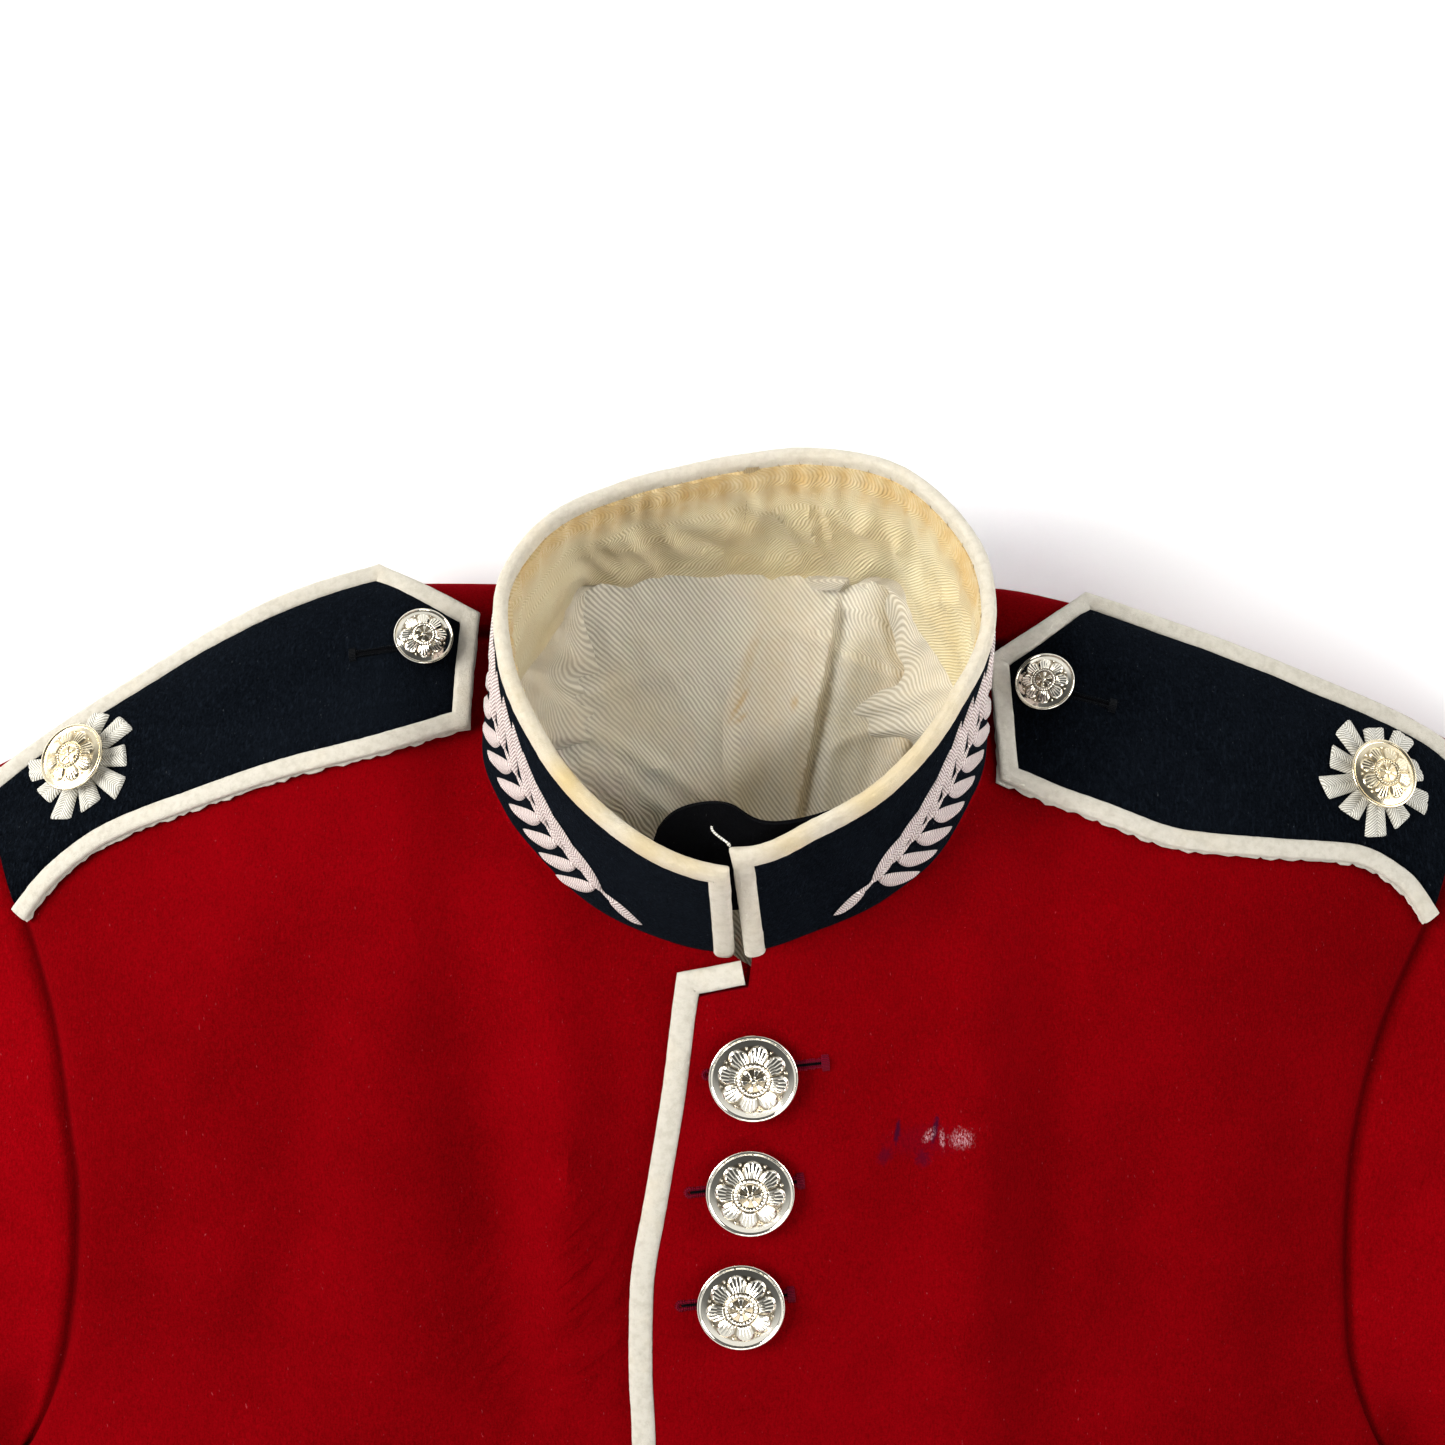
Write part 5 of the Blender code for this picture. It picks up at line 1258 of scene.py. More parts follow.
    def inner(self, side: Side, row: float) -> Array:
        """Plan point of a front's inner edge: along the neck seam, then down the front edge.

        Args:
            side: Which side of the tunic.
            row: Place down the piece, as a number of rows.

        Returns:
            X and Y.
        """
        if row <= 5:
            angle = float(follow(range(6), self.neck_angle, row))
            return NECK.seam(side.turn(angle))[:2]
        y = float(follow(self.inner_row, self.inner_y, row))
        if side is Side.LEFT:
            step = np.array([self.tab_end[0] + 2.0, self.tab_end[1] - self.piping - 1.2])
            corner = np.array([float(self.edge(self.inner_y[0])) + 0.2, self.inner_y[0] - 0.4])
            if row <= 5.15:
                return self.inner(side, 5) * (5.15 - row) / 0.15 + step * (row - 5) / 0.15
            if row <= 5.3:
                return step * (5.3 - row) / 0.15 + corner * (row - 5.15) / 0.15
            return np.array([float(self.edge(y)), y])
        corner = np.array([float(self.buttons(self.inner_y[0])) + self.underlap, self.inner_y[0]])
        if row <= 5.3:
            return self.inner(side, 5) * (5.3 - row) / 0.3 + corner * (row - 5) / 0.3
        return np.array([float(self.buttons(y)) + self.underlap, y])

    def height(self, side: Side, x: Array, y: Array, edge: Point,
               roundness: float) -> Array:
        """Height of a front's outer face at plan points, in a row that ends at the edge given.

        Args:
            side: Which side of the tunic.
            x: X of the points.
            y: Y of the points.
            edge: Point at which the row ends.
            roundness: How full the row stands.

        Returns:
            One height a point.
        """
        centre = self.buttons(y)
        reach = abs(edge[0] - float(self.buttons(edge[1]))) - self.level_half
        d = np.clip((side.value * (x - centre) - self.level_half) / reach, 0, 1)
        drop = (1 - roundness) * d**1.7 + roundness * (1 - np.cbrt(1 - d**3))
        return self.chest(y) + (edge[2] - float(self.chest(edge[1]))) * drop

    def shoulder(self, side: Side, shares: Array) -> Array:
        """Points of the shoulder seam.

        Args:
            side: Which side of the tunic.
            shares: Place of each point along the row, from 0 to 1.

        Returns:
            One point for each.
        """
        line = np.stack([follow(self.shoulder_u, k, shares) for k in HALVES[side].line], axis=-1)
        neck = NECK.seam(side.turn(self.neck_angle[0]))
        return np.where(shares[:, None] <= 0, neck, line)

    def raw_front(self, side: Side, row: float) -> Array:
        """A row of a front's outer face before the shoulder and the overlap are worked in.

        Args:
            side: Which side of the tunic.
            row: Place down the piece, as a number of rows.

        Returns:
            The points of the row.
        """
        shares = self.shares
        edge = tuple(float(follow(range(12), k, row)) for k in HALVES[side].outer)
        roundness = float(follow(self.round_row, self.round_share, row))
        start = self.inner(side, row)
        share = (1 - roundness) * shares + roundness * (1 - (1 - shares) ** 2)
        plan = start + (np.array(edge[:2]) - start) * share[:, None]
        z = self.height(side, plan[:, 0], plan[:, 1], edge, roundness)
        if row < 6.5:
            angle = float(follow(range(6), self.neck_angle, min(row, 5)))
            seam = NECK.seam(side.turn(angle))
            seam_z = seam[2] + np.where((shares > 0) | (row > 5), CLOTH / 2, 0)
            if side is Side.LEFT:
                seam_z = seam_z - float(lap(seam[0]))
            miss = seam_z - float(self.height(side, seam[0], seam[1], edge, roundness))
            away = np.hypot(plan[:, 0] - seam[0], plan[:, 1] - seam[1])
            z = z + miss * hump(away, 0, 20.0)
        return np.column_stack([plan, z])

    def front_row(self, side: Side, row: float) -> Array:
        """A row of a front's outer face, from its inner edge to the armhole or side.

        Args:
            side: Which side of the tunic.
            row: Place down the piece, as a number of rows.

        Returns:
            The points of the row.
        """
        points = self.raw_front(side, row)
        near = float(hump(row, 0, 0.8))
        points = points + (self.shoulder(side, self.shares) - self.raw_front(side, 0)) * near
        if row > 0.6:
            fade = np.minimum(1.0, (1 - self.shares) / 0.15) * float(ease(0.6, 1.6, row))
            points[:, 2] += self.folded(points) * fade
        if side is Side.LEFT:
            points[:, 2] += lap(points[:, 0])
        return points

    def folded(self, points: Array) -> Array:
        """Rise of the soft folds, with none beside the buttons."""
        rise = fold_rise(self.folds, points[:, 0], points[:, 1])
        return rise * ease(30, 50, np.abs(points[:, 0]))

    def front(self, side: Side) -> None:
        """One front and its skirt.

        Args:
            side: Which side of the tunic.
        """
        grid = np.array([self.front_row(side, r) for r in self.front_at])
        neck = {i: float(follow(range(6), self.neck_angle, r)) for i, r in enumerate(self.front_at) if r <= 5}
        sewn = frozenset({Edge.TOP, Edge.OUTER, Edge.BOTTOM})
        finish = SCARLET_WORN if side is Side.LEFT else SCARLET
        name = f"front_{side.word}"
        self.panels[name] = Panel(name, grid, -side.value, sewn, neck, finish)
        rows = []
        for down in self.down_at:
            y = self.waist_y + (self.hem_y - self.waist_y) * float(down)
            inner = float(self.edge(y)) if side is Side.LEFT else float(self.buttons(y)) + self.underlap
            outer = float(follow(self.skirt_y, HALVES[side].skirt, y))
            x = inner + (outer - inner) * (1 - (1 - self.shares) ** 2)
            ys = np.full_like(x, y)
            z = self.height(side, x, ys, (outer, y, self.side_z), 1.0)
            row = np.column_stack([x, ys, z])
            row[:, 2] += self.folded(row) * np.minimum(1.0, (1 - self.shares) / 0.15)
            if side is Side.LEFT:
                row[:, 2] += lap(x)
            rows.append(row)
        rows[0] = grid[-1]
        name = f"skirt_front_{side.word}"
        self.panels[name] = Panel(name, np.array(rows), -side.value, frozenset({Edge.TOP, Edge.OUTER}))

    def back_inner(self, side: Side, row: float) -> Array:
        """Outer face of a back at the neck seam, then down the centre seam.

        Args:
            side: Which side of the tunic.
            row: Place down the piece, as a number of rows.

        Returns:
            The point.
        """
        if row < 3:
            angle = float(follow(range(4), self.back_neck_angle, row))
            return NECK.seam(side.turn(angle))
        centre = NECK.seam(180.0)
        y = float(follow(self.centre_row, (centre[1], *self.centre_y[1:]), row))
        return np.array([0.0, y, centre[2] if row <= 3 else 0.0])

    def back_outer(self, side: Side, row: float) -> Array:
        """Outer edge of a back: armhole on the table, underarm, side seam.

        Args:
            side: Which side of the tunic.
            row: Place down the piece, as a number of rows.

        Returns:
            The point.
        """
        half = HALVES[side]
        z = float(follow(range(12), half.outer[2], row)) * float(ease(7, 8, row)) if row >= 7 else 0.0
        return np.array([float(follow(self.back_row, half.back[0], row)),
                         float(follow(self.back_row, half.back[1], row)), z])

    def shoulder_roll(self, side: Side, row: float) -> Array:
        """A row of a back between the shoulder seam and where it first lies on the table.

        Args:
            side: Which side of the tunic.
            row: Place down the piece, as a number of rows.

        Returns:
            The points of the row.
        """
        shares = self.shares
        line = self.shoulder(side, shares)
        top = np.stack([follow(self.shoulder_u, k, shares) for k in HALVES[side].crest], axis=-1)
        top = np.where(shares[:, None] <= 0, self.back_inner(side, 1), top)
        ends = ease(0, 0.15, shares)[:, None]
        first, last = self.back_inner(side, 2), self.back_outer(side, 2)
        under = top * FLAT - np.array([0, self.under_in, 0])
        low = first + (under - first) * ends
        low = low + (last - low) * ease(0.9, 1.0, shares)[:, None]
        low[0], low[-1] = first, last
        reach = np.linalg.norm(top - line, axis=1, keepdims=True)
        if row <= 1:
            lead = unit(line - self.front_row(side, 0.3))
            handle = top + np.array([0, 0, 1.0]) * np.minimum(reach * 0.35, 10.0)
            return bezier(line, line + lead * reach * 0.4, handle, top, row)
        drop = (top[:, 2:] - low[:, 2:])
        below = top - np.array([0, 0, 1.0]) * drop * 0.55
        out = unit((top - low) * FLAT + 1e-6) * self.under_in * 0.5
        return bezier(top, below, low + out, low, row - 1)

    def back_row_points(self, side: Side, row: float) -> Array:
        """A row of a back's outer face, from the neck or centre seam out.

        Args:
            side: Which side of the tunic.
            row: Place down the piece, as a number of rows.

        Returns:
            The points of the row.
        """
        if row <= 2:
            return self.shoulder_roll(side, row)
        start, end = self.back_inner(side, row), self.back_outer(side, row)
        radius = max(end[2], 5.0)
        width = float(np.linalg.norm((end - start)[:2]))
        share = edge_spread(self.shares, radius / width)
        points = start + (end - start) * share[:, None]
        points[:, 2] = roll_up(end[2], (1 - share) * width) if end[2] > 0 else 0.0
        if row <= 3:
            points[:, 2] += start[2] * hump(share * width, 0, 14.0)
        return points

    def back(self, side: Side) -> None:
        """One back and its skirt, sewn to the front's outer edge point by point.

        Args:
            side: Which side of the tunic.
        """
        grid = np.array([self.back_row_points(side, r) for r in self.back_at])
        front = self.panels[f"front_{side.word}"]
        for i, row in enumerate(self.back_at):
            if row >= 8:
                grid[i, -1] = front.grid[self.front_at.index(row), -1]
        neck = {i: float(follow(range(4), self.back_neck_angle, r)) for i, r in enumerate(self.back_at) if r <= 3}
        sewn = frozenset({Edge.TOP, Edge.OUTER, Edge.BOTTOM})
        name = f"back_{side.word}"
        self.panels[name] = Panel(name, grid, side.value, sewn, neck)
        skirt = self.panels[f"skirt_front_{side.word}"]
        rows = []
        for i, down in enumerate(self.down_at):
            y = self.waist_y + (self.hem_y - self.waist_y) * float(down)
            outer = float(follow(self.skirt_y, HALVES[side].skirt, y))
            share = edge_spread(self.shares, self.side_z / abs(outer))
            z = roll_up(self.side_z, (1 - share) * abs(outer))
            rows.append(np.column_stack([outer * share, np.full_like(share, y), z]))
        rows[0] = grid[-1]
        name = f"skirt_back_{side.word}"
        self.panels[name] = Panel(name, np.array(rows), side.value, frozenset({Edge.TOP, Edge.OUTER}))
        self.panels[name].grid[:, -1] = skirt.grid[:, -1]

    def cut(self) -> None:
        """Lays out every panel of the body."""
        for side in Side:
            self.front(side)
            self.back(side)


@dataclass
class Sleeves:
    """Upper and under sleeves, cuff edging and cuffs."""

    head_folds: tuple[Fold, ...] = (
        Fold(198, -124, 38, 34, 8, 4.2), Fold(191, -143, 33, 32, 7, -4.2), Fold(200, -92, 62, 36, 9, 3.0),
        Fold(214, -178, 66, 46, 10, -3.2), Fold(226, -160, 60, 46, 11, 3.0),
    )
    inner_x: Row = (244, 255, 264, 270, 272, 273)
    inner_y: Row = (-275, -335, -400, -460, -520, -527)
    outer_x: Row = (362, 378, 391, 398, 401, 401)
    outer_y: Row = (-240, -310, -380, -450, -514, -521)
    tall: Row = (54, 46, 39, 33, 28, 27)
    rim: Row = (11, 10.5, 10, 9.5, 9, 9)
    power: float = 2.3
    cuff_piping: float = 4.0
    cuff_proud: float = 0.8
    cuff_depth: float = 72.0
    cuff_narrow: float = 1.0
    right_drop: float = 15.0
    folds: tuple[Fold, ...] = (
        Fold(290, -300, 35, 46, 12, -4.0), Fold(326, -350, 28, 52, 13, -4.5), Fold(318, -392, 12, 50, 12, -3.5),
        Fold(345, -430, -8, 44, 12, -2.5), Fold(278, -190, 62, 50, 13, -3.0),
    )

    def ends(self, side: Side, along: float) -> tuple[Array, Array, float, float]:
        """Inner and outer edge, height and edge height of the sleeve's section.

        Args:
            side: Which side of the tunic.
            along: Place down the sleeve, as a number of sections.

        Returns:
            Inner edge, outer edge, height and edge height.
        """
        value = [float(follow(range(6), k, along)) for k in
                 (self.inner_x, self.inner_y, self.outer_x, self.outer_y, self.tall, self.rim)]
        shift = HALVES[side].sleeve_shift
        inner = np.array([side.value * (value[0] + shift), value[1], value[5]])
        outer = np.array([side.value * (value[2] + shift), value[3], value[5]])
        return inner, outer, value[4], value[5]

    def upper(self, side: Side, along: float, shares: Array) -> Array:
        """Top half of a sleeve's section, from its inner edge to its outer edge.

        Args:
            side: Which side of the tunic.
            along: Place down the sleeve, as a number of sections.
            shares: Place of each point along the row, from 0 to 1.

        Returns:
            One point for each.
        """
        inner, outer, tall, rim = self.ends(side, along)
        c, s = np.cos(math.pi * shares), np.sin(math.pi * shares)
        across = (1 - np.sign(c) * np.abs(c) ** (2 / self.power)) / 2
        points = inner + (outer - inner) * across[:, None]
        lift = np.maximum(s, 0.0) ** (2 / self.power)
        points[:, 2] = rim + (tall - rim) * lift
        points[:, 2] += fold_rise(self.folds, np.abs(points[:, 0]), points[:, 1]) * lift
        return points

    def lower(self, side: Side, along: float, shares: Array) -> Array:
        """Bottom half of a sleeve's section: flat on the table, with both edges rolled up.

        Args:
            side: Which side of the tunic.
            along: Place down the sleeve, as a number of sections.
            shares: Place of each point along the row, from 0 to 1.

        Returns:
            One point for each.
        """
        inner, outer, _, rim = self.ends(side, along)
        width = float(np.linalg.norm(outer - inner))
        points = inner + (outer - inner) * shares[:, None]
        points[:, 2] = roll_up(rim, np.minimum(shares, 1 - shares) * width)
        return points

    @staticmethod
    def both_edges(count: int, roll: float, bends: int = 9) -> Array:
        """Shares across a flat strip whose two edges roll up, close together in the rolls.

        Args:
            count: Number of points.
            roll: Width of a roll as a share of the strip.
            bends: Points in each roll.

        Returns:
            The shares in order.
        """
        turn = np.arange(bends, 0, -1) / bends
        start = roll * (1 - np.sin(turn * math.pi / 2))
        flat = np.linspace(roll, 1 - roll, count - 2 * bends)
        return np.concatenate([start, flat, 1 - start[::-1]])

    def travel(self, side: Side) -> Array:
        """Direction in which the sleeve leaves the underarm."""
        a, b = self.ends(side, 0), self.ends(side, 0.4)
        return unit((b[0] + b[1]) - (a[0] + a[1]))

    def rows(self, side: Side, start: Array, leads: Array, top: bool, shares: Array) -> Array:
        """Rows of points from the armhole to the end of the sleeve.

        Args:
            side: Which sleeve.
            start: Points of the armhole.
            leads: Direction in which cloth leaves each of them.
            top: Whether this is the upper half.
            shares: Place of each point round the section.

        Returns:
            The grid of points.
        """
        section = self.upper if top else self.lower
        first = section(side, 0, shares)
        reach = np.linalg.norm(first - start, axis=1, keepdims=True)
        handle = first - self.travel(side) * reach * 0.34
        times = [0, 0.008, 0.017, 0.03, 0.05, *np.linspace(0.08, 1, 22)[:-1]]
        made = [bezier(start, start + leads * reach * 0.38, handle, first, t) for t in times]
        if top:
            drop = self.right_drop if side is Side.RIGHT else 0
            for t, row in zip(times, made):
                rise = fold_rise(self.head_folds, np.abs(row[:, 0]), row[:, 1] + drop)
                row[:, 2] += rise * float(ease(0.01, 0.12, t) * ease(1.0, 0.8, t))
        made += [section(side, along, shares) for along in np.linspace(0, 5, 31)]
        return np.array(made)

    def cut(self, body: Body) -> None:
        """Adds the four sleeve panels to the body's.

        Args:
            body: Fronts, backs and skirts.
        """
        for side in Side:
            front, back = body.panels[f"front_{side.word}"].grid, body.panels[f"back_{side.word}"].grid
            last = body.front_at.index(8.0)
            turn = body.back_at.index(1.65)
            end = body.back_at.index(8.0)
            line = np.array([front[i, -1] for i in range(last, -1, -1)]
                            + [back[i, -1] for i in range(1, turn + 1)])
            leads = np.array([unit(front[i, -1] - front[i, -2]) for i in range(last, -1, -1)]
                             + [unit(back[i, -1] - back[i, -2]) for i in range(1, turn + 1)])
            outward = unit(np.array([side.value * 0.8, -0.55, 0.0]))
            away = np.linalg.norm(line - line[0], axis=1)
            keep = ease(0, 110, away)[:, None]
            leads = unit(leads * keep + outward * (1 - keep))
            steps = run(line)
            upper = self.rows(side, line, leads, True, steps / steps[-1])
            line = np.array([front[last, -1]] + [back[i, -1] for i in range(end - 1, turn - 1, -1)])
            leads = np.repeat(outward[None], len(line), axis=0)
            inner, outer, _, rim = self.ends(side, 0)
            even = self.both_edges(len(line), rim / float(np.linalg.norm(outer - inner)))
            under = self.rows(side, line, leads, False, even)
            under[:25, :, 2] = np.maximum(under[:25, :, 2], 0.0)
            under[:, 0], under[:, -1] = upper[:, 0], upper[:, -1]
            sewn = frozenset({Edge.TOP, Edge.INNER, Edge.OUTER})
            # The sleeves wear the lighter copy of the cloth, which is painted light.
            name = f"sleeve_upper_{side.word}"
            body.panels[name] = Panel(name, upper, -side.value, sewn, finish=SCARLET_SLEEVE_PAINTED_LIGHT)
            name = f"sleeve_under_{side.word}"
            body.panels[name] = Panel(name, under, side.value, sewn, finish=SCARLET_SLEEVE_PAINTED_LIGHT)

    def ring(self, side: Side, shift: float, swell: float) -> Array:
        """Closed ring of points round the end of a sleeve, moved on by shift and swollen above the table.

        Args:
            side: Which side of the tunic.
            shift: Distance past the sleeve's end.
            swell: Distance out from it above the table.

        Returns:
            The points of the ring.
        """
        inner, outer, _, rim = self.ends(side, 5)
        before = self.ends(side, 4)
        travel = unit(((inner + outer) - (before[0] + before[1])) * FLAT)
        even = self.both_edges(61, rim / float(np.linalg.norm(outer - inner)))
        bottom = self.lower(side, 5, even)[::-1][1:-1]
        ring = np.vstack([self.upper(side, 5, np.linspace(0, 1, 73)), bottom])
        out = unit((ring - ring.mean(axis=0)) * np.array([1, 1, 1.6]))
        above = ease(0.5, 9, ring[:, 2])[:, None]
        return ring + travel * shift + out * above * swell

    def tube(self, name: str, rings: list[Array], thick: float, finish: Finish, slot: Slot) -> Piece:
        """A tube of cloth through closed rings of points.

        Args:
            name: Name of the piece.
            rings: Rings of points along it.
            thick: Thickness of the cloth.
            finish: What it is made of.
            slot: Material slot of the record; not used.

        Returns:
            The dressed piece.
        """
        outer = np.transpose(np.array(rings), (1, 0, 2))
        round_it = np.roll(outer, -1, 0) - np.roll(outer, 1, 0)
        normals = unit(np.cross(round_it, np.gradient(outer, axis=1)))
        middle = outer.mean(axis=0, keepdims=True)
        outward = np.sum((outer - middle) * normals) > 0
        normals = normals if outward else -normals
        soup = Soup()
        soup.shell(outer, outer - normals * thick, flip=outward, loop=True)
        made = soup.piece(name, finish, (name,))
        return made

    def cuffs(self) -> None:
        """White edging and plain navy cuff at the end of each sleeve."""
        for side in Side:
            rings = []
            for share in np.linspace(0, 1, 9):
                crown = math.sqrt(max(0.0, 1 - (2 * share - 1) ** 4))
                rings.append(self.ring(side, -0.1 + (self.cuff_piping + 0.7) * share, self.cuff_proud * crown + 0.1))
            self.tube(f"cuff_edging_{side.word}", rings, CLOTH + 0.4, FELT, Slot.FELT)
            start = self.cuff_piping + 2 * GAP
            rings = []
            for share in (0, 0.01, 0.03, *np.linspace(0.08, 1, 22)):
                tuck = -0.7 * float(hump(share * self.cuff_depth, 0, 1.4))
                turned = -0.5 * float(hump((1 - share) * self.cuff_depth, 0, 1.2))
                swell = tuck + turned - self.cuff_narrow * share
                rings.append(self.ring(side, start + self.cuff_depth * share, swell))
            self.tube(f"cuff_{side.word}", rings, CLOTH, NAVY, Slot.NAVY)
            LOG.info("cuff %s: navy cloth and white edging", side.word)


def match_normals(panels: list[Panel]) -> None:
    """Gives the points that panels share at a seam one direction through the cloth.

    Args:
        panels: The cloth panels.
    """
    found: dict[Row, list[tuple[Panel, int, int]]] = {}
    for panel in panels:
        for i, j in panel.rim():
            key = tuple(np.round(panel.grid[i, j], 1))
            found.setdefault(key, []).append((panel, i, j))
    for slots in found.values():
        mean = sum(unit(p.normals[i, j]) for p, i, j in slots)
        if any(p.name.startswith("sleeve") for p, _, _ in slots) and len({p.name for p, _, _ in slots}) > 3:
            mean = np.array([0.55 * np.sign(slots[0][0].grid[0, -1, 0]), -0.83, 0.0])
            for p, i, j in slots:
                p.thin.add((i, j))
        for p, i, j in slots:
            p.normals[i, j] = unit(mean)


def share_normals(panels: list[Panel]) -> None:
    """Evens out the directions through the cloth, and matches them at the seams.

    Args:
        panels: The cloth panels.
    """
    for _ in range(5):
        match_normals(panels)
        for panel in panels:
            panel.normals = unit(panel.normals * 2 + beside(panel.normals))
    match_normals(panels)


class Seat:
    """The outer face of the cloth, for finding where a piece that lies on it touches."""

    def __init__(self, grids: list[Array]) -> None:
        """Joins grids of points into one surface.

        Args:
            grids: Grids of points.
        """
        points, faces = [], []
        for grid in grids:
            rows, columns = grid.shape[:2]
            first = len(points)
            points += [Vector(p) for p in grid.reshape(-1, 3)]
            for i in range(rows - 1):
                for j in range(columns - 1):
                    a = first + i * columns + j
                    faces.append([a, a + 1, a + columns + 1, a + columns])
        self.tree = BVHTree.FromPolygons(points, faces)

    def under(self, x: float, y: float) -> tuple[Array, Array]:
        """The highest point of the cloth above a plan point, or the nearest one to it, and its normal.

        Args:
            x: X of the plan point.
            y: Y of the plan point.

        Returns:
            The point and its normal.
        """
        hit, normal, _, _ = self.tree.ray_cast(Vector((x, y, 300)), Vector((0, 0, -1)))
        if hit is None:
            hit, normal, _, _ = self.tree.find_nearest(Vector((x, y, 25)))
        normal = np.array(normal)
        return np.array(hit), normal if normal[2] >= 0 else -normal


# Collar


@dataclass
class Collar:
    """Standing collar: navy wall, white edging, gathered lining and the black tongue behind its opening."""

    wall: float = 2.8
    edging: float = 5.6
    edging_thick: float = 4.2
    seam_ends: Pair = (1.4, 358.2)
    top_ends: Pair = (-2.5, 356.9)
    steps: int = 241
    tongue_thick: float = 1.6
    tongue_line: tuple[Row, ...] = (
        (332, 0.58, 331, 0.80, 6.5), (333.5, 0.50, 333, 0.90, 10.0), (338, 0.42, 338, 0.94, 14.0),
        (344, 0.38, 345, 0.95, 17.0), (350, 0.36, 351, 0.95, 18.5), (356, 0.35, 357, 0.95, 17.0),
        (363, 0.34, 364, 0.93, 10.0), (370, 0.34, 371, 0.92, 5.5), (378, 0.34, 379, 0.90, 2.5),
        (387, 0.34, 388, 0.88, 0.8), (397, 0.36, 398, 0.86, 0.2), (406, 0.44, 407, 0.80, 0.0),
    )

    def angle(self, share: Array, height: Array, inset: float) -> Array:
        """Angle at a share of the way round, kept clear of both ends by an inset.

        Args:
            share: Share of the way round.
            height: Share of the wall's height.
            inset: Distance kept from both ends.

        Returns:
            Angles in degrees.
        """
        first = self.seam_ends[0] + (self.top_ends[0] - self.seam_ends[0]) * height
        last = self.seam_ends[1] + (self.top_ends[1] - self.seam_ends[1]) * height
        inset = math.degrees(inset / 57)
        return first + inset + (last - first - 2 * inset) * share

    def face(self, levels: Array, inset: float, base: float, below: float) -> tuple[Array, Array]:
        """Middle points and normals of the wall, from base millimetres over the seam to below the top edge.

        Args:
            levels: Share of the way up for each row.
            inset: Distance kept from both ends.
            base: Distance over the seam.
            below: Distance below the top edge.

        Returns:
            Points and normals.
        """
        share, level = np.meshgrid(np.linspace(0, 1, self.steps), levels, indexing="ij")
        length = NECK.length(self.angle(share, level, inset))
        height = (base + (length - base - below) * level) / length
        angle = self.angle(share, height, inset)
        return NECK.point(angle, height), NECK.normal(angle, height)

    def build(self) -> tuple[Piece, Piece]:
        """Navy wall and its white edging.

        Returns:
            The wall and the edging.
        """
        levels = np.concatenate([[0, 0.02, 0.05], np.linspace(0.1, 1, 14)])
        middle, normals = self.face(levels, self.edging - 0.2, -0.4, self.edging - 0.2)
        low = levels * 45
        tuck = -0.9 * hump(low, 0, 1.6)[None, :, None]
        puff = (0.25 * waves(middle, 34, 3) + 0.12 * waves(middle, 11, 4))[:, :, None]
        puff *= ease(0, 6, low)[None, :, None] * ease(45, 36, low)[None, :, None]
        soup = Soup()
        soup.shell(middle + normals * (self.wall / 2 + tuck + puff), middle - normals * self.wall / 2, flip=True)
        wall = soup.piece("collar", NAVY, ("collar",))

        half = self.edging / 2
        rise = np.array([-0.01, 0.12, 0.3, 0.5, 0.7, 0.86])
        first = self.angle(np.zeros(6), rise, half), rise
        last = self.angle(np.ones(6), rise, half)[::-1], rise[::-1]
        share = np.linspace(0, 1, self.steps)
        top = self.angle(share, np.ones(self.steps), half)
        level = 1 - half / NECK.length(top)
        angles = np.concatenate([first[0], top, last[0]])
        heights = np.concatenate([first[1], level, last[1]])
        path, leads = resample(NECK.point(angles, heights), NECK.normal(angles, heights), 1.3)
        length = run(path)
        from_end = np.minimum(length, length[-1] - length)
        soil = 0.75 * ease(34, 52, from_end) * ease(150, 90, from_end) * (0.6 + 0.4 * waves(path, 18, 5))
        soil = np.clip(soil + 0.16, 0, 1)
        soup = Soup()
        profile = round_profile(self.edging + 0.5, self.edging_thick, -self.edging_thick / 2, 20)
        sweep(soup, path, leads, profile, 0.05, 11, soil)
        edging = soup.piece("collar_edging", FELT, ("collar_edging",), 70)
        LOG.info("collar: wall and edging, %.0f mm round the top", length[-1])
        return wall, edging

    def lining(self) -> Piece:
        """Gathered lining on the inside of the collar, with painted shade in the hollows of its gathers.

        Returns:
            The dressed piece.
        """
        levels = np.linspace(0, 1, 26)
        middle, normals = self.face(levels, self.edging + 0.2, -2.4, self.edging - 1.6)
        share = np.linspace(0, 1, self.steps)[:, None]
        round_it = share * 420
        level = levels[None, :]
        gathers = np.sin(round_it / 8.2 * TAU + 2.6 * np.sin(round_it / 31) + 1.6 * np.sin(round_it / 13))
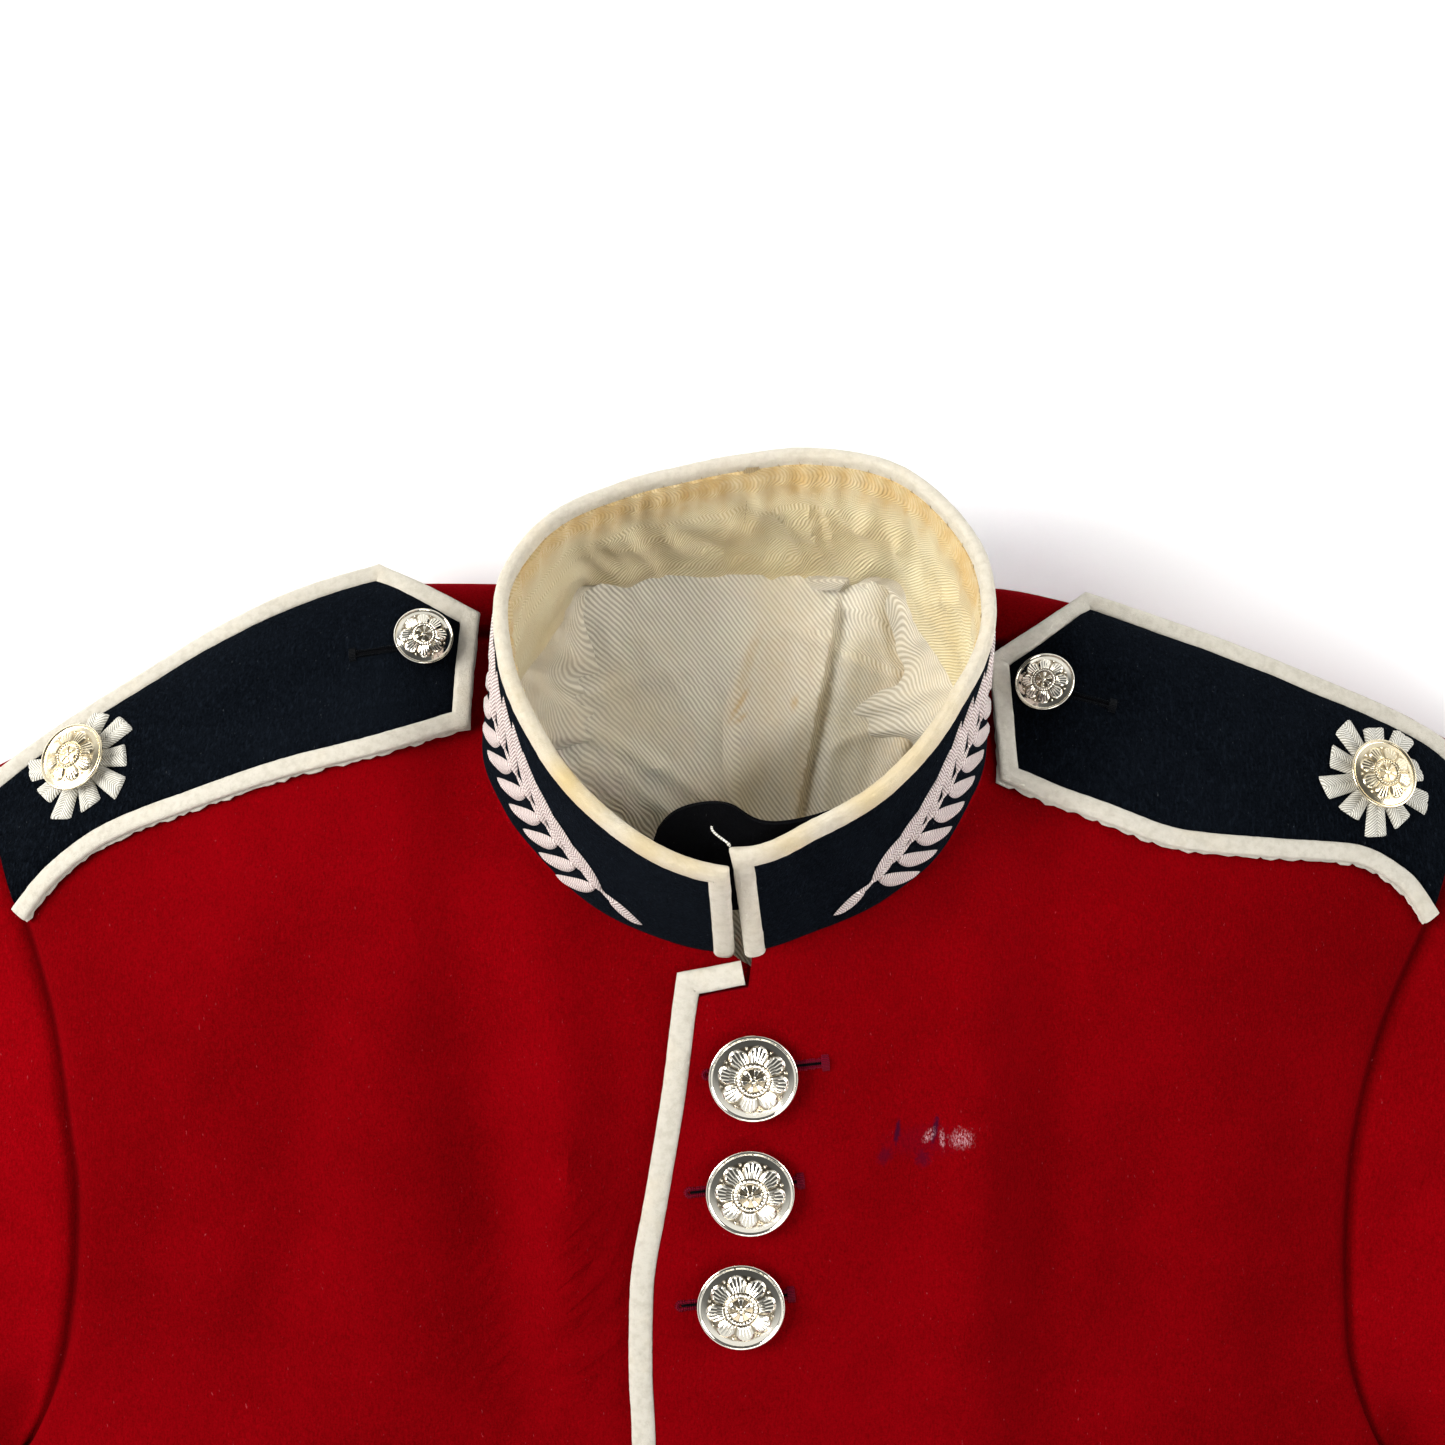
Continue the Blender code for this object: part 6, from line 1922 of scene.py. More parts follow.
        # Painted shade in the hollows between the gathers.
        hollows = 0.5 * (0.5 - 0.5 * gathers) ** 1.5 * hump(level, 0.90, 0.20)
        gathers = (1.3 + 0.7 * np.sin(round_it / 47 + 1)) * (0.5 + 0.5 * gathers) ** 1.5 * hump(level, 0.88, 0.20)
        slanting = middle + np.array([0.0, 0.0, 1.4]) * middle[:, :, :1]
        soft = 1.2 * (1 + waves(slanting, 17, 21)) * hump(level, 0.52, 0.30)
        sharp = 2.4 * (1 - np.minimum(np.abs(waves(slanting, 30, 24)), 1)) ** 4 * hump(level, 0.50, 0.42)
        puff = 2.2 * (1 + waves(middle * np.array([1, 1, 0.3]), 24, 22)) * hump(level, 0.14, 0.16)
        behind = 0.35 + 0.65 * hump(share, 0.5, 0.34)
        rise = 0.65 + gathers + (soft + sharp + puff) * behind + 2.4 * hump(level, 0, 0.07) * hump(share, 0.5, 0.42)
        outer = middle - normals * (self.wall / 2 + 0.05)
        inner = middle - normals * (self.wall / 2 + rise)[:, :, None]
        # The mark: real yellowing under the edging, plus the painted shade of the gather hollows.
        stain_and_shade = ease(0.64, 0.94, level) * (0.78 + 0.34 * waves(middle, 14, 23)) * (0.4 + 0.6 * behind)
        stain_and_shade = stain_and_shade * 0.8 + 0.14 * (1 + waves(middle, 20, 25)) + hollows * behind
        soup = Soup()
        soup.shell(inner, outer, marks=np.clip(stain_and_shade, 0, 1))
        made = soup.piece("collar_lining", COLLAR_TWILL, ("collar_lining",))
        self.whip_stitches(middle, normals)
        LOG.info("collar lining: gathered twill")
        return made

    def whip_stitches(self, middle: Array, normals: Array) -> None:
        """Small hand stitches that hold the lining under the edging, and the tack at the centre back.

        Args:
            middle: Middle points of the wall.
            normals: Directions out of the wall.
        """
        soup = Soup()
        pick = np.random.default_rng(5)
        for i in range(14, self.steps - 14, 4):
            at = middle[i, -1] - normals[i, -1] * (self.wall / 2 + 0.8)
            up = unit(middle[i, -1] - middle[i, -2])
            along = unit(middle[i + 1, -1] - middle[i - 1, -1])
            lead = unit(up + along * pick.uniform(0.2, 0.9))
            stitch(soup, at - lead * 0.5, at + lead * 1.1, -normals[i, -1], 0.16)
        back = self.steps // 2
        at = middle[back, -1] - normals[back, -1] * (self.wall / 2 + 1.2)
        along = unit(middle[back + 1, -1] - middle[back - 1, -1])
        up = unit(middle[back, -1] - middle[back, -2])
        for k in range(5):
            lift = up * (k * 0.35 - 0.2)
            stitch(soup, at - along * 2.6 + lift, at + along * (2.4 - 0.3 * k) + lift * 1.4, -normals[back, -1], 0.22)
        for k in range(24):
            p = middle[back, 25 - k] - normals[back, 25 - k] * (self.wall / 2 + 2.0 - 1.2 * abs(k / 24 - 0.5))
            q = middle[back, 24 - k] - normals[back, 24 - k] * (self.wall / 2 + 2.0 - 1.2 * abs(k / 24 - 0.5))
            stitch(soup, p * 0.95 + q * 0.05, p * 0.3 + q * 0.7, -normals[back, 20], 0.13)
        soup.piece("collar_lining_stitches", TAN_THREAD)

    @staticmethod
    def loose_end() -> None:
        """A short end of white thread that curls out beside the collar's opening."""
        t = np.linspace(0, 1, 26)
        path = np.array([-3.6, -32.4, 105.6]) + np.column_stack([
            3.2 * np.sin(5.2 * t) * t - 1.5 * t, 3.4 * t - 1.6 * np.sin(4.0 * t), 3.6 * np.sin(math.pi * t)])
        leads = unit(np.tile([0.3, 0.2, 1.0], (26, 1)))
        soup = Soup()
        sweep(soup, path, leads, round_profile(0.6, 0.55, 0.0, 8))
        soup.piece("loose_thread_end", STAR_THREAD)

    def tongue(self) -> Piece:
        """Black felt tongue that stands behind the collar's opening.

        Returns:
            The dressed piece.
        """
        table = np.array(self.tongue_line)
        at = np.linspace(0, len(table) - 1, 90)
        low_a, low_h, high_a, high_h, lean = (follow(range(len(table)), table[:, k], at) for k in range(5))
        offset = self.wall / 2 + GAP + 1.0 + 0.7 + GAP
        low_n, high_n = NECK.normal(low_a % 360, low_h), NECK.normal(high_a % 360, high_h)
        low = NECK.point(low_a % 360, low_h) - low_n * offset
        high = NECK.point(high_a % 360, high_h) - high_n * (offset + lean)[:, None]
        share = np.linspace(0, 1, 15)[None, :, None]
        grid = low[:, None] * (1 - share) + high[:, None] * share
        for _ in range(60):
            grid[1:-1] = grid[1:-1] * 0.5 + (grid[:-2] + grid[2:]) * 0.25
        step = grid_normals(grid)
        step *= np.sign(np.sum(step * np.array([0.0, 1.0, -0.5]), axis=2))[:, :, None]
        soup = Soup()
        soup.shell(grid, grid + step * self.tongue_thick)
        made = soup.piece("collar_tongue", BLACK, ("collar_tongue",))
        LOG.info("collar tongue: black felt")
        return made


def stitch(soup: Soup, start: Array, end: Array, up: Array, thick: float) -> None:
    """One thread that bows up from the cloth between two holes.

    Args:
        soup: Where the points and faces go.
        start: Where the thread comes out.
        end: Where it goes back in.
        up: Direction away from the cloth.
        thick: Half its thickness.
    """
    t = np.linspace(0, 1, 5)[:, None]
    line = start * (1 - t) + end * t + up * (np.sin(math.pi * t) * thick * 1.1 - 0.12)
    along = unit(end - start)
    across = unit(np.cross(along, up))
    turn = np.linspace(0, TAU, 6, endpoint=False)
    swell = (0.55 + 0.45 * np.sin(math.pi * t))[:, :, None] * thick
    ring = np.cos(turn)[None, :, None] * across + np.sin(turn)[None, :, None] * up
    points = line[:, None] + ring * swell
    flats = np.zeros((5, 6, 2))
    flats[:, :, 1] = (t * np.linalg.norm(end - start)) + turn[None, :] * 0.07
    soup.tube(soup.add(points, flats), 5, 6)


@dataclass
class BackLining:
    """Lining of the upper back, as far as it shows through the neck."""

    half_width: float = 104.0
    low_y: float = -128.0
    columns: int = 190
    rows: int = 130
    crease_scale: float = 2.3
    creases: tuple[Fold, ...] = (
        Fold(-30, -12, 150, 26, 3.2, 1.2), Fold(-46, 8, 20, 24, 3.0, 0.9), Fold(-12, -48, 62, 30, 3.4, 1.3),
        Fold(-40, -44, 128, 26, 4.0, 1.0), Fold(8, -30, 75, 34, 3.6, 1.0), Fold(58, 2, 62, 26, 3.4, 2.0),
        Fold(66, -22, 100, 24, 3.2, 1.6), Fold(48, -48, 80, 34, 4.5, 1.1), Fold(-6, 18, 12, 22, 3.5, 0.7),
        Fold(-58, -30, 96, 28, 3.6, 1.1), Fold(20, -70, 90, 26, 4.0, 1.0),
    )
    # Marks in the twill's yellow-brown; the broad last one, right of the pleat, is painted shade.
    stains: tuple[Fold, ...] = (
        Fold(0.5, 6.2, 60, 7.0, 1.0, 0.9), Fold(3.0, 18.0, 70, 18.0, 2.2, 0.45), Fold(1.0, 1.5, 40, 3.0, 0.8, 0.8),
        Fold(17.6, 6.2, 80, 2.5, 1.0, 0.9), Fold(12, 20, 80, 26, 9, 0.28), Fold(22, 24, 90, 20, 8, 0.24),
        Fold(-52, -30, 60, 12, 2, 0.25), Fold(20, -20, 90, 18, 3, 0.35), Fold(60, -6, 95, 64, 18, 0.55),
    )

    def height(self, x: Array, y: Array) -> Array:
        """Rise of the pleat, the creases and the soft waves over the cloth.

        Args:
            x: X of the points.
            y: Y of the points.

        Returns:
            One height a point.
        """
        lean = 33 - (48 - y) * 0.19
        pleat = 4.2 * ease(-17, -0.6, x - lean) ** 1.5 * ease(1.8, 0.0, x - lean)
        step = 2.2 * ease(2.5, 8.0, x - lean) * ease(24, 9, x - lean)
        wave = 1.1 * hump(x, 52, 7) * (1 + np.sin(y / 14)) + 0.8 * hump(x, -24, 12) * (1 + np.sin(y / 17 + 1))
        creases = self.crease_scale * fold_rise(self.creases, x, y)
        return (pleat + step + wave + creases) * ease(-130, -90, y) * (0.25 + 0.75 * ease(50, 38, y))

    @staticmethod
    def rumple(grid: Array) -> Array:
        """Small uneven waves of the loose lining.

        Args:
            grid: Points in rows and columns.

        Returns:
            One height a point.
        """
        fine = 0.35 * waves(grid * np.array([1, 0.5, 0]), 9, 31)
        fine = fine + 0.6 * waves(grid * FLAT, 26, 32)
        sharp = (1 - np.minimum(np.abs(waves(grid * np.array([1, 0.8, 0]), 58, 33)), 1)) ** 5
        sharp = sharp + 0.8 * (1 - np.minimum(np.abs(waves(grid * np.array([0.8, 1, 0]), 44, 34)), 1)) ** 5
        return (fine + 0.6) * 0.8 + 2.2 * sharp

    def level(self, x: Array, y: Array, share: Number = 1.0) -> Array:
        """Height of the lining's face where it lies on the back.

        Args:
            x: X of the points.
            y: Y of the points.
            share: Place from its top edge, where it has no pleat, to its low one.

        Returns:
            One height a point.
        """
        rise = 1.6 * ease(28, 46, y) + 3.0 * ease(30, 46, np.abs(x)) * ease(12, 34, y)
        return CLOTH + GAP + 1.0 + rise + self.height(x, y) * ease(0, 0.1, share)

    def neck_edge(self, soup: Soup) -> None:
        """The part that falls from the neck seam onto the back, inside the collar.

        Args:
            soup: Where the points and faces go.
        """
        angle = np.linspace(80, 280, 240)[:, None]
        share = np.linspace(0, 1, 26)[None, :]
        seam = NECK.seam(angle)
        inward = unit((np.array([0.0, NECK.seam_y, 0.0]) - seam) * FLAT)
        ends = ease(80, 100, angle) * ease(280, 260, angle)
        reach = (4.0 + 0.72 * seam[:, :, 2] * ends) * (1 + 0.22 * np.sin(angle * 0.31) * np.sin(angle * 0.117 + 1))
        foot = seam + inward * (2.0 + reach[:, :, None])
        low = self.level(foot[:, :, 0], foot[:, :, 1]) - 0.3
        points = seam + inward * (2.0 + reach * share)[:, :, None]
        points[:, :, 2] = low + (seam[:, :, 2] + 2.4 - low) * (1 - share) ** 2.3
        out = 0.9 * (1 + waves(points * np.array([1, 1, 0.4]), 15, 35)) * np.sin(math.pi * share)
        out += 0.6 * (1 + np.sin(angle * 0.9)) * hump(share, 0.15, 0.15)
        corner = hump(angle, 136, 17) + hump(angle, 224, 17)
        points[:, :, 2] += 2.5 * corner * (1 - share) ** 1.2
        points = points - inward * (1.4 * corner * (1 - share))[:, :, None]
        points = points + (inward * 0.7 + np.array([0, 0, 0.7])) * out[:, :, None]
        soup.shell(points, points - inward * 0.3 - np.array([0, 0, 0.7]),
                   marks=np.broadcast_to(0.25 * (1 - share), out.shape))

    def build(self) -> Piece:
        """The lining as one sheet on the back's cloth.

        Returns:
            The dressed piece.
        """
        x = np.linspace(-self.half_width, self.half_width, self.columns)
        top = 46.5 - 8.0 * ease(34, 56, np.abs(x)) - 34.0 * ease(52, 100, np.abs(x))
        share = np.linspace(0, 1, self.rows)[:, None]
        y = top + (self.low_y - top) * share
        xx = np.broadcast_to(x, y.shape)
        grid = np.stack([xx, y, self.level(xx, y, share)], axis=2)
        grid[:, :, 2] += self.rumple(grid)
        marks = np.max([np.zeros(y.shape)] + [stain_and_shade.height(xx, y) for stain_and_shade in self.stains], axis=0)
        soup = Soup()
        soup.shell(grid, grid - np.array([0, 0, 0.9]), flip=True, marks=marks)
        self.neck_edge(soup)
        made = soup.piece("lining_back", BACK_TWILL, ("lining_back",))
        LOG.info("back lining: pleated twill")
        return made


@dataclass
class FrontEdge:
    """White felt edging down the edge of the left front."""

    thick: float = 3.3

    def build(self, body: Body) -> Piece:
        """One mitred strip from the cut end under the collar to the hem.

        Args:
            body: Fronts, backs and skirts.

        Returns:
            The dressed piece.
        """
        half = body.piping / 2
        ys = [float(follow(body.inner_row, body.inner_y, r)) for r in body.front_at if r > 5.3]
        ys += list(np.linspace(body.waist_y, body.hem_y, 60)[1:])
        end_x, corner = np.array(body.tab_end), np.array(body.tab_corner)
        along = unit(end_x - corner)
        inside = np.array([along[1], -along[0]])
        end = end_x + inside * half
        corner_x = float(follow(body.edge_y, body.edge_x, corner[1] - half)) + half
        turn = end + along * (corner_x - end[0]) / along[0]
        plan = [end, end * 0.5 + turn * 0.5, turn]
        plan += [np.array([float(follow(body.edge_y, body.edge_x, y)) + half, y]) for y in ys]
        path = np.array([[x, y, float(body.chest(y))] for x, y in plan])
        slope = [-(float(body.chest(y + 1)) - float(body.chest(y - 1))) / 2 for _, y in plan]
        leads = unit(np.array([[0, s, 1.0] for s in slope]))
        path, leads = resample(path, leads, 1.6)
        soup = Soup()
        profile = round_profile(body.piping + 0.7, self.thick, 2 * GAP - 0.1, 18)
        sweep(soup, path, leads, profile, 0.05, 17, np.full(len(path), 0.03))
        made = soup.piece("front_edging", FELT, ("front_edging",), 70)
        LOG.info("front edging: mitred felt strip")
        return made


# Shoulder straps


@dataclass
class Straps:
    """Navy shoulder straps with white felt edging."""

    cloth: float = 2.6
    piping: float = 5.2
    piping_thick: float = 3.4
    rows: int = 73
    columns: int = 31
    along_at: Row = (0, 0.2, 0.4, 0.6, 0.8, 0.92, 1)
    front_line: dict[Side, tuple[Row, Row]] = field(default_factory=lambda: {
        Side.RIGHT: ((-80.5, -105, -131, -158, -184, -201, -211.5), (-2.3, -9.5, -16, -25, -35, -47, -59)),
        Side.LEFT: ((75.5, 101, 127, 153, 178, 194, 202.5), (-18.3, -27.5, -36.5, -39, -41, -49, -60)),
    })
    back_line: dict[Side, tuple[Row, Row]] = field(default_factory=lambda: {
        Side.RIGHT: ((-110, -135, -158, -181, -206, -222, -230), (46.5, 38.5, 27.5, 13.5, -2, -13, -19)),
        Side.LEFT: ((105, 128, 152, 175, 199, 213, 220.5), (37.5, 29.5, 21, 12, 2, -6, -14)),
    })
    apex: dict[Side, Pair] = field(default_factory=lambda: {
        Side.RIGHT: (-77.5, 32.0), Side.LEFT: (74.2, 19.3),
    })
    tops: dict[Side, Array] = field(default_factory=dict)

    def plan(self, side: Side, along: Array, across: Array) -> Array:
        """Plan points: along from the pointed end to the armhole, across from front to back.

        Args:
            side: Which side of the tunic.
            along: Share of the way from the pointed end.
            across: Share of the way from front to back.

        Returns:
            X and Y of each point.
        """
        front = np.stack([follow(self.along_at, k, along) for k in self.front_line[side]], axis=-1)
        back = np.stack([follow(self.along_at, k, along) for k in self.back_line[side]], axis=-1)
        points = front + (back - front) * across[..., None]
        ends = np.array([[k[0] for k in self.front_line[side]], [k[0] for k in self.back_line[side]]])
        out = np.array(self.apex[side]) - ends.mean(axis=0)
        reach = (1 - np.abs(2 * across - 1)) * np.clip(1 - along / 0.28, 0, 1)
        return points + out * reach[..., None]

    def face(self, side: Side, seat: Seat) -> Array:
        """The face that a strap lies on: the cloth's heights, smoothed and never under them.

        Args:
            side: Which side of the tunic.
            seat: The cloth that it lies on.

        Returns:
            Points in rows and columns.
        """
        along, across = np.meshgrid(np.linspace(0, 1, self.rows), np.linspace(0, 1, self.columns), indexing="ij")
        plan = self.plan(side, along, across)
        z = np.array([[seat.under(*p)[0][2] for p in row] for row in plan])
        smooth = z.copy()
        for _ in range(3):
            for _ in range(10):
                smooth = (beside(smooth) + 2 * smooth) / 6
            smooth = np.maximum(smooth, z)
        return np.dstack([plan, smooth])

    def inset(self, grid: Array, by: float, point_by: float) -> Array:
        """A strap's grid drawn in from both its long edges, and from its pointed end.

        Args:
            grid: Points in rows and columns.
            by: Distance from both long edges.
            point_by: Distance from the pointed end.

        Returns:
            The smaller grid.
        """
        rows, columns = grid.shape[:2]
        length = float(np.linalg.norm(grid[0, columns // 2] - grid[-1, columns // 2]))
        width = np.linalg.norm(grid[:, 0] - grid[:, -1], axis=1)
        made = np.zeros_like(grid)
        for i in range(rows):
            r = point_by / length * (rows - 1) + (1 - point_by / length) * i
            a = int(min(r, rows - 2))
            s = r - a
            share = by / width[i]
            c = (share + (1 - 2 * share) * np.arange(columns) / (columns - 1)) * (columns - 1)
            b = np.minimum(c.astype(int), columns - 2)
            t = (c - b)[:, None]
            line = grid[a] * (1 - s) + grid[a + 1] * s
            made[i] = line[b] * (1 - t) + line[b + 1] * t
        return made

    def build(self, seat: Seat) -> None:
        """Both straps: cloth, edging and its ragged under ply.

        Args:
            seat: The cloth that it lies on.
        """
        for side in Side:
            face = self.face(side, seat)
            normals = grid_normals(face)
            normals *= np.sign(normals[:, :, 2:])
            base = face + normals * (GAP + 0.45)
            cloth = self.inset(base, self.piping - 0.1, self.piping * 1.15 - 0.1)
            lead = grid_normals(cloth)
            outward = 1 if lead[5, 5, 2] > 0 else -1
            lead *= outward
            down, across = np.arange(self.rows)[:, None], np.arange(self.columns)[None, :]
            from_edge = np.minimum(down * 2.2, np.minimum(across, self.columns - 1 - across) * 1.6)
            sink = hump(from_edge, 0, 1.3)
            nap = 0.08 * waves(cloth, 5, 41) + 0.15 * waves(cloth, 24, 42)
            top = cloth + lead * (self.cloth - sink + nap)[:, :, None]
            soup = Soup()
            soup.shell(top, cloth, flip=outward < 0)
            strap = soup.piece(f"strap_{side.word}", NAVY, (f"strap_{side.word}",))
            self.tops[side] = top
            edging = self.edge(side, base, normals)
            f"front_{side.word}"
            f"back_{side.word}"
            LOG.info("strap %s: cloth and two-ply edging", side.word)

    def edge(self, side: Side, base: Array, normals: Array) -> Piece:
        """White edging round three sides of a strap.

        Args:
            side: Which side of the tunic.
            base: Points of the strap's low face.
            normals: Directions out of it.

        Returns:
            The dressed piece.
        """
        line = self.inset(base, self.piping / 2, self.piping / 2 * 1.1)
        last, wide = self.rows - 1, self.columns
        middle = wide // 2
        marks = [(i, 0) for i in range(last, 0, -2)] + [(0, j) for j in (0, middle // 2, middle)]
        marks += [(0, j) for j in (middle + middle // 2, wide - 1)] + [(i, -1) for i in range(2, last + 1, 2)]
        path = np.array([line[i, j] for i, j in marks])
        lead = np.array([normals[i, j] for i, j in marks])
        path, lead = resample(path, lead, 1.25)
        across = strip_sides(path, lead)
        centre = line[self.rows // 2, middle]
        sign = 1 if np.sum(across[20] * (path[20] - centre)) > 0 else -1
        length = run(path)
        worn = ease(168, 130, length)
        ragged = worn * (0.30 + 0.55 * np.clip(waves(path, 3.4, 51), -0.6, 1))
        profile = round_profile(self.piping + 0.4, self.piping_thick - 1.0, 0.95, 18)
        under = round_profile(self.piping + 0.3, 1.4, -0.25, 14)
        if sign < 0:
            profile[:, 0], under[:, 0] = -profile[:, 0], -under[:, 0]
        soup = Soup()
        sweep(soup, path, lead, profile, 0.05, 61 + side.value, np.full(len(path), 0.05))
        shifted = path + across * (sign * ragged)[:, None]
        sweep(soup, shifted, lead, under, 0.10, 71 + side.value, np.full(len(path), 0.02))
        return soup.piece(f"strap_edging_{side.word}", FELT, (f"strap_edging_{side.word}",), 70)


# Buttons and stitched buttonholes


@dataclass
class Buttons:
    """Polished buttons with a plain rim and a generic rosette of fluted shells, and their buttonholes."""

    large: float = 25.4
    star: float = 21.0
    small: float = 17.5
    stitch: float = 0.62
    front_y: Row = (-100, -133.5, -167, -240, -273.5, -307, -374, -407.5, -441)
    spins: Row = (0.21, 1.1, 0.55, 0.9, 0.1, 1.4, 0.7, 0.3, 1.0)
    strap_at: dict[Side, Pair] = field(default_factory=lambda: {
        Side.RIGHT: (-94.0, 24.5), Side.LEFT: (90.5, 11.0),
    })
    strap_bar: dict[Side, Pair] = field(default_factory=lambda: {
        Side.RIGHT: (-114.0, 20.0), Side.LEFT: (108.5, 5.0),
    })
    meshes: dict[tuple[float, str], bpy.types.Mesh] = field(default_factory=dict)

    @staticmethod
    def relief(r: Array, turn: Array) -> Array:
        """Height of the stamped design, from 0 to 1, where r is a share of the radius.

        Args:
            r: Shares of the radius.
            turn: Angles in radians.

        Returns:
            One height for each.
        """
        rope = hump(r, 0.335, 0.035) * (0.75 + 0.25 * np.sin(turn * 26))
        petals = ease(0.0, 0.35, np.cos(turn * 6)) * ease(0.05, 0.10, r) * ease(0.29, 0.24, r) * 0.9
        boss = ease(0.085, 0.04, r) * 1.1
        sector = (turn * 8 / (TAU)) % 1 - 0.5
        tip = 0.765 - 0.22 * np.abs(sector * 2) ** 2.2
        fan = ease(0.39, 0.42, r) * ease(tip + 0.022, tip - 0.012, r) * ease(0.47, 0.41, np.abs(sector))
        flutes = 0.55 + 0.45 * np.cos(sector * TAU * 6)
        pellet_r = np.hypot((r - 0.735) / 0.035, (np.abs(sector) - 0.5) * TAU / 8 * 0.735 / 0.035)
        pellets = ease(1.1, 0.3, pellet_r)
        return np.maximum.reduce([rope, petals, boss, fan * (0.45 + 0.55 * flutes), pellets * 0.9])

    def mesh(self, diameter: float, metal: Finish) -> bpy.types.Mesh:
        """A button's mesh in metres, seated at its own origin.

        Args:
            diameter: Width over the rim in millimetres.
            metal: Its finish.

        Returns:
            The mesh, made once for each size and finish.
        """
        if (diameter, metal.name) in self.meshes:
            return self.meshes[diameter, metal.name]
        radius = diameter / 2
        sides = 144
        turn = np.linspace(0, TAU, sides, endpoint=False)
        face_r = np.concatenate([[0.008], np.linspace(0.03, 0.80, 52), np.linspace(0.83, 0.9, 5)])
        r, t = np.meshgrid(face_r, turn, indexing="ij")
        raised = self.relief(r, t)
        height = 3.15 + 1.9 * (1 - (r / 0.9) ** 2) + raised * 0.55 * radius / 12.7
        rings = [np.dstack([r * radius * np.cos(t), r * radius * np.sin(t), height])]
        rim_r = np.array([0.915, 0.93, 0.95, 0.972, 0.99, 1.0, 1.0, 0.985, 0.95, 0.90, 0.5, 0.16, 0.15, 0.14, 0.002])
        rim_z = np.array([3.2, 3.38, 3.5, 3.46, 3.3, 3.05, 2.8, 2.5, 2.25, 2.1, 1.95, 1.8, 1.2, 0.2, 0.05])
        r, t = np.meshgrid(rim_r, turn, indexing="ij")
        rings.append(np.dstack([r * radius * np.cos(t), r * radius * np.sin(t), np.repeat(rim_z[:, None], sides, 1)]))
        points = np.vstack(rings)
        marks = np.zeros(points.shape[:2])
        marks[:len(face_r)] = 0.9 * ease(0.6, 0.1, raised) * ease(0.80, 0.74, face_r)[:, None]
        soup = Soup()
        soup.tube(soup.add(points - PLACE, points[:, :, :2], marks), *points.shape[:2], flip=True)
        made = soup.piece("button_blank", metal, (), 32)
        self.meshes[diameter, metal.name] = made.data
        bpy.data.objects.remove(made)
        return self.meshes[diameter, metal.name]

    def place(self, name: str, diameter: float, point: Array, normal: Array, spin: float,
              metal: Finish = METAL) -> None:
        """Seats a button on the cloth.

        Args:
            name: Name of the piece.
            diameter: Diameter of the button.
            point: Point of the cloth.
            normal: Direction out of the cloth.
            spin: Turn about the normal in radians.
            metal: What it is made of.
        """
        made = link(name + "_dressed", self.mesh(diameter, metal))
        at = (point + normal * GAP + PLACE) * MM
        made.matrix_world = Matrix.Translation(Vector(at)) @ basis(normal, spin)
        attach(made, "root")
        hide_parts(name)

    def hole(self, name: str, seat: Seat, start: Pair, end: Pair, finish: Finish,
             half: float = 1.5) -> None:
        """A worked buttonhole: a black sheet along its slit as painted shade, stitches over both its edges, a bar and
        a round eye.

        Args:
            name: Name of the piece.
            seat: The cloth it is worked in.
            start: Plan point of the eye.
            end: Plan point of the barred end.
            finish: Thread.
            half: Reach of the stitches from the slit.
        """
        soup = Soup()
        start, end = np.array(start, float), np.array(end, float)
        along = unit(end - start)
        across = np.array([-along[1], along[0]])
        length = float(np.linalg.norm(end - start))
        pick = np.random.default_rng(9)

        def lay(plan: Array, lift: float) -> Array:
            """A plan point on the cloth, lifted off it."""
            hit, normal = seat.under(float(plan[0]), float(plan[1]))
            return hit + normal * lift

        def up(plan: Array) -> Array:
            """Direction out of the cloth."""
            return seat.under(float(plan[0]), float(plan[1]))[1]

        for k in range(int(length / self.stitch)):
            s = 0.3 + k * self.stitch
            for sign in (-1, 1):
                a = start + along * s + across * sign * 0.35
                b = start + along * (s + pick.uniform(-0.12, 0.12)) + across * sign * (half + pick.uniform(-0.15, 0.2))
                stitch(soup, lay(a, 0.15), lay(b, 0.1), up(a), 0.30)
        for k in range(8):
            turn = math.pi * (0.5 + k / 7)
            way = along * math.cos(turn) + across * math.sin(turn)
            a, b = start + way * 0.55, start + way * (half + 0.3)
            stitch(soup, lay(a, 0.15), lay(b, 0.1), up(a), 0.30)
        for k in range(5):
            p = end + along * (k * 0.42 - 0.4)
            wide = across * (half + 0.9)
            stitch(soup, lay(p - wide, 0.2), lay(p + wide, 0.2), up(p), 0.32)
        soup.piece(name, finish)
        # Painted shade: a black sheet lies along the slit where the cut would be in shade.
        slit = Soup()
        t = np.linspace(0, 1, 24)
        grid = np.array([[lay(start + along * length * s + across * w, 0.07) for w in (-0.42, 0, 0.42)] for s in t])
        first = slit.add(grid)
        slit.weave(first, 24, 3, flip=True)
        slit.piece(name + "_slit", BLACK)

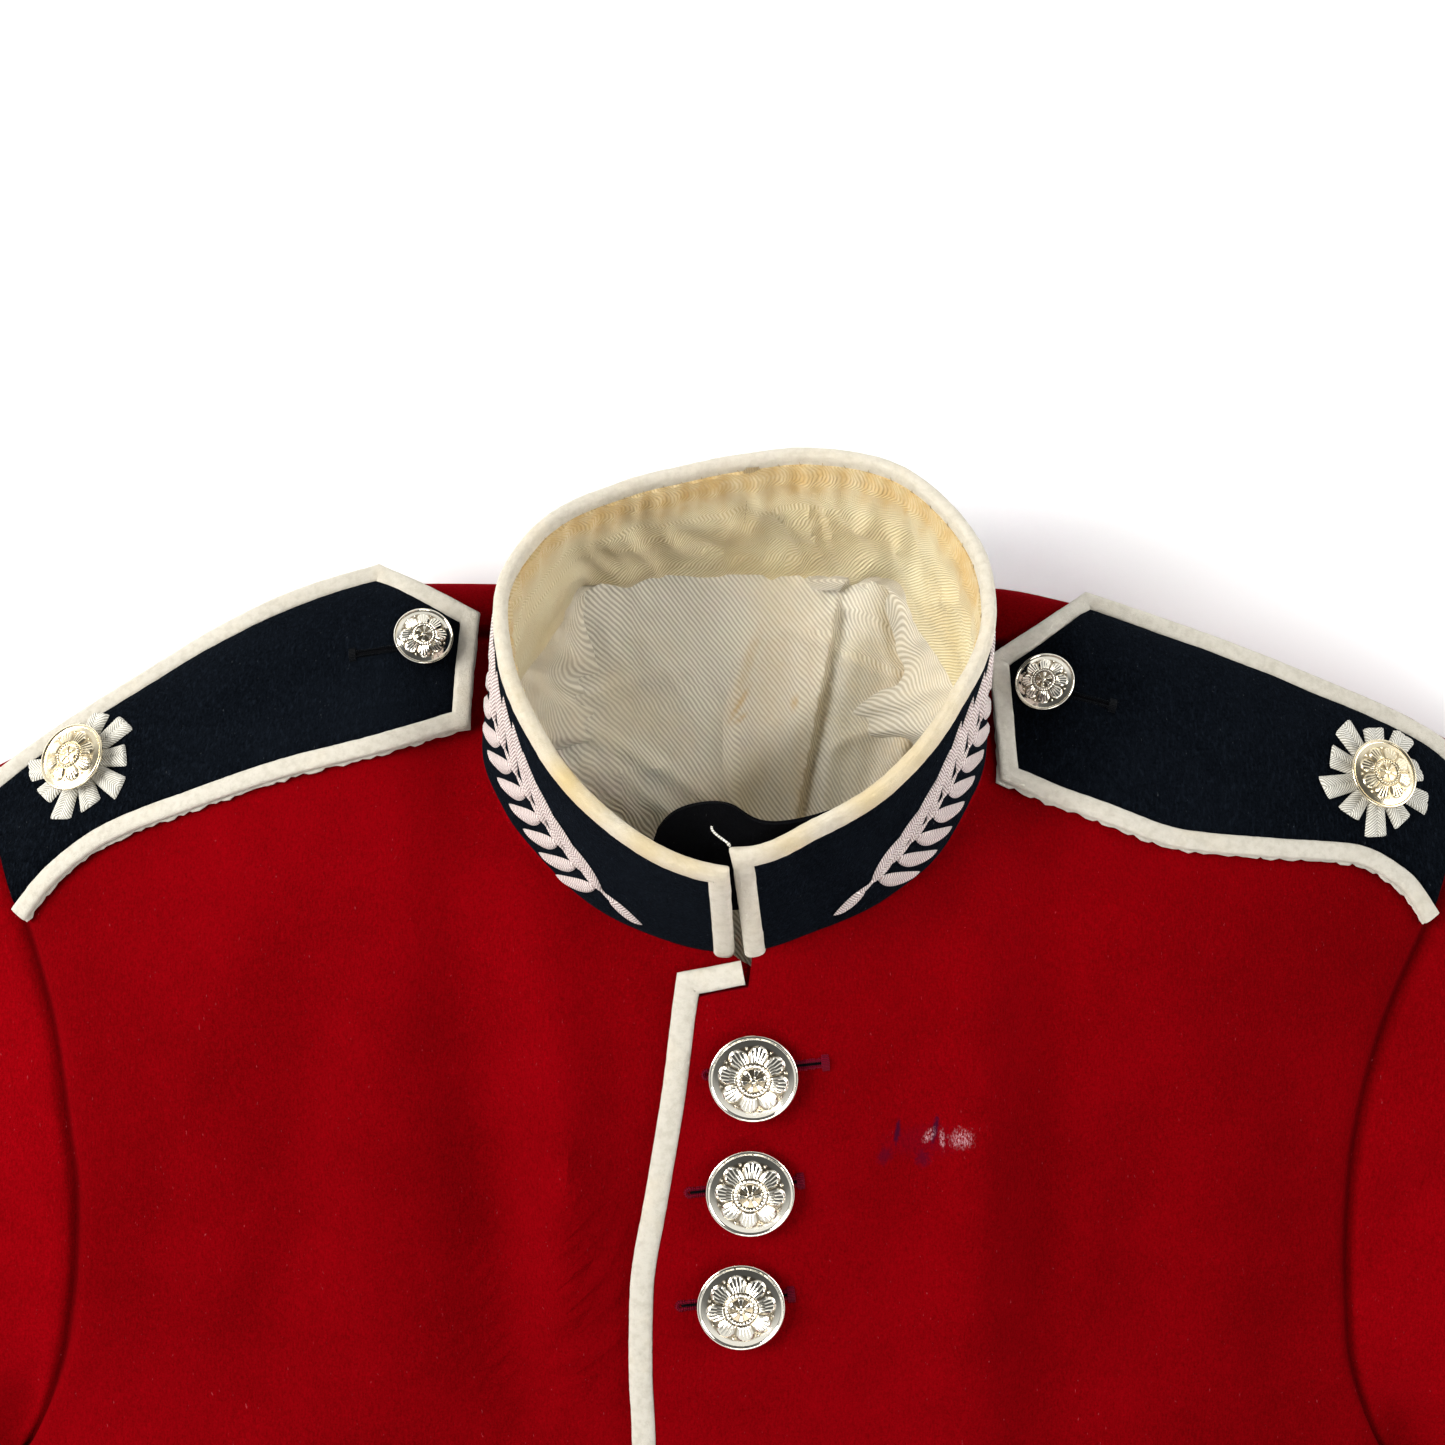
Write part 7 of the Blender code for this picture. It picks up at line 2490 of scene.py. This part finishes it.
    def build(self, body: Body, seat: Seat, straps: Straps) -> dict[Side, Seat]:
        """All buttons and buttonholes; returns the face of each strap.

        Args:
            body: Fronts, backs and skirts.
            seat: The fronts.
            straps: The straps.

        Returns:
            The face of each strap.
        """
        for i, (y, spin) in enumerate(zip(self.front_y, self.spins, strict=True), 1):
            x = float(body.buttons(y))
            point, normal = seat.under(x, y)
            self.place(f"front_button_{i}", self.large, point, normal, spin)
            first = i == 1
            near = (x - (13.0 if first else 17.2), y + (0.2 if first else -0.8))
            far = (x + (20.0 if first else 14.0), y + (3.6 if first else 2.6))
            self.hole(f"buttonhole_{i}", seat, near, far, CRIMSON_THREAD)
        tops = {}
        for side in Side:
            tops[side] = Seat([straps.tops[side]])
            at = self.strap_at[side]
            point, normal = tops[side].under(*at)
            self.place(f"strap_button_{side.word}", self.small, point, normal, 0.4)
            eye = (at[0] + side.value * 4.0, at[1] - 2.0)
            self.hole(f"strap_buttonhole_{side.word}", tops[side], eye, self.strap_bar[side], NAVY_THREAD,
                      1.1)
        LOG.info("buttons: %d with worked buttonholes", len(self.front_y) + 2)
        return tops


# Embroidery


@dataclass
class Embroidery:
    """Generic leaf sprays on the collar and a blunt-rayed rosette on each strap, in raised satin stitch."""

    rays: int = 10
    ray_reach: float = 18.6
    ray_half: float = 3.35
    thick: float = 1.3
    ray_rows: int = 34
    ray_columns: int = 15
    hub: float = 4.0
    degree: float = 1.15
    wall: float = 42.0
    star_at: dict[Side, Pair] = field(default_factory=lambda: {
        Side.RIGHT: (-197.0, -12.0), Side.LEFT: (188.5, -16.5),
    })

    def rosette(self, side: Side, seat: Seat, buttons: Buttons) -> None:
        """Rays with a stitched middle line, and the button at their centre.

        Args:
            side: Which side of the tunic.
            seat: The strap's face.
            buttons: Maker of the buttons.
        """
        centre, normal = seat.under(*self.star_at[side])
        turn_to = basis(normal).to_3x3()
        soup = Soup()
        for k in range(self.rays):
            turn = TAU * k / self.rays + 0.16
            reach = self.ray_reach * (1.0 if k % 2 else 0.86)
            along = np.array([math.cos(turn), math.sin(turn)])
            across = np.array([-along[1], along[0]])
            grid = np.zeros((self.ray_rows, self.ray_columns, 3))
            flats = np.zeros((self.ray_rows, self.ray_columns, 2))
            for j, w in enumerate(np.linspace(-1, 1, self.ray_columns)):
                tip = reach - 1.1 * (w * 0.6 + 0.4) - 0.5 * abs(w) ** 6
                for i, s in enumerate(np.linspace(0, 1, self.ray_rows)):
                    out = self.hub + (tip - self.hub) * s
                    wide = self.ray_half * (0.70 + 0.38 * s)
                    plan = along * out + across * w * wide
                    flat = np.array(turn_to @ Vector((plan[0], plan[1], 0.0))) + centre
                    hit, up = seat.under(flat[0], flat[1])
                    pad = (1 - abs(w) ** 6) * (1 - max(0.0, (s - 0.93) / 0.07) ** 3 * 0.9)
                    groove = 0.35 * float(hump(w, 0, 0.16))
                    slant = out - abs(w) * wide * 0.9
                    thread = 0.07 * math.sin(slant * TAU / 0.9)
                    grid[i, j] = hit + up * (0.15 + self.thick * pad - groove * pad + thread * pad)
                    flats[i, j] = (w * wide, slant)
            soup.weave(soup.add(grid, flats), self.ray_rows, self.ray_columns)
        soup.piece(f"strap_star_{side.word}", STAR_THREAD, (f"strap_star_{side.word}",), 60)
        buttons.place(f"star_button_{side.word}", buttons.star, centre + normal * (self.thick + 0.5), normal, 0.8,
                      GOLD)

    def leaf(self, soup: Soup, collar: Collar, side: Side, root: Pair, tip: Pair,
             wide: float, bend: float) -> None:
        """One satin-stitched leaf on the collar's wall.

        Args:
            soup: Where the points and faces go.
            collar: The collar.
            side: Which side of it.
            root: Angle and height of the leaf's foot.
            tip: Angle and height of its point.
            wide: Half width in degrees of turn.
            bend: How far its middle bows, in degrees of turn.
        """
        s = np.linspace(0, 1, 30)[:, None]
        w = np.linspace(-1, 1, 11)[None, :]
        a, b = (np.array(end) * (self.degree, self.wall) for end in (root, tip))
        along = unit(b - a)
        across = np.array([-along[1], along[0]])
        girth = wide * np.sin(math.pi * s**0.8) ** 0.8
        plan = a + (b - a) * s[:, :, None] + across * (w * girth + bend * np.sin(math.pi * s))[:, :, None]
        angle, height = side.turn(plan[:, :, 0] / self.degree), plan[:, :, 1] / self.wall
        length = float(np.linalg.norm(b - a))
        slant = s * length - np.abs(w) * girth * 0.8
        pad = (1 - np.abs(w) ** 2.5) * np.minimum(1, girth / 1.2)
        lift = 0.15 + 0.95 * pad - 0.4 * hump(w, 0, 0.16) * pad + 0.05 * np.sin(slant * 7.5) * pad
        points = NECK.point(angle, height) + NECK.normal(angle, height) * (collar.wall / 2 + lift)[:, :, None]
        first = soup.add(points, np.stack(np.broadcast_arrays(w * girth, slant), axis=2))
        soup.weave(first, *points.shape[:2], flip=side is Side.LEFT)

    def spray(self, side: Side, collar: Collar) -> None:
        """A curved stem with slender leaves in pairs and a bud at its front end.

        Args:
            side: Which side of the tunic.
            collar: The collar.
        """
        soup = Soup()
        stem = [(33 + 71 * t, 0.20 + 0.34 * t + 0.10 * math.sin(math.pi * t)) for t in np.linspace(0, 1, 12)]
        for (a0, h0), (a1, h1) in zip(stem, stem[1:]):
            self.leaf(soup, collar, side, (a0 - 0.8, h0), (a1 + 0.8, h1), 0.9, 0.0)
        for k in range(1, 11):
            a, h = stem[k]
            reach = 13.5 - 0.35 * k
            up = min(0.93, h + 0.20 + 0.028 * k)
            down = max(0.05, h - 0.19 - 0.015 * k)
            self.leaf(soup, collar, side, (a, h), (a + reach, min(up, 0.82)), 2.3, 0.9)
            self.leaf(soup, collar, side, (a + 2.0, h), (a + reach + 2, down), 2.2, -0.9)
        self.leaf(soup, collar, side, (37.5, 0.24), (27.5, 0.12), 1.9, 0.4)
        name = f"collar_spray_{side.word}"
        soup.piece(name, WHITE_THREAD, (name,), 60)

    def build(self, collar: Collar, tops: dict[Side, Seat], buttons: Buttons) -> None:
        """Both sprays and both rosettes.

        Args:
            collar: The collar.
            tops: The face of each strap.
            buttons: Maker of the buttons.
        """
        for side in Side:
            self.spray(side, collar)
            self.rosette(side, tops[side], buttons)
            LOG.info("embroidery %s: leaf spray and rosette", side.word)


# Studio


@dataclass
class Studio:
    """Pale floor, soft light and the camera over the chest."""

    camera_at: Point = (-0.002, 0.30408, 0.660)
    view: float = 2 * math.atan(722.5 / 2076)

    def light(self, name: str, at: Point, size: float, power: float, colour: Colour,
              aim: Point = (0.0, 0.22, 0.05), spread: float = 180.0) -> None:
        """A square soft light.

        Args:
            name: Its name.
            at: Its place in metres.
            size: Its side in metres.
            power: Its power in watts.
            colour: Its colour.
            aim: The point that it faces.
            spread: Angle of its beam in degrees; a narrow one isn't mirrored in the buttons.
        """
        data = bpy.data.lights.new(name, "AREA")
        data.shape, data.size, data.energy, data.color = "SQUARE", size, power, colour
        data.spread = math.radians(spread)
        made = link(name, data)
        made.visible_glossy = spread > 90
        made.location = at
        made.rotation_euler = (Vector(aim) - Vector(at)).to_track_quat("-Z", "Y").to_euler()

    def build(self) -> None:
        """Adds the floor, the lights and the camera."""
        mesh = bpy.data.meshes.new("floor")
        mesh.from_pydata([(-4, -4, -0.0006), (4, -4, -0.0006), (4, 4, -0.0006), (-4, 4, -0.0006)], [], [(0, 1, 2, 3)])
        mesh.materials.append(Tabletop("pale_table", (0.93, 0.93, 0.93)).material())
        link("floor", mesh)
        self.light("left", (-1.20, 0.55, 0.95), 0.9, 36.0, (1.0, 0.985, 0.96))
        self.light("right", (1.25, 0.35, 0.70), 0.9, 12.0, (0.98, 0.985, 1.0))
        self.light("front", (0.20, -0.80, 1.10), 0.7, 6.0, (1.0, 0.99, 0.97))
        self.light("neck", (0.44, 0.30, 1.12), 0.12, 0.040, (1.0, 0.99, 0.97), (0.0, 0.325, 0.0), 13.0)
        world = bpy.data.worlds.new("studio")
        world.use_nodes = True
        tree = world.node_tree
        sky = tree.nodes["Background"]
        place = tree.nodes.new("ShaderNodeTexCoord")
        axes = tree.nodes.new("ShaderNodeSeparateXYZ")
        ramp = tree.nodes.new("ShaderNodeValToRGB")
        tree.links.new(place.outputs["Generated"], axes.inputs[0])
        tree.links.new(axes.outputs[2], ramp.inputs["Fac"])
        tree.links.new(ramp.outputs["Color"], sky.inputs["Color"])
        stops = ((0.0, 0.80), (0.30, 1.0), (0.50, 1.0), (0.64, 0.50), (0.76, 0.16), (1.0, 0.08))
        ramp.color_ramp.elements[0].position, ramp.color_ramp.elements[1].position = stops[0][0], stops[-1][0]
        for at, _ in stops[1:-1]:
            ramp.color_ramp.elements.new(at)
        for element, (_, level) in zip(ramp.color_ramp.elements, stops):
            element.color = (level * 0.985, level * 0.99, level, 1.0)
        sky.inputs["Strength"].default_value = 0.90
        scene = bpy.context.scene
        scene.world = world
        scene.view_settings.view_transform = "Standard"
        camera = bpy.data.cameras.new("camera")
        camera.sensor_width = 36.0
        camera.angle = self.view
        camera.clip_start, camera.clip_end = 0.01, 20.0
        scene.camera = link("camera", camera)
        scene.camera.location = self.camera_at
        LOG.info("studio: floor, lights and camera")


def main() -> None:
    """Builds every piece of the tunic and the studio round it."""
    logging.basicConfig(level=logging.INFO, format="%(message)s")
    body, sleeves, collar, straps, buttons = Body(), Sleeves(), Collar(), Straps(), Buttons()
    body.cut()
    sleeves.cut(body)
    share_normals(list(body.panels.values()))
    for panel in body.panels.values():
        panel.build()
        LOG.info("%s: %d by %d points", panel.name, *panel.grid.shape[:2])
    sleeves.cuffs()
    wall, edging = collar.build()
    collar.lining()
    collar.tongue()
    collar.loose_end()
    BackLining().build()
    FrontEdge().build(body)
    fronts = [p.grid for n, p in body.panels.items() if n.startswith(("front", "back", "skirt_front"))]
    seat = Seat(fronts)
    straps.build(seat)
    tops = buttons.build(body, seat, straps)
    Embroidery().build(collar, tops, buttons)
    Studio().build()
    levels, _ = collar.face(np.linspace(0, 1, 8), collar.edging, 0, collar.edging)
    sprays = tuple(bpy.data.objects[f"collar_spray_{s.word}_dressed"] for s in Side)


if __name__ == "__main__":
    main()
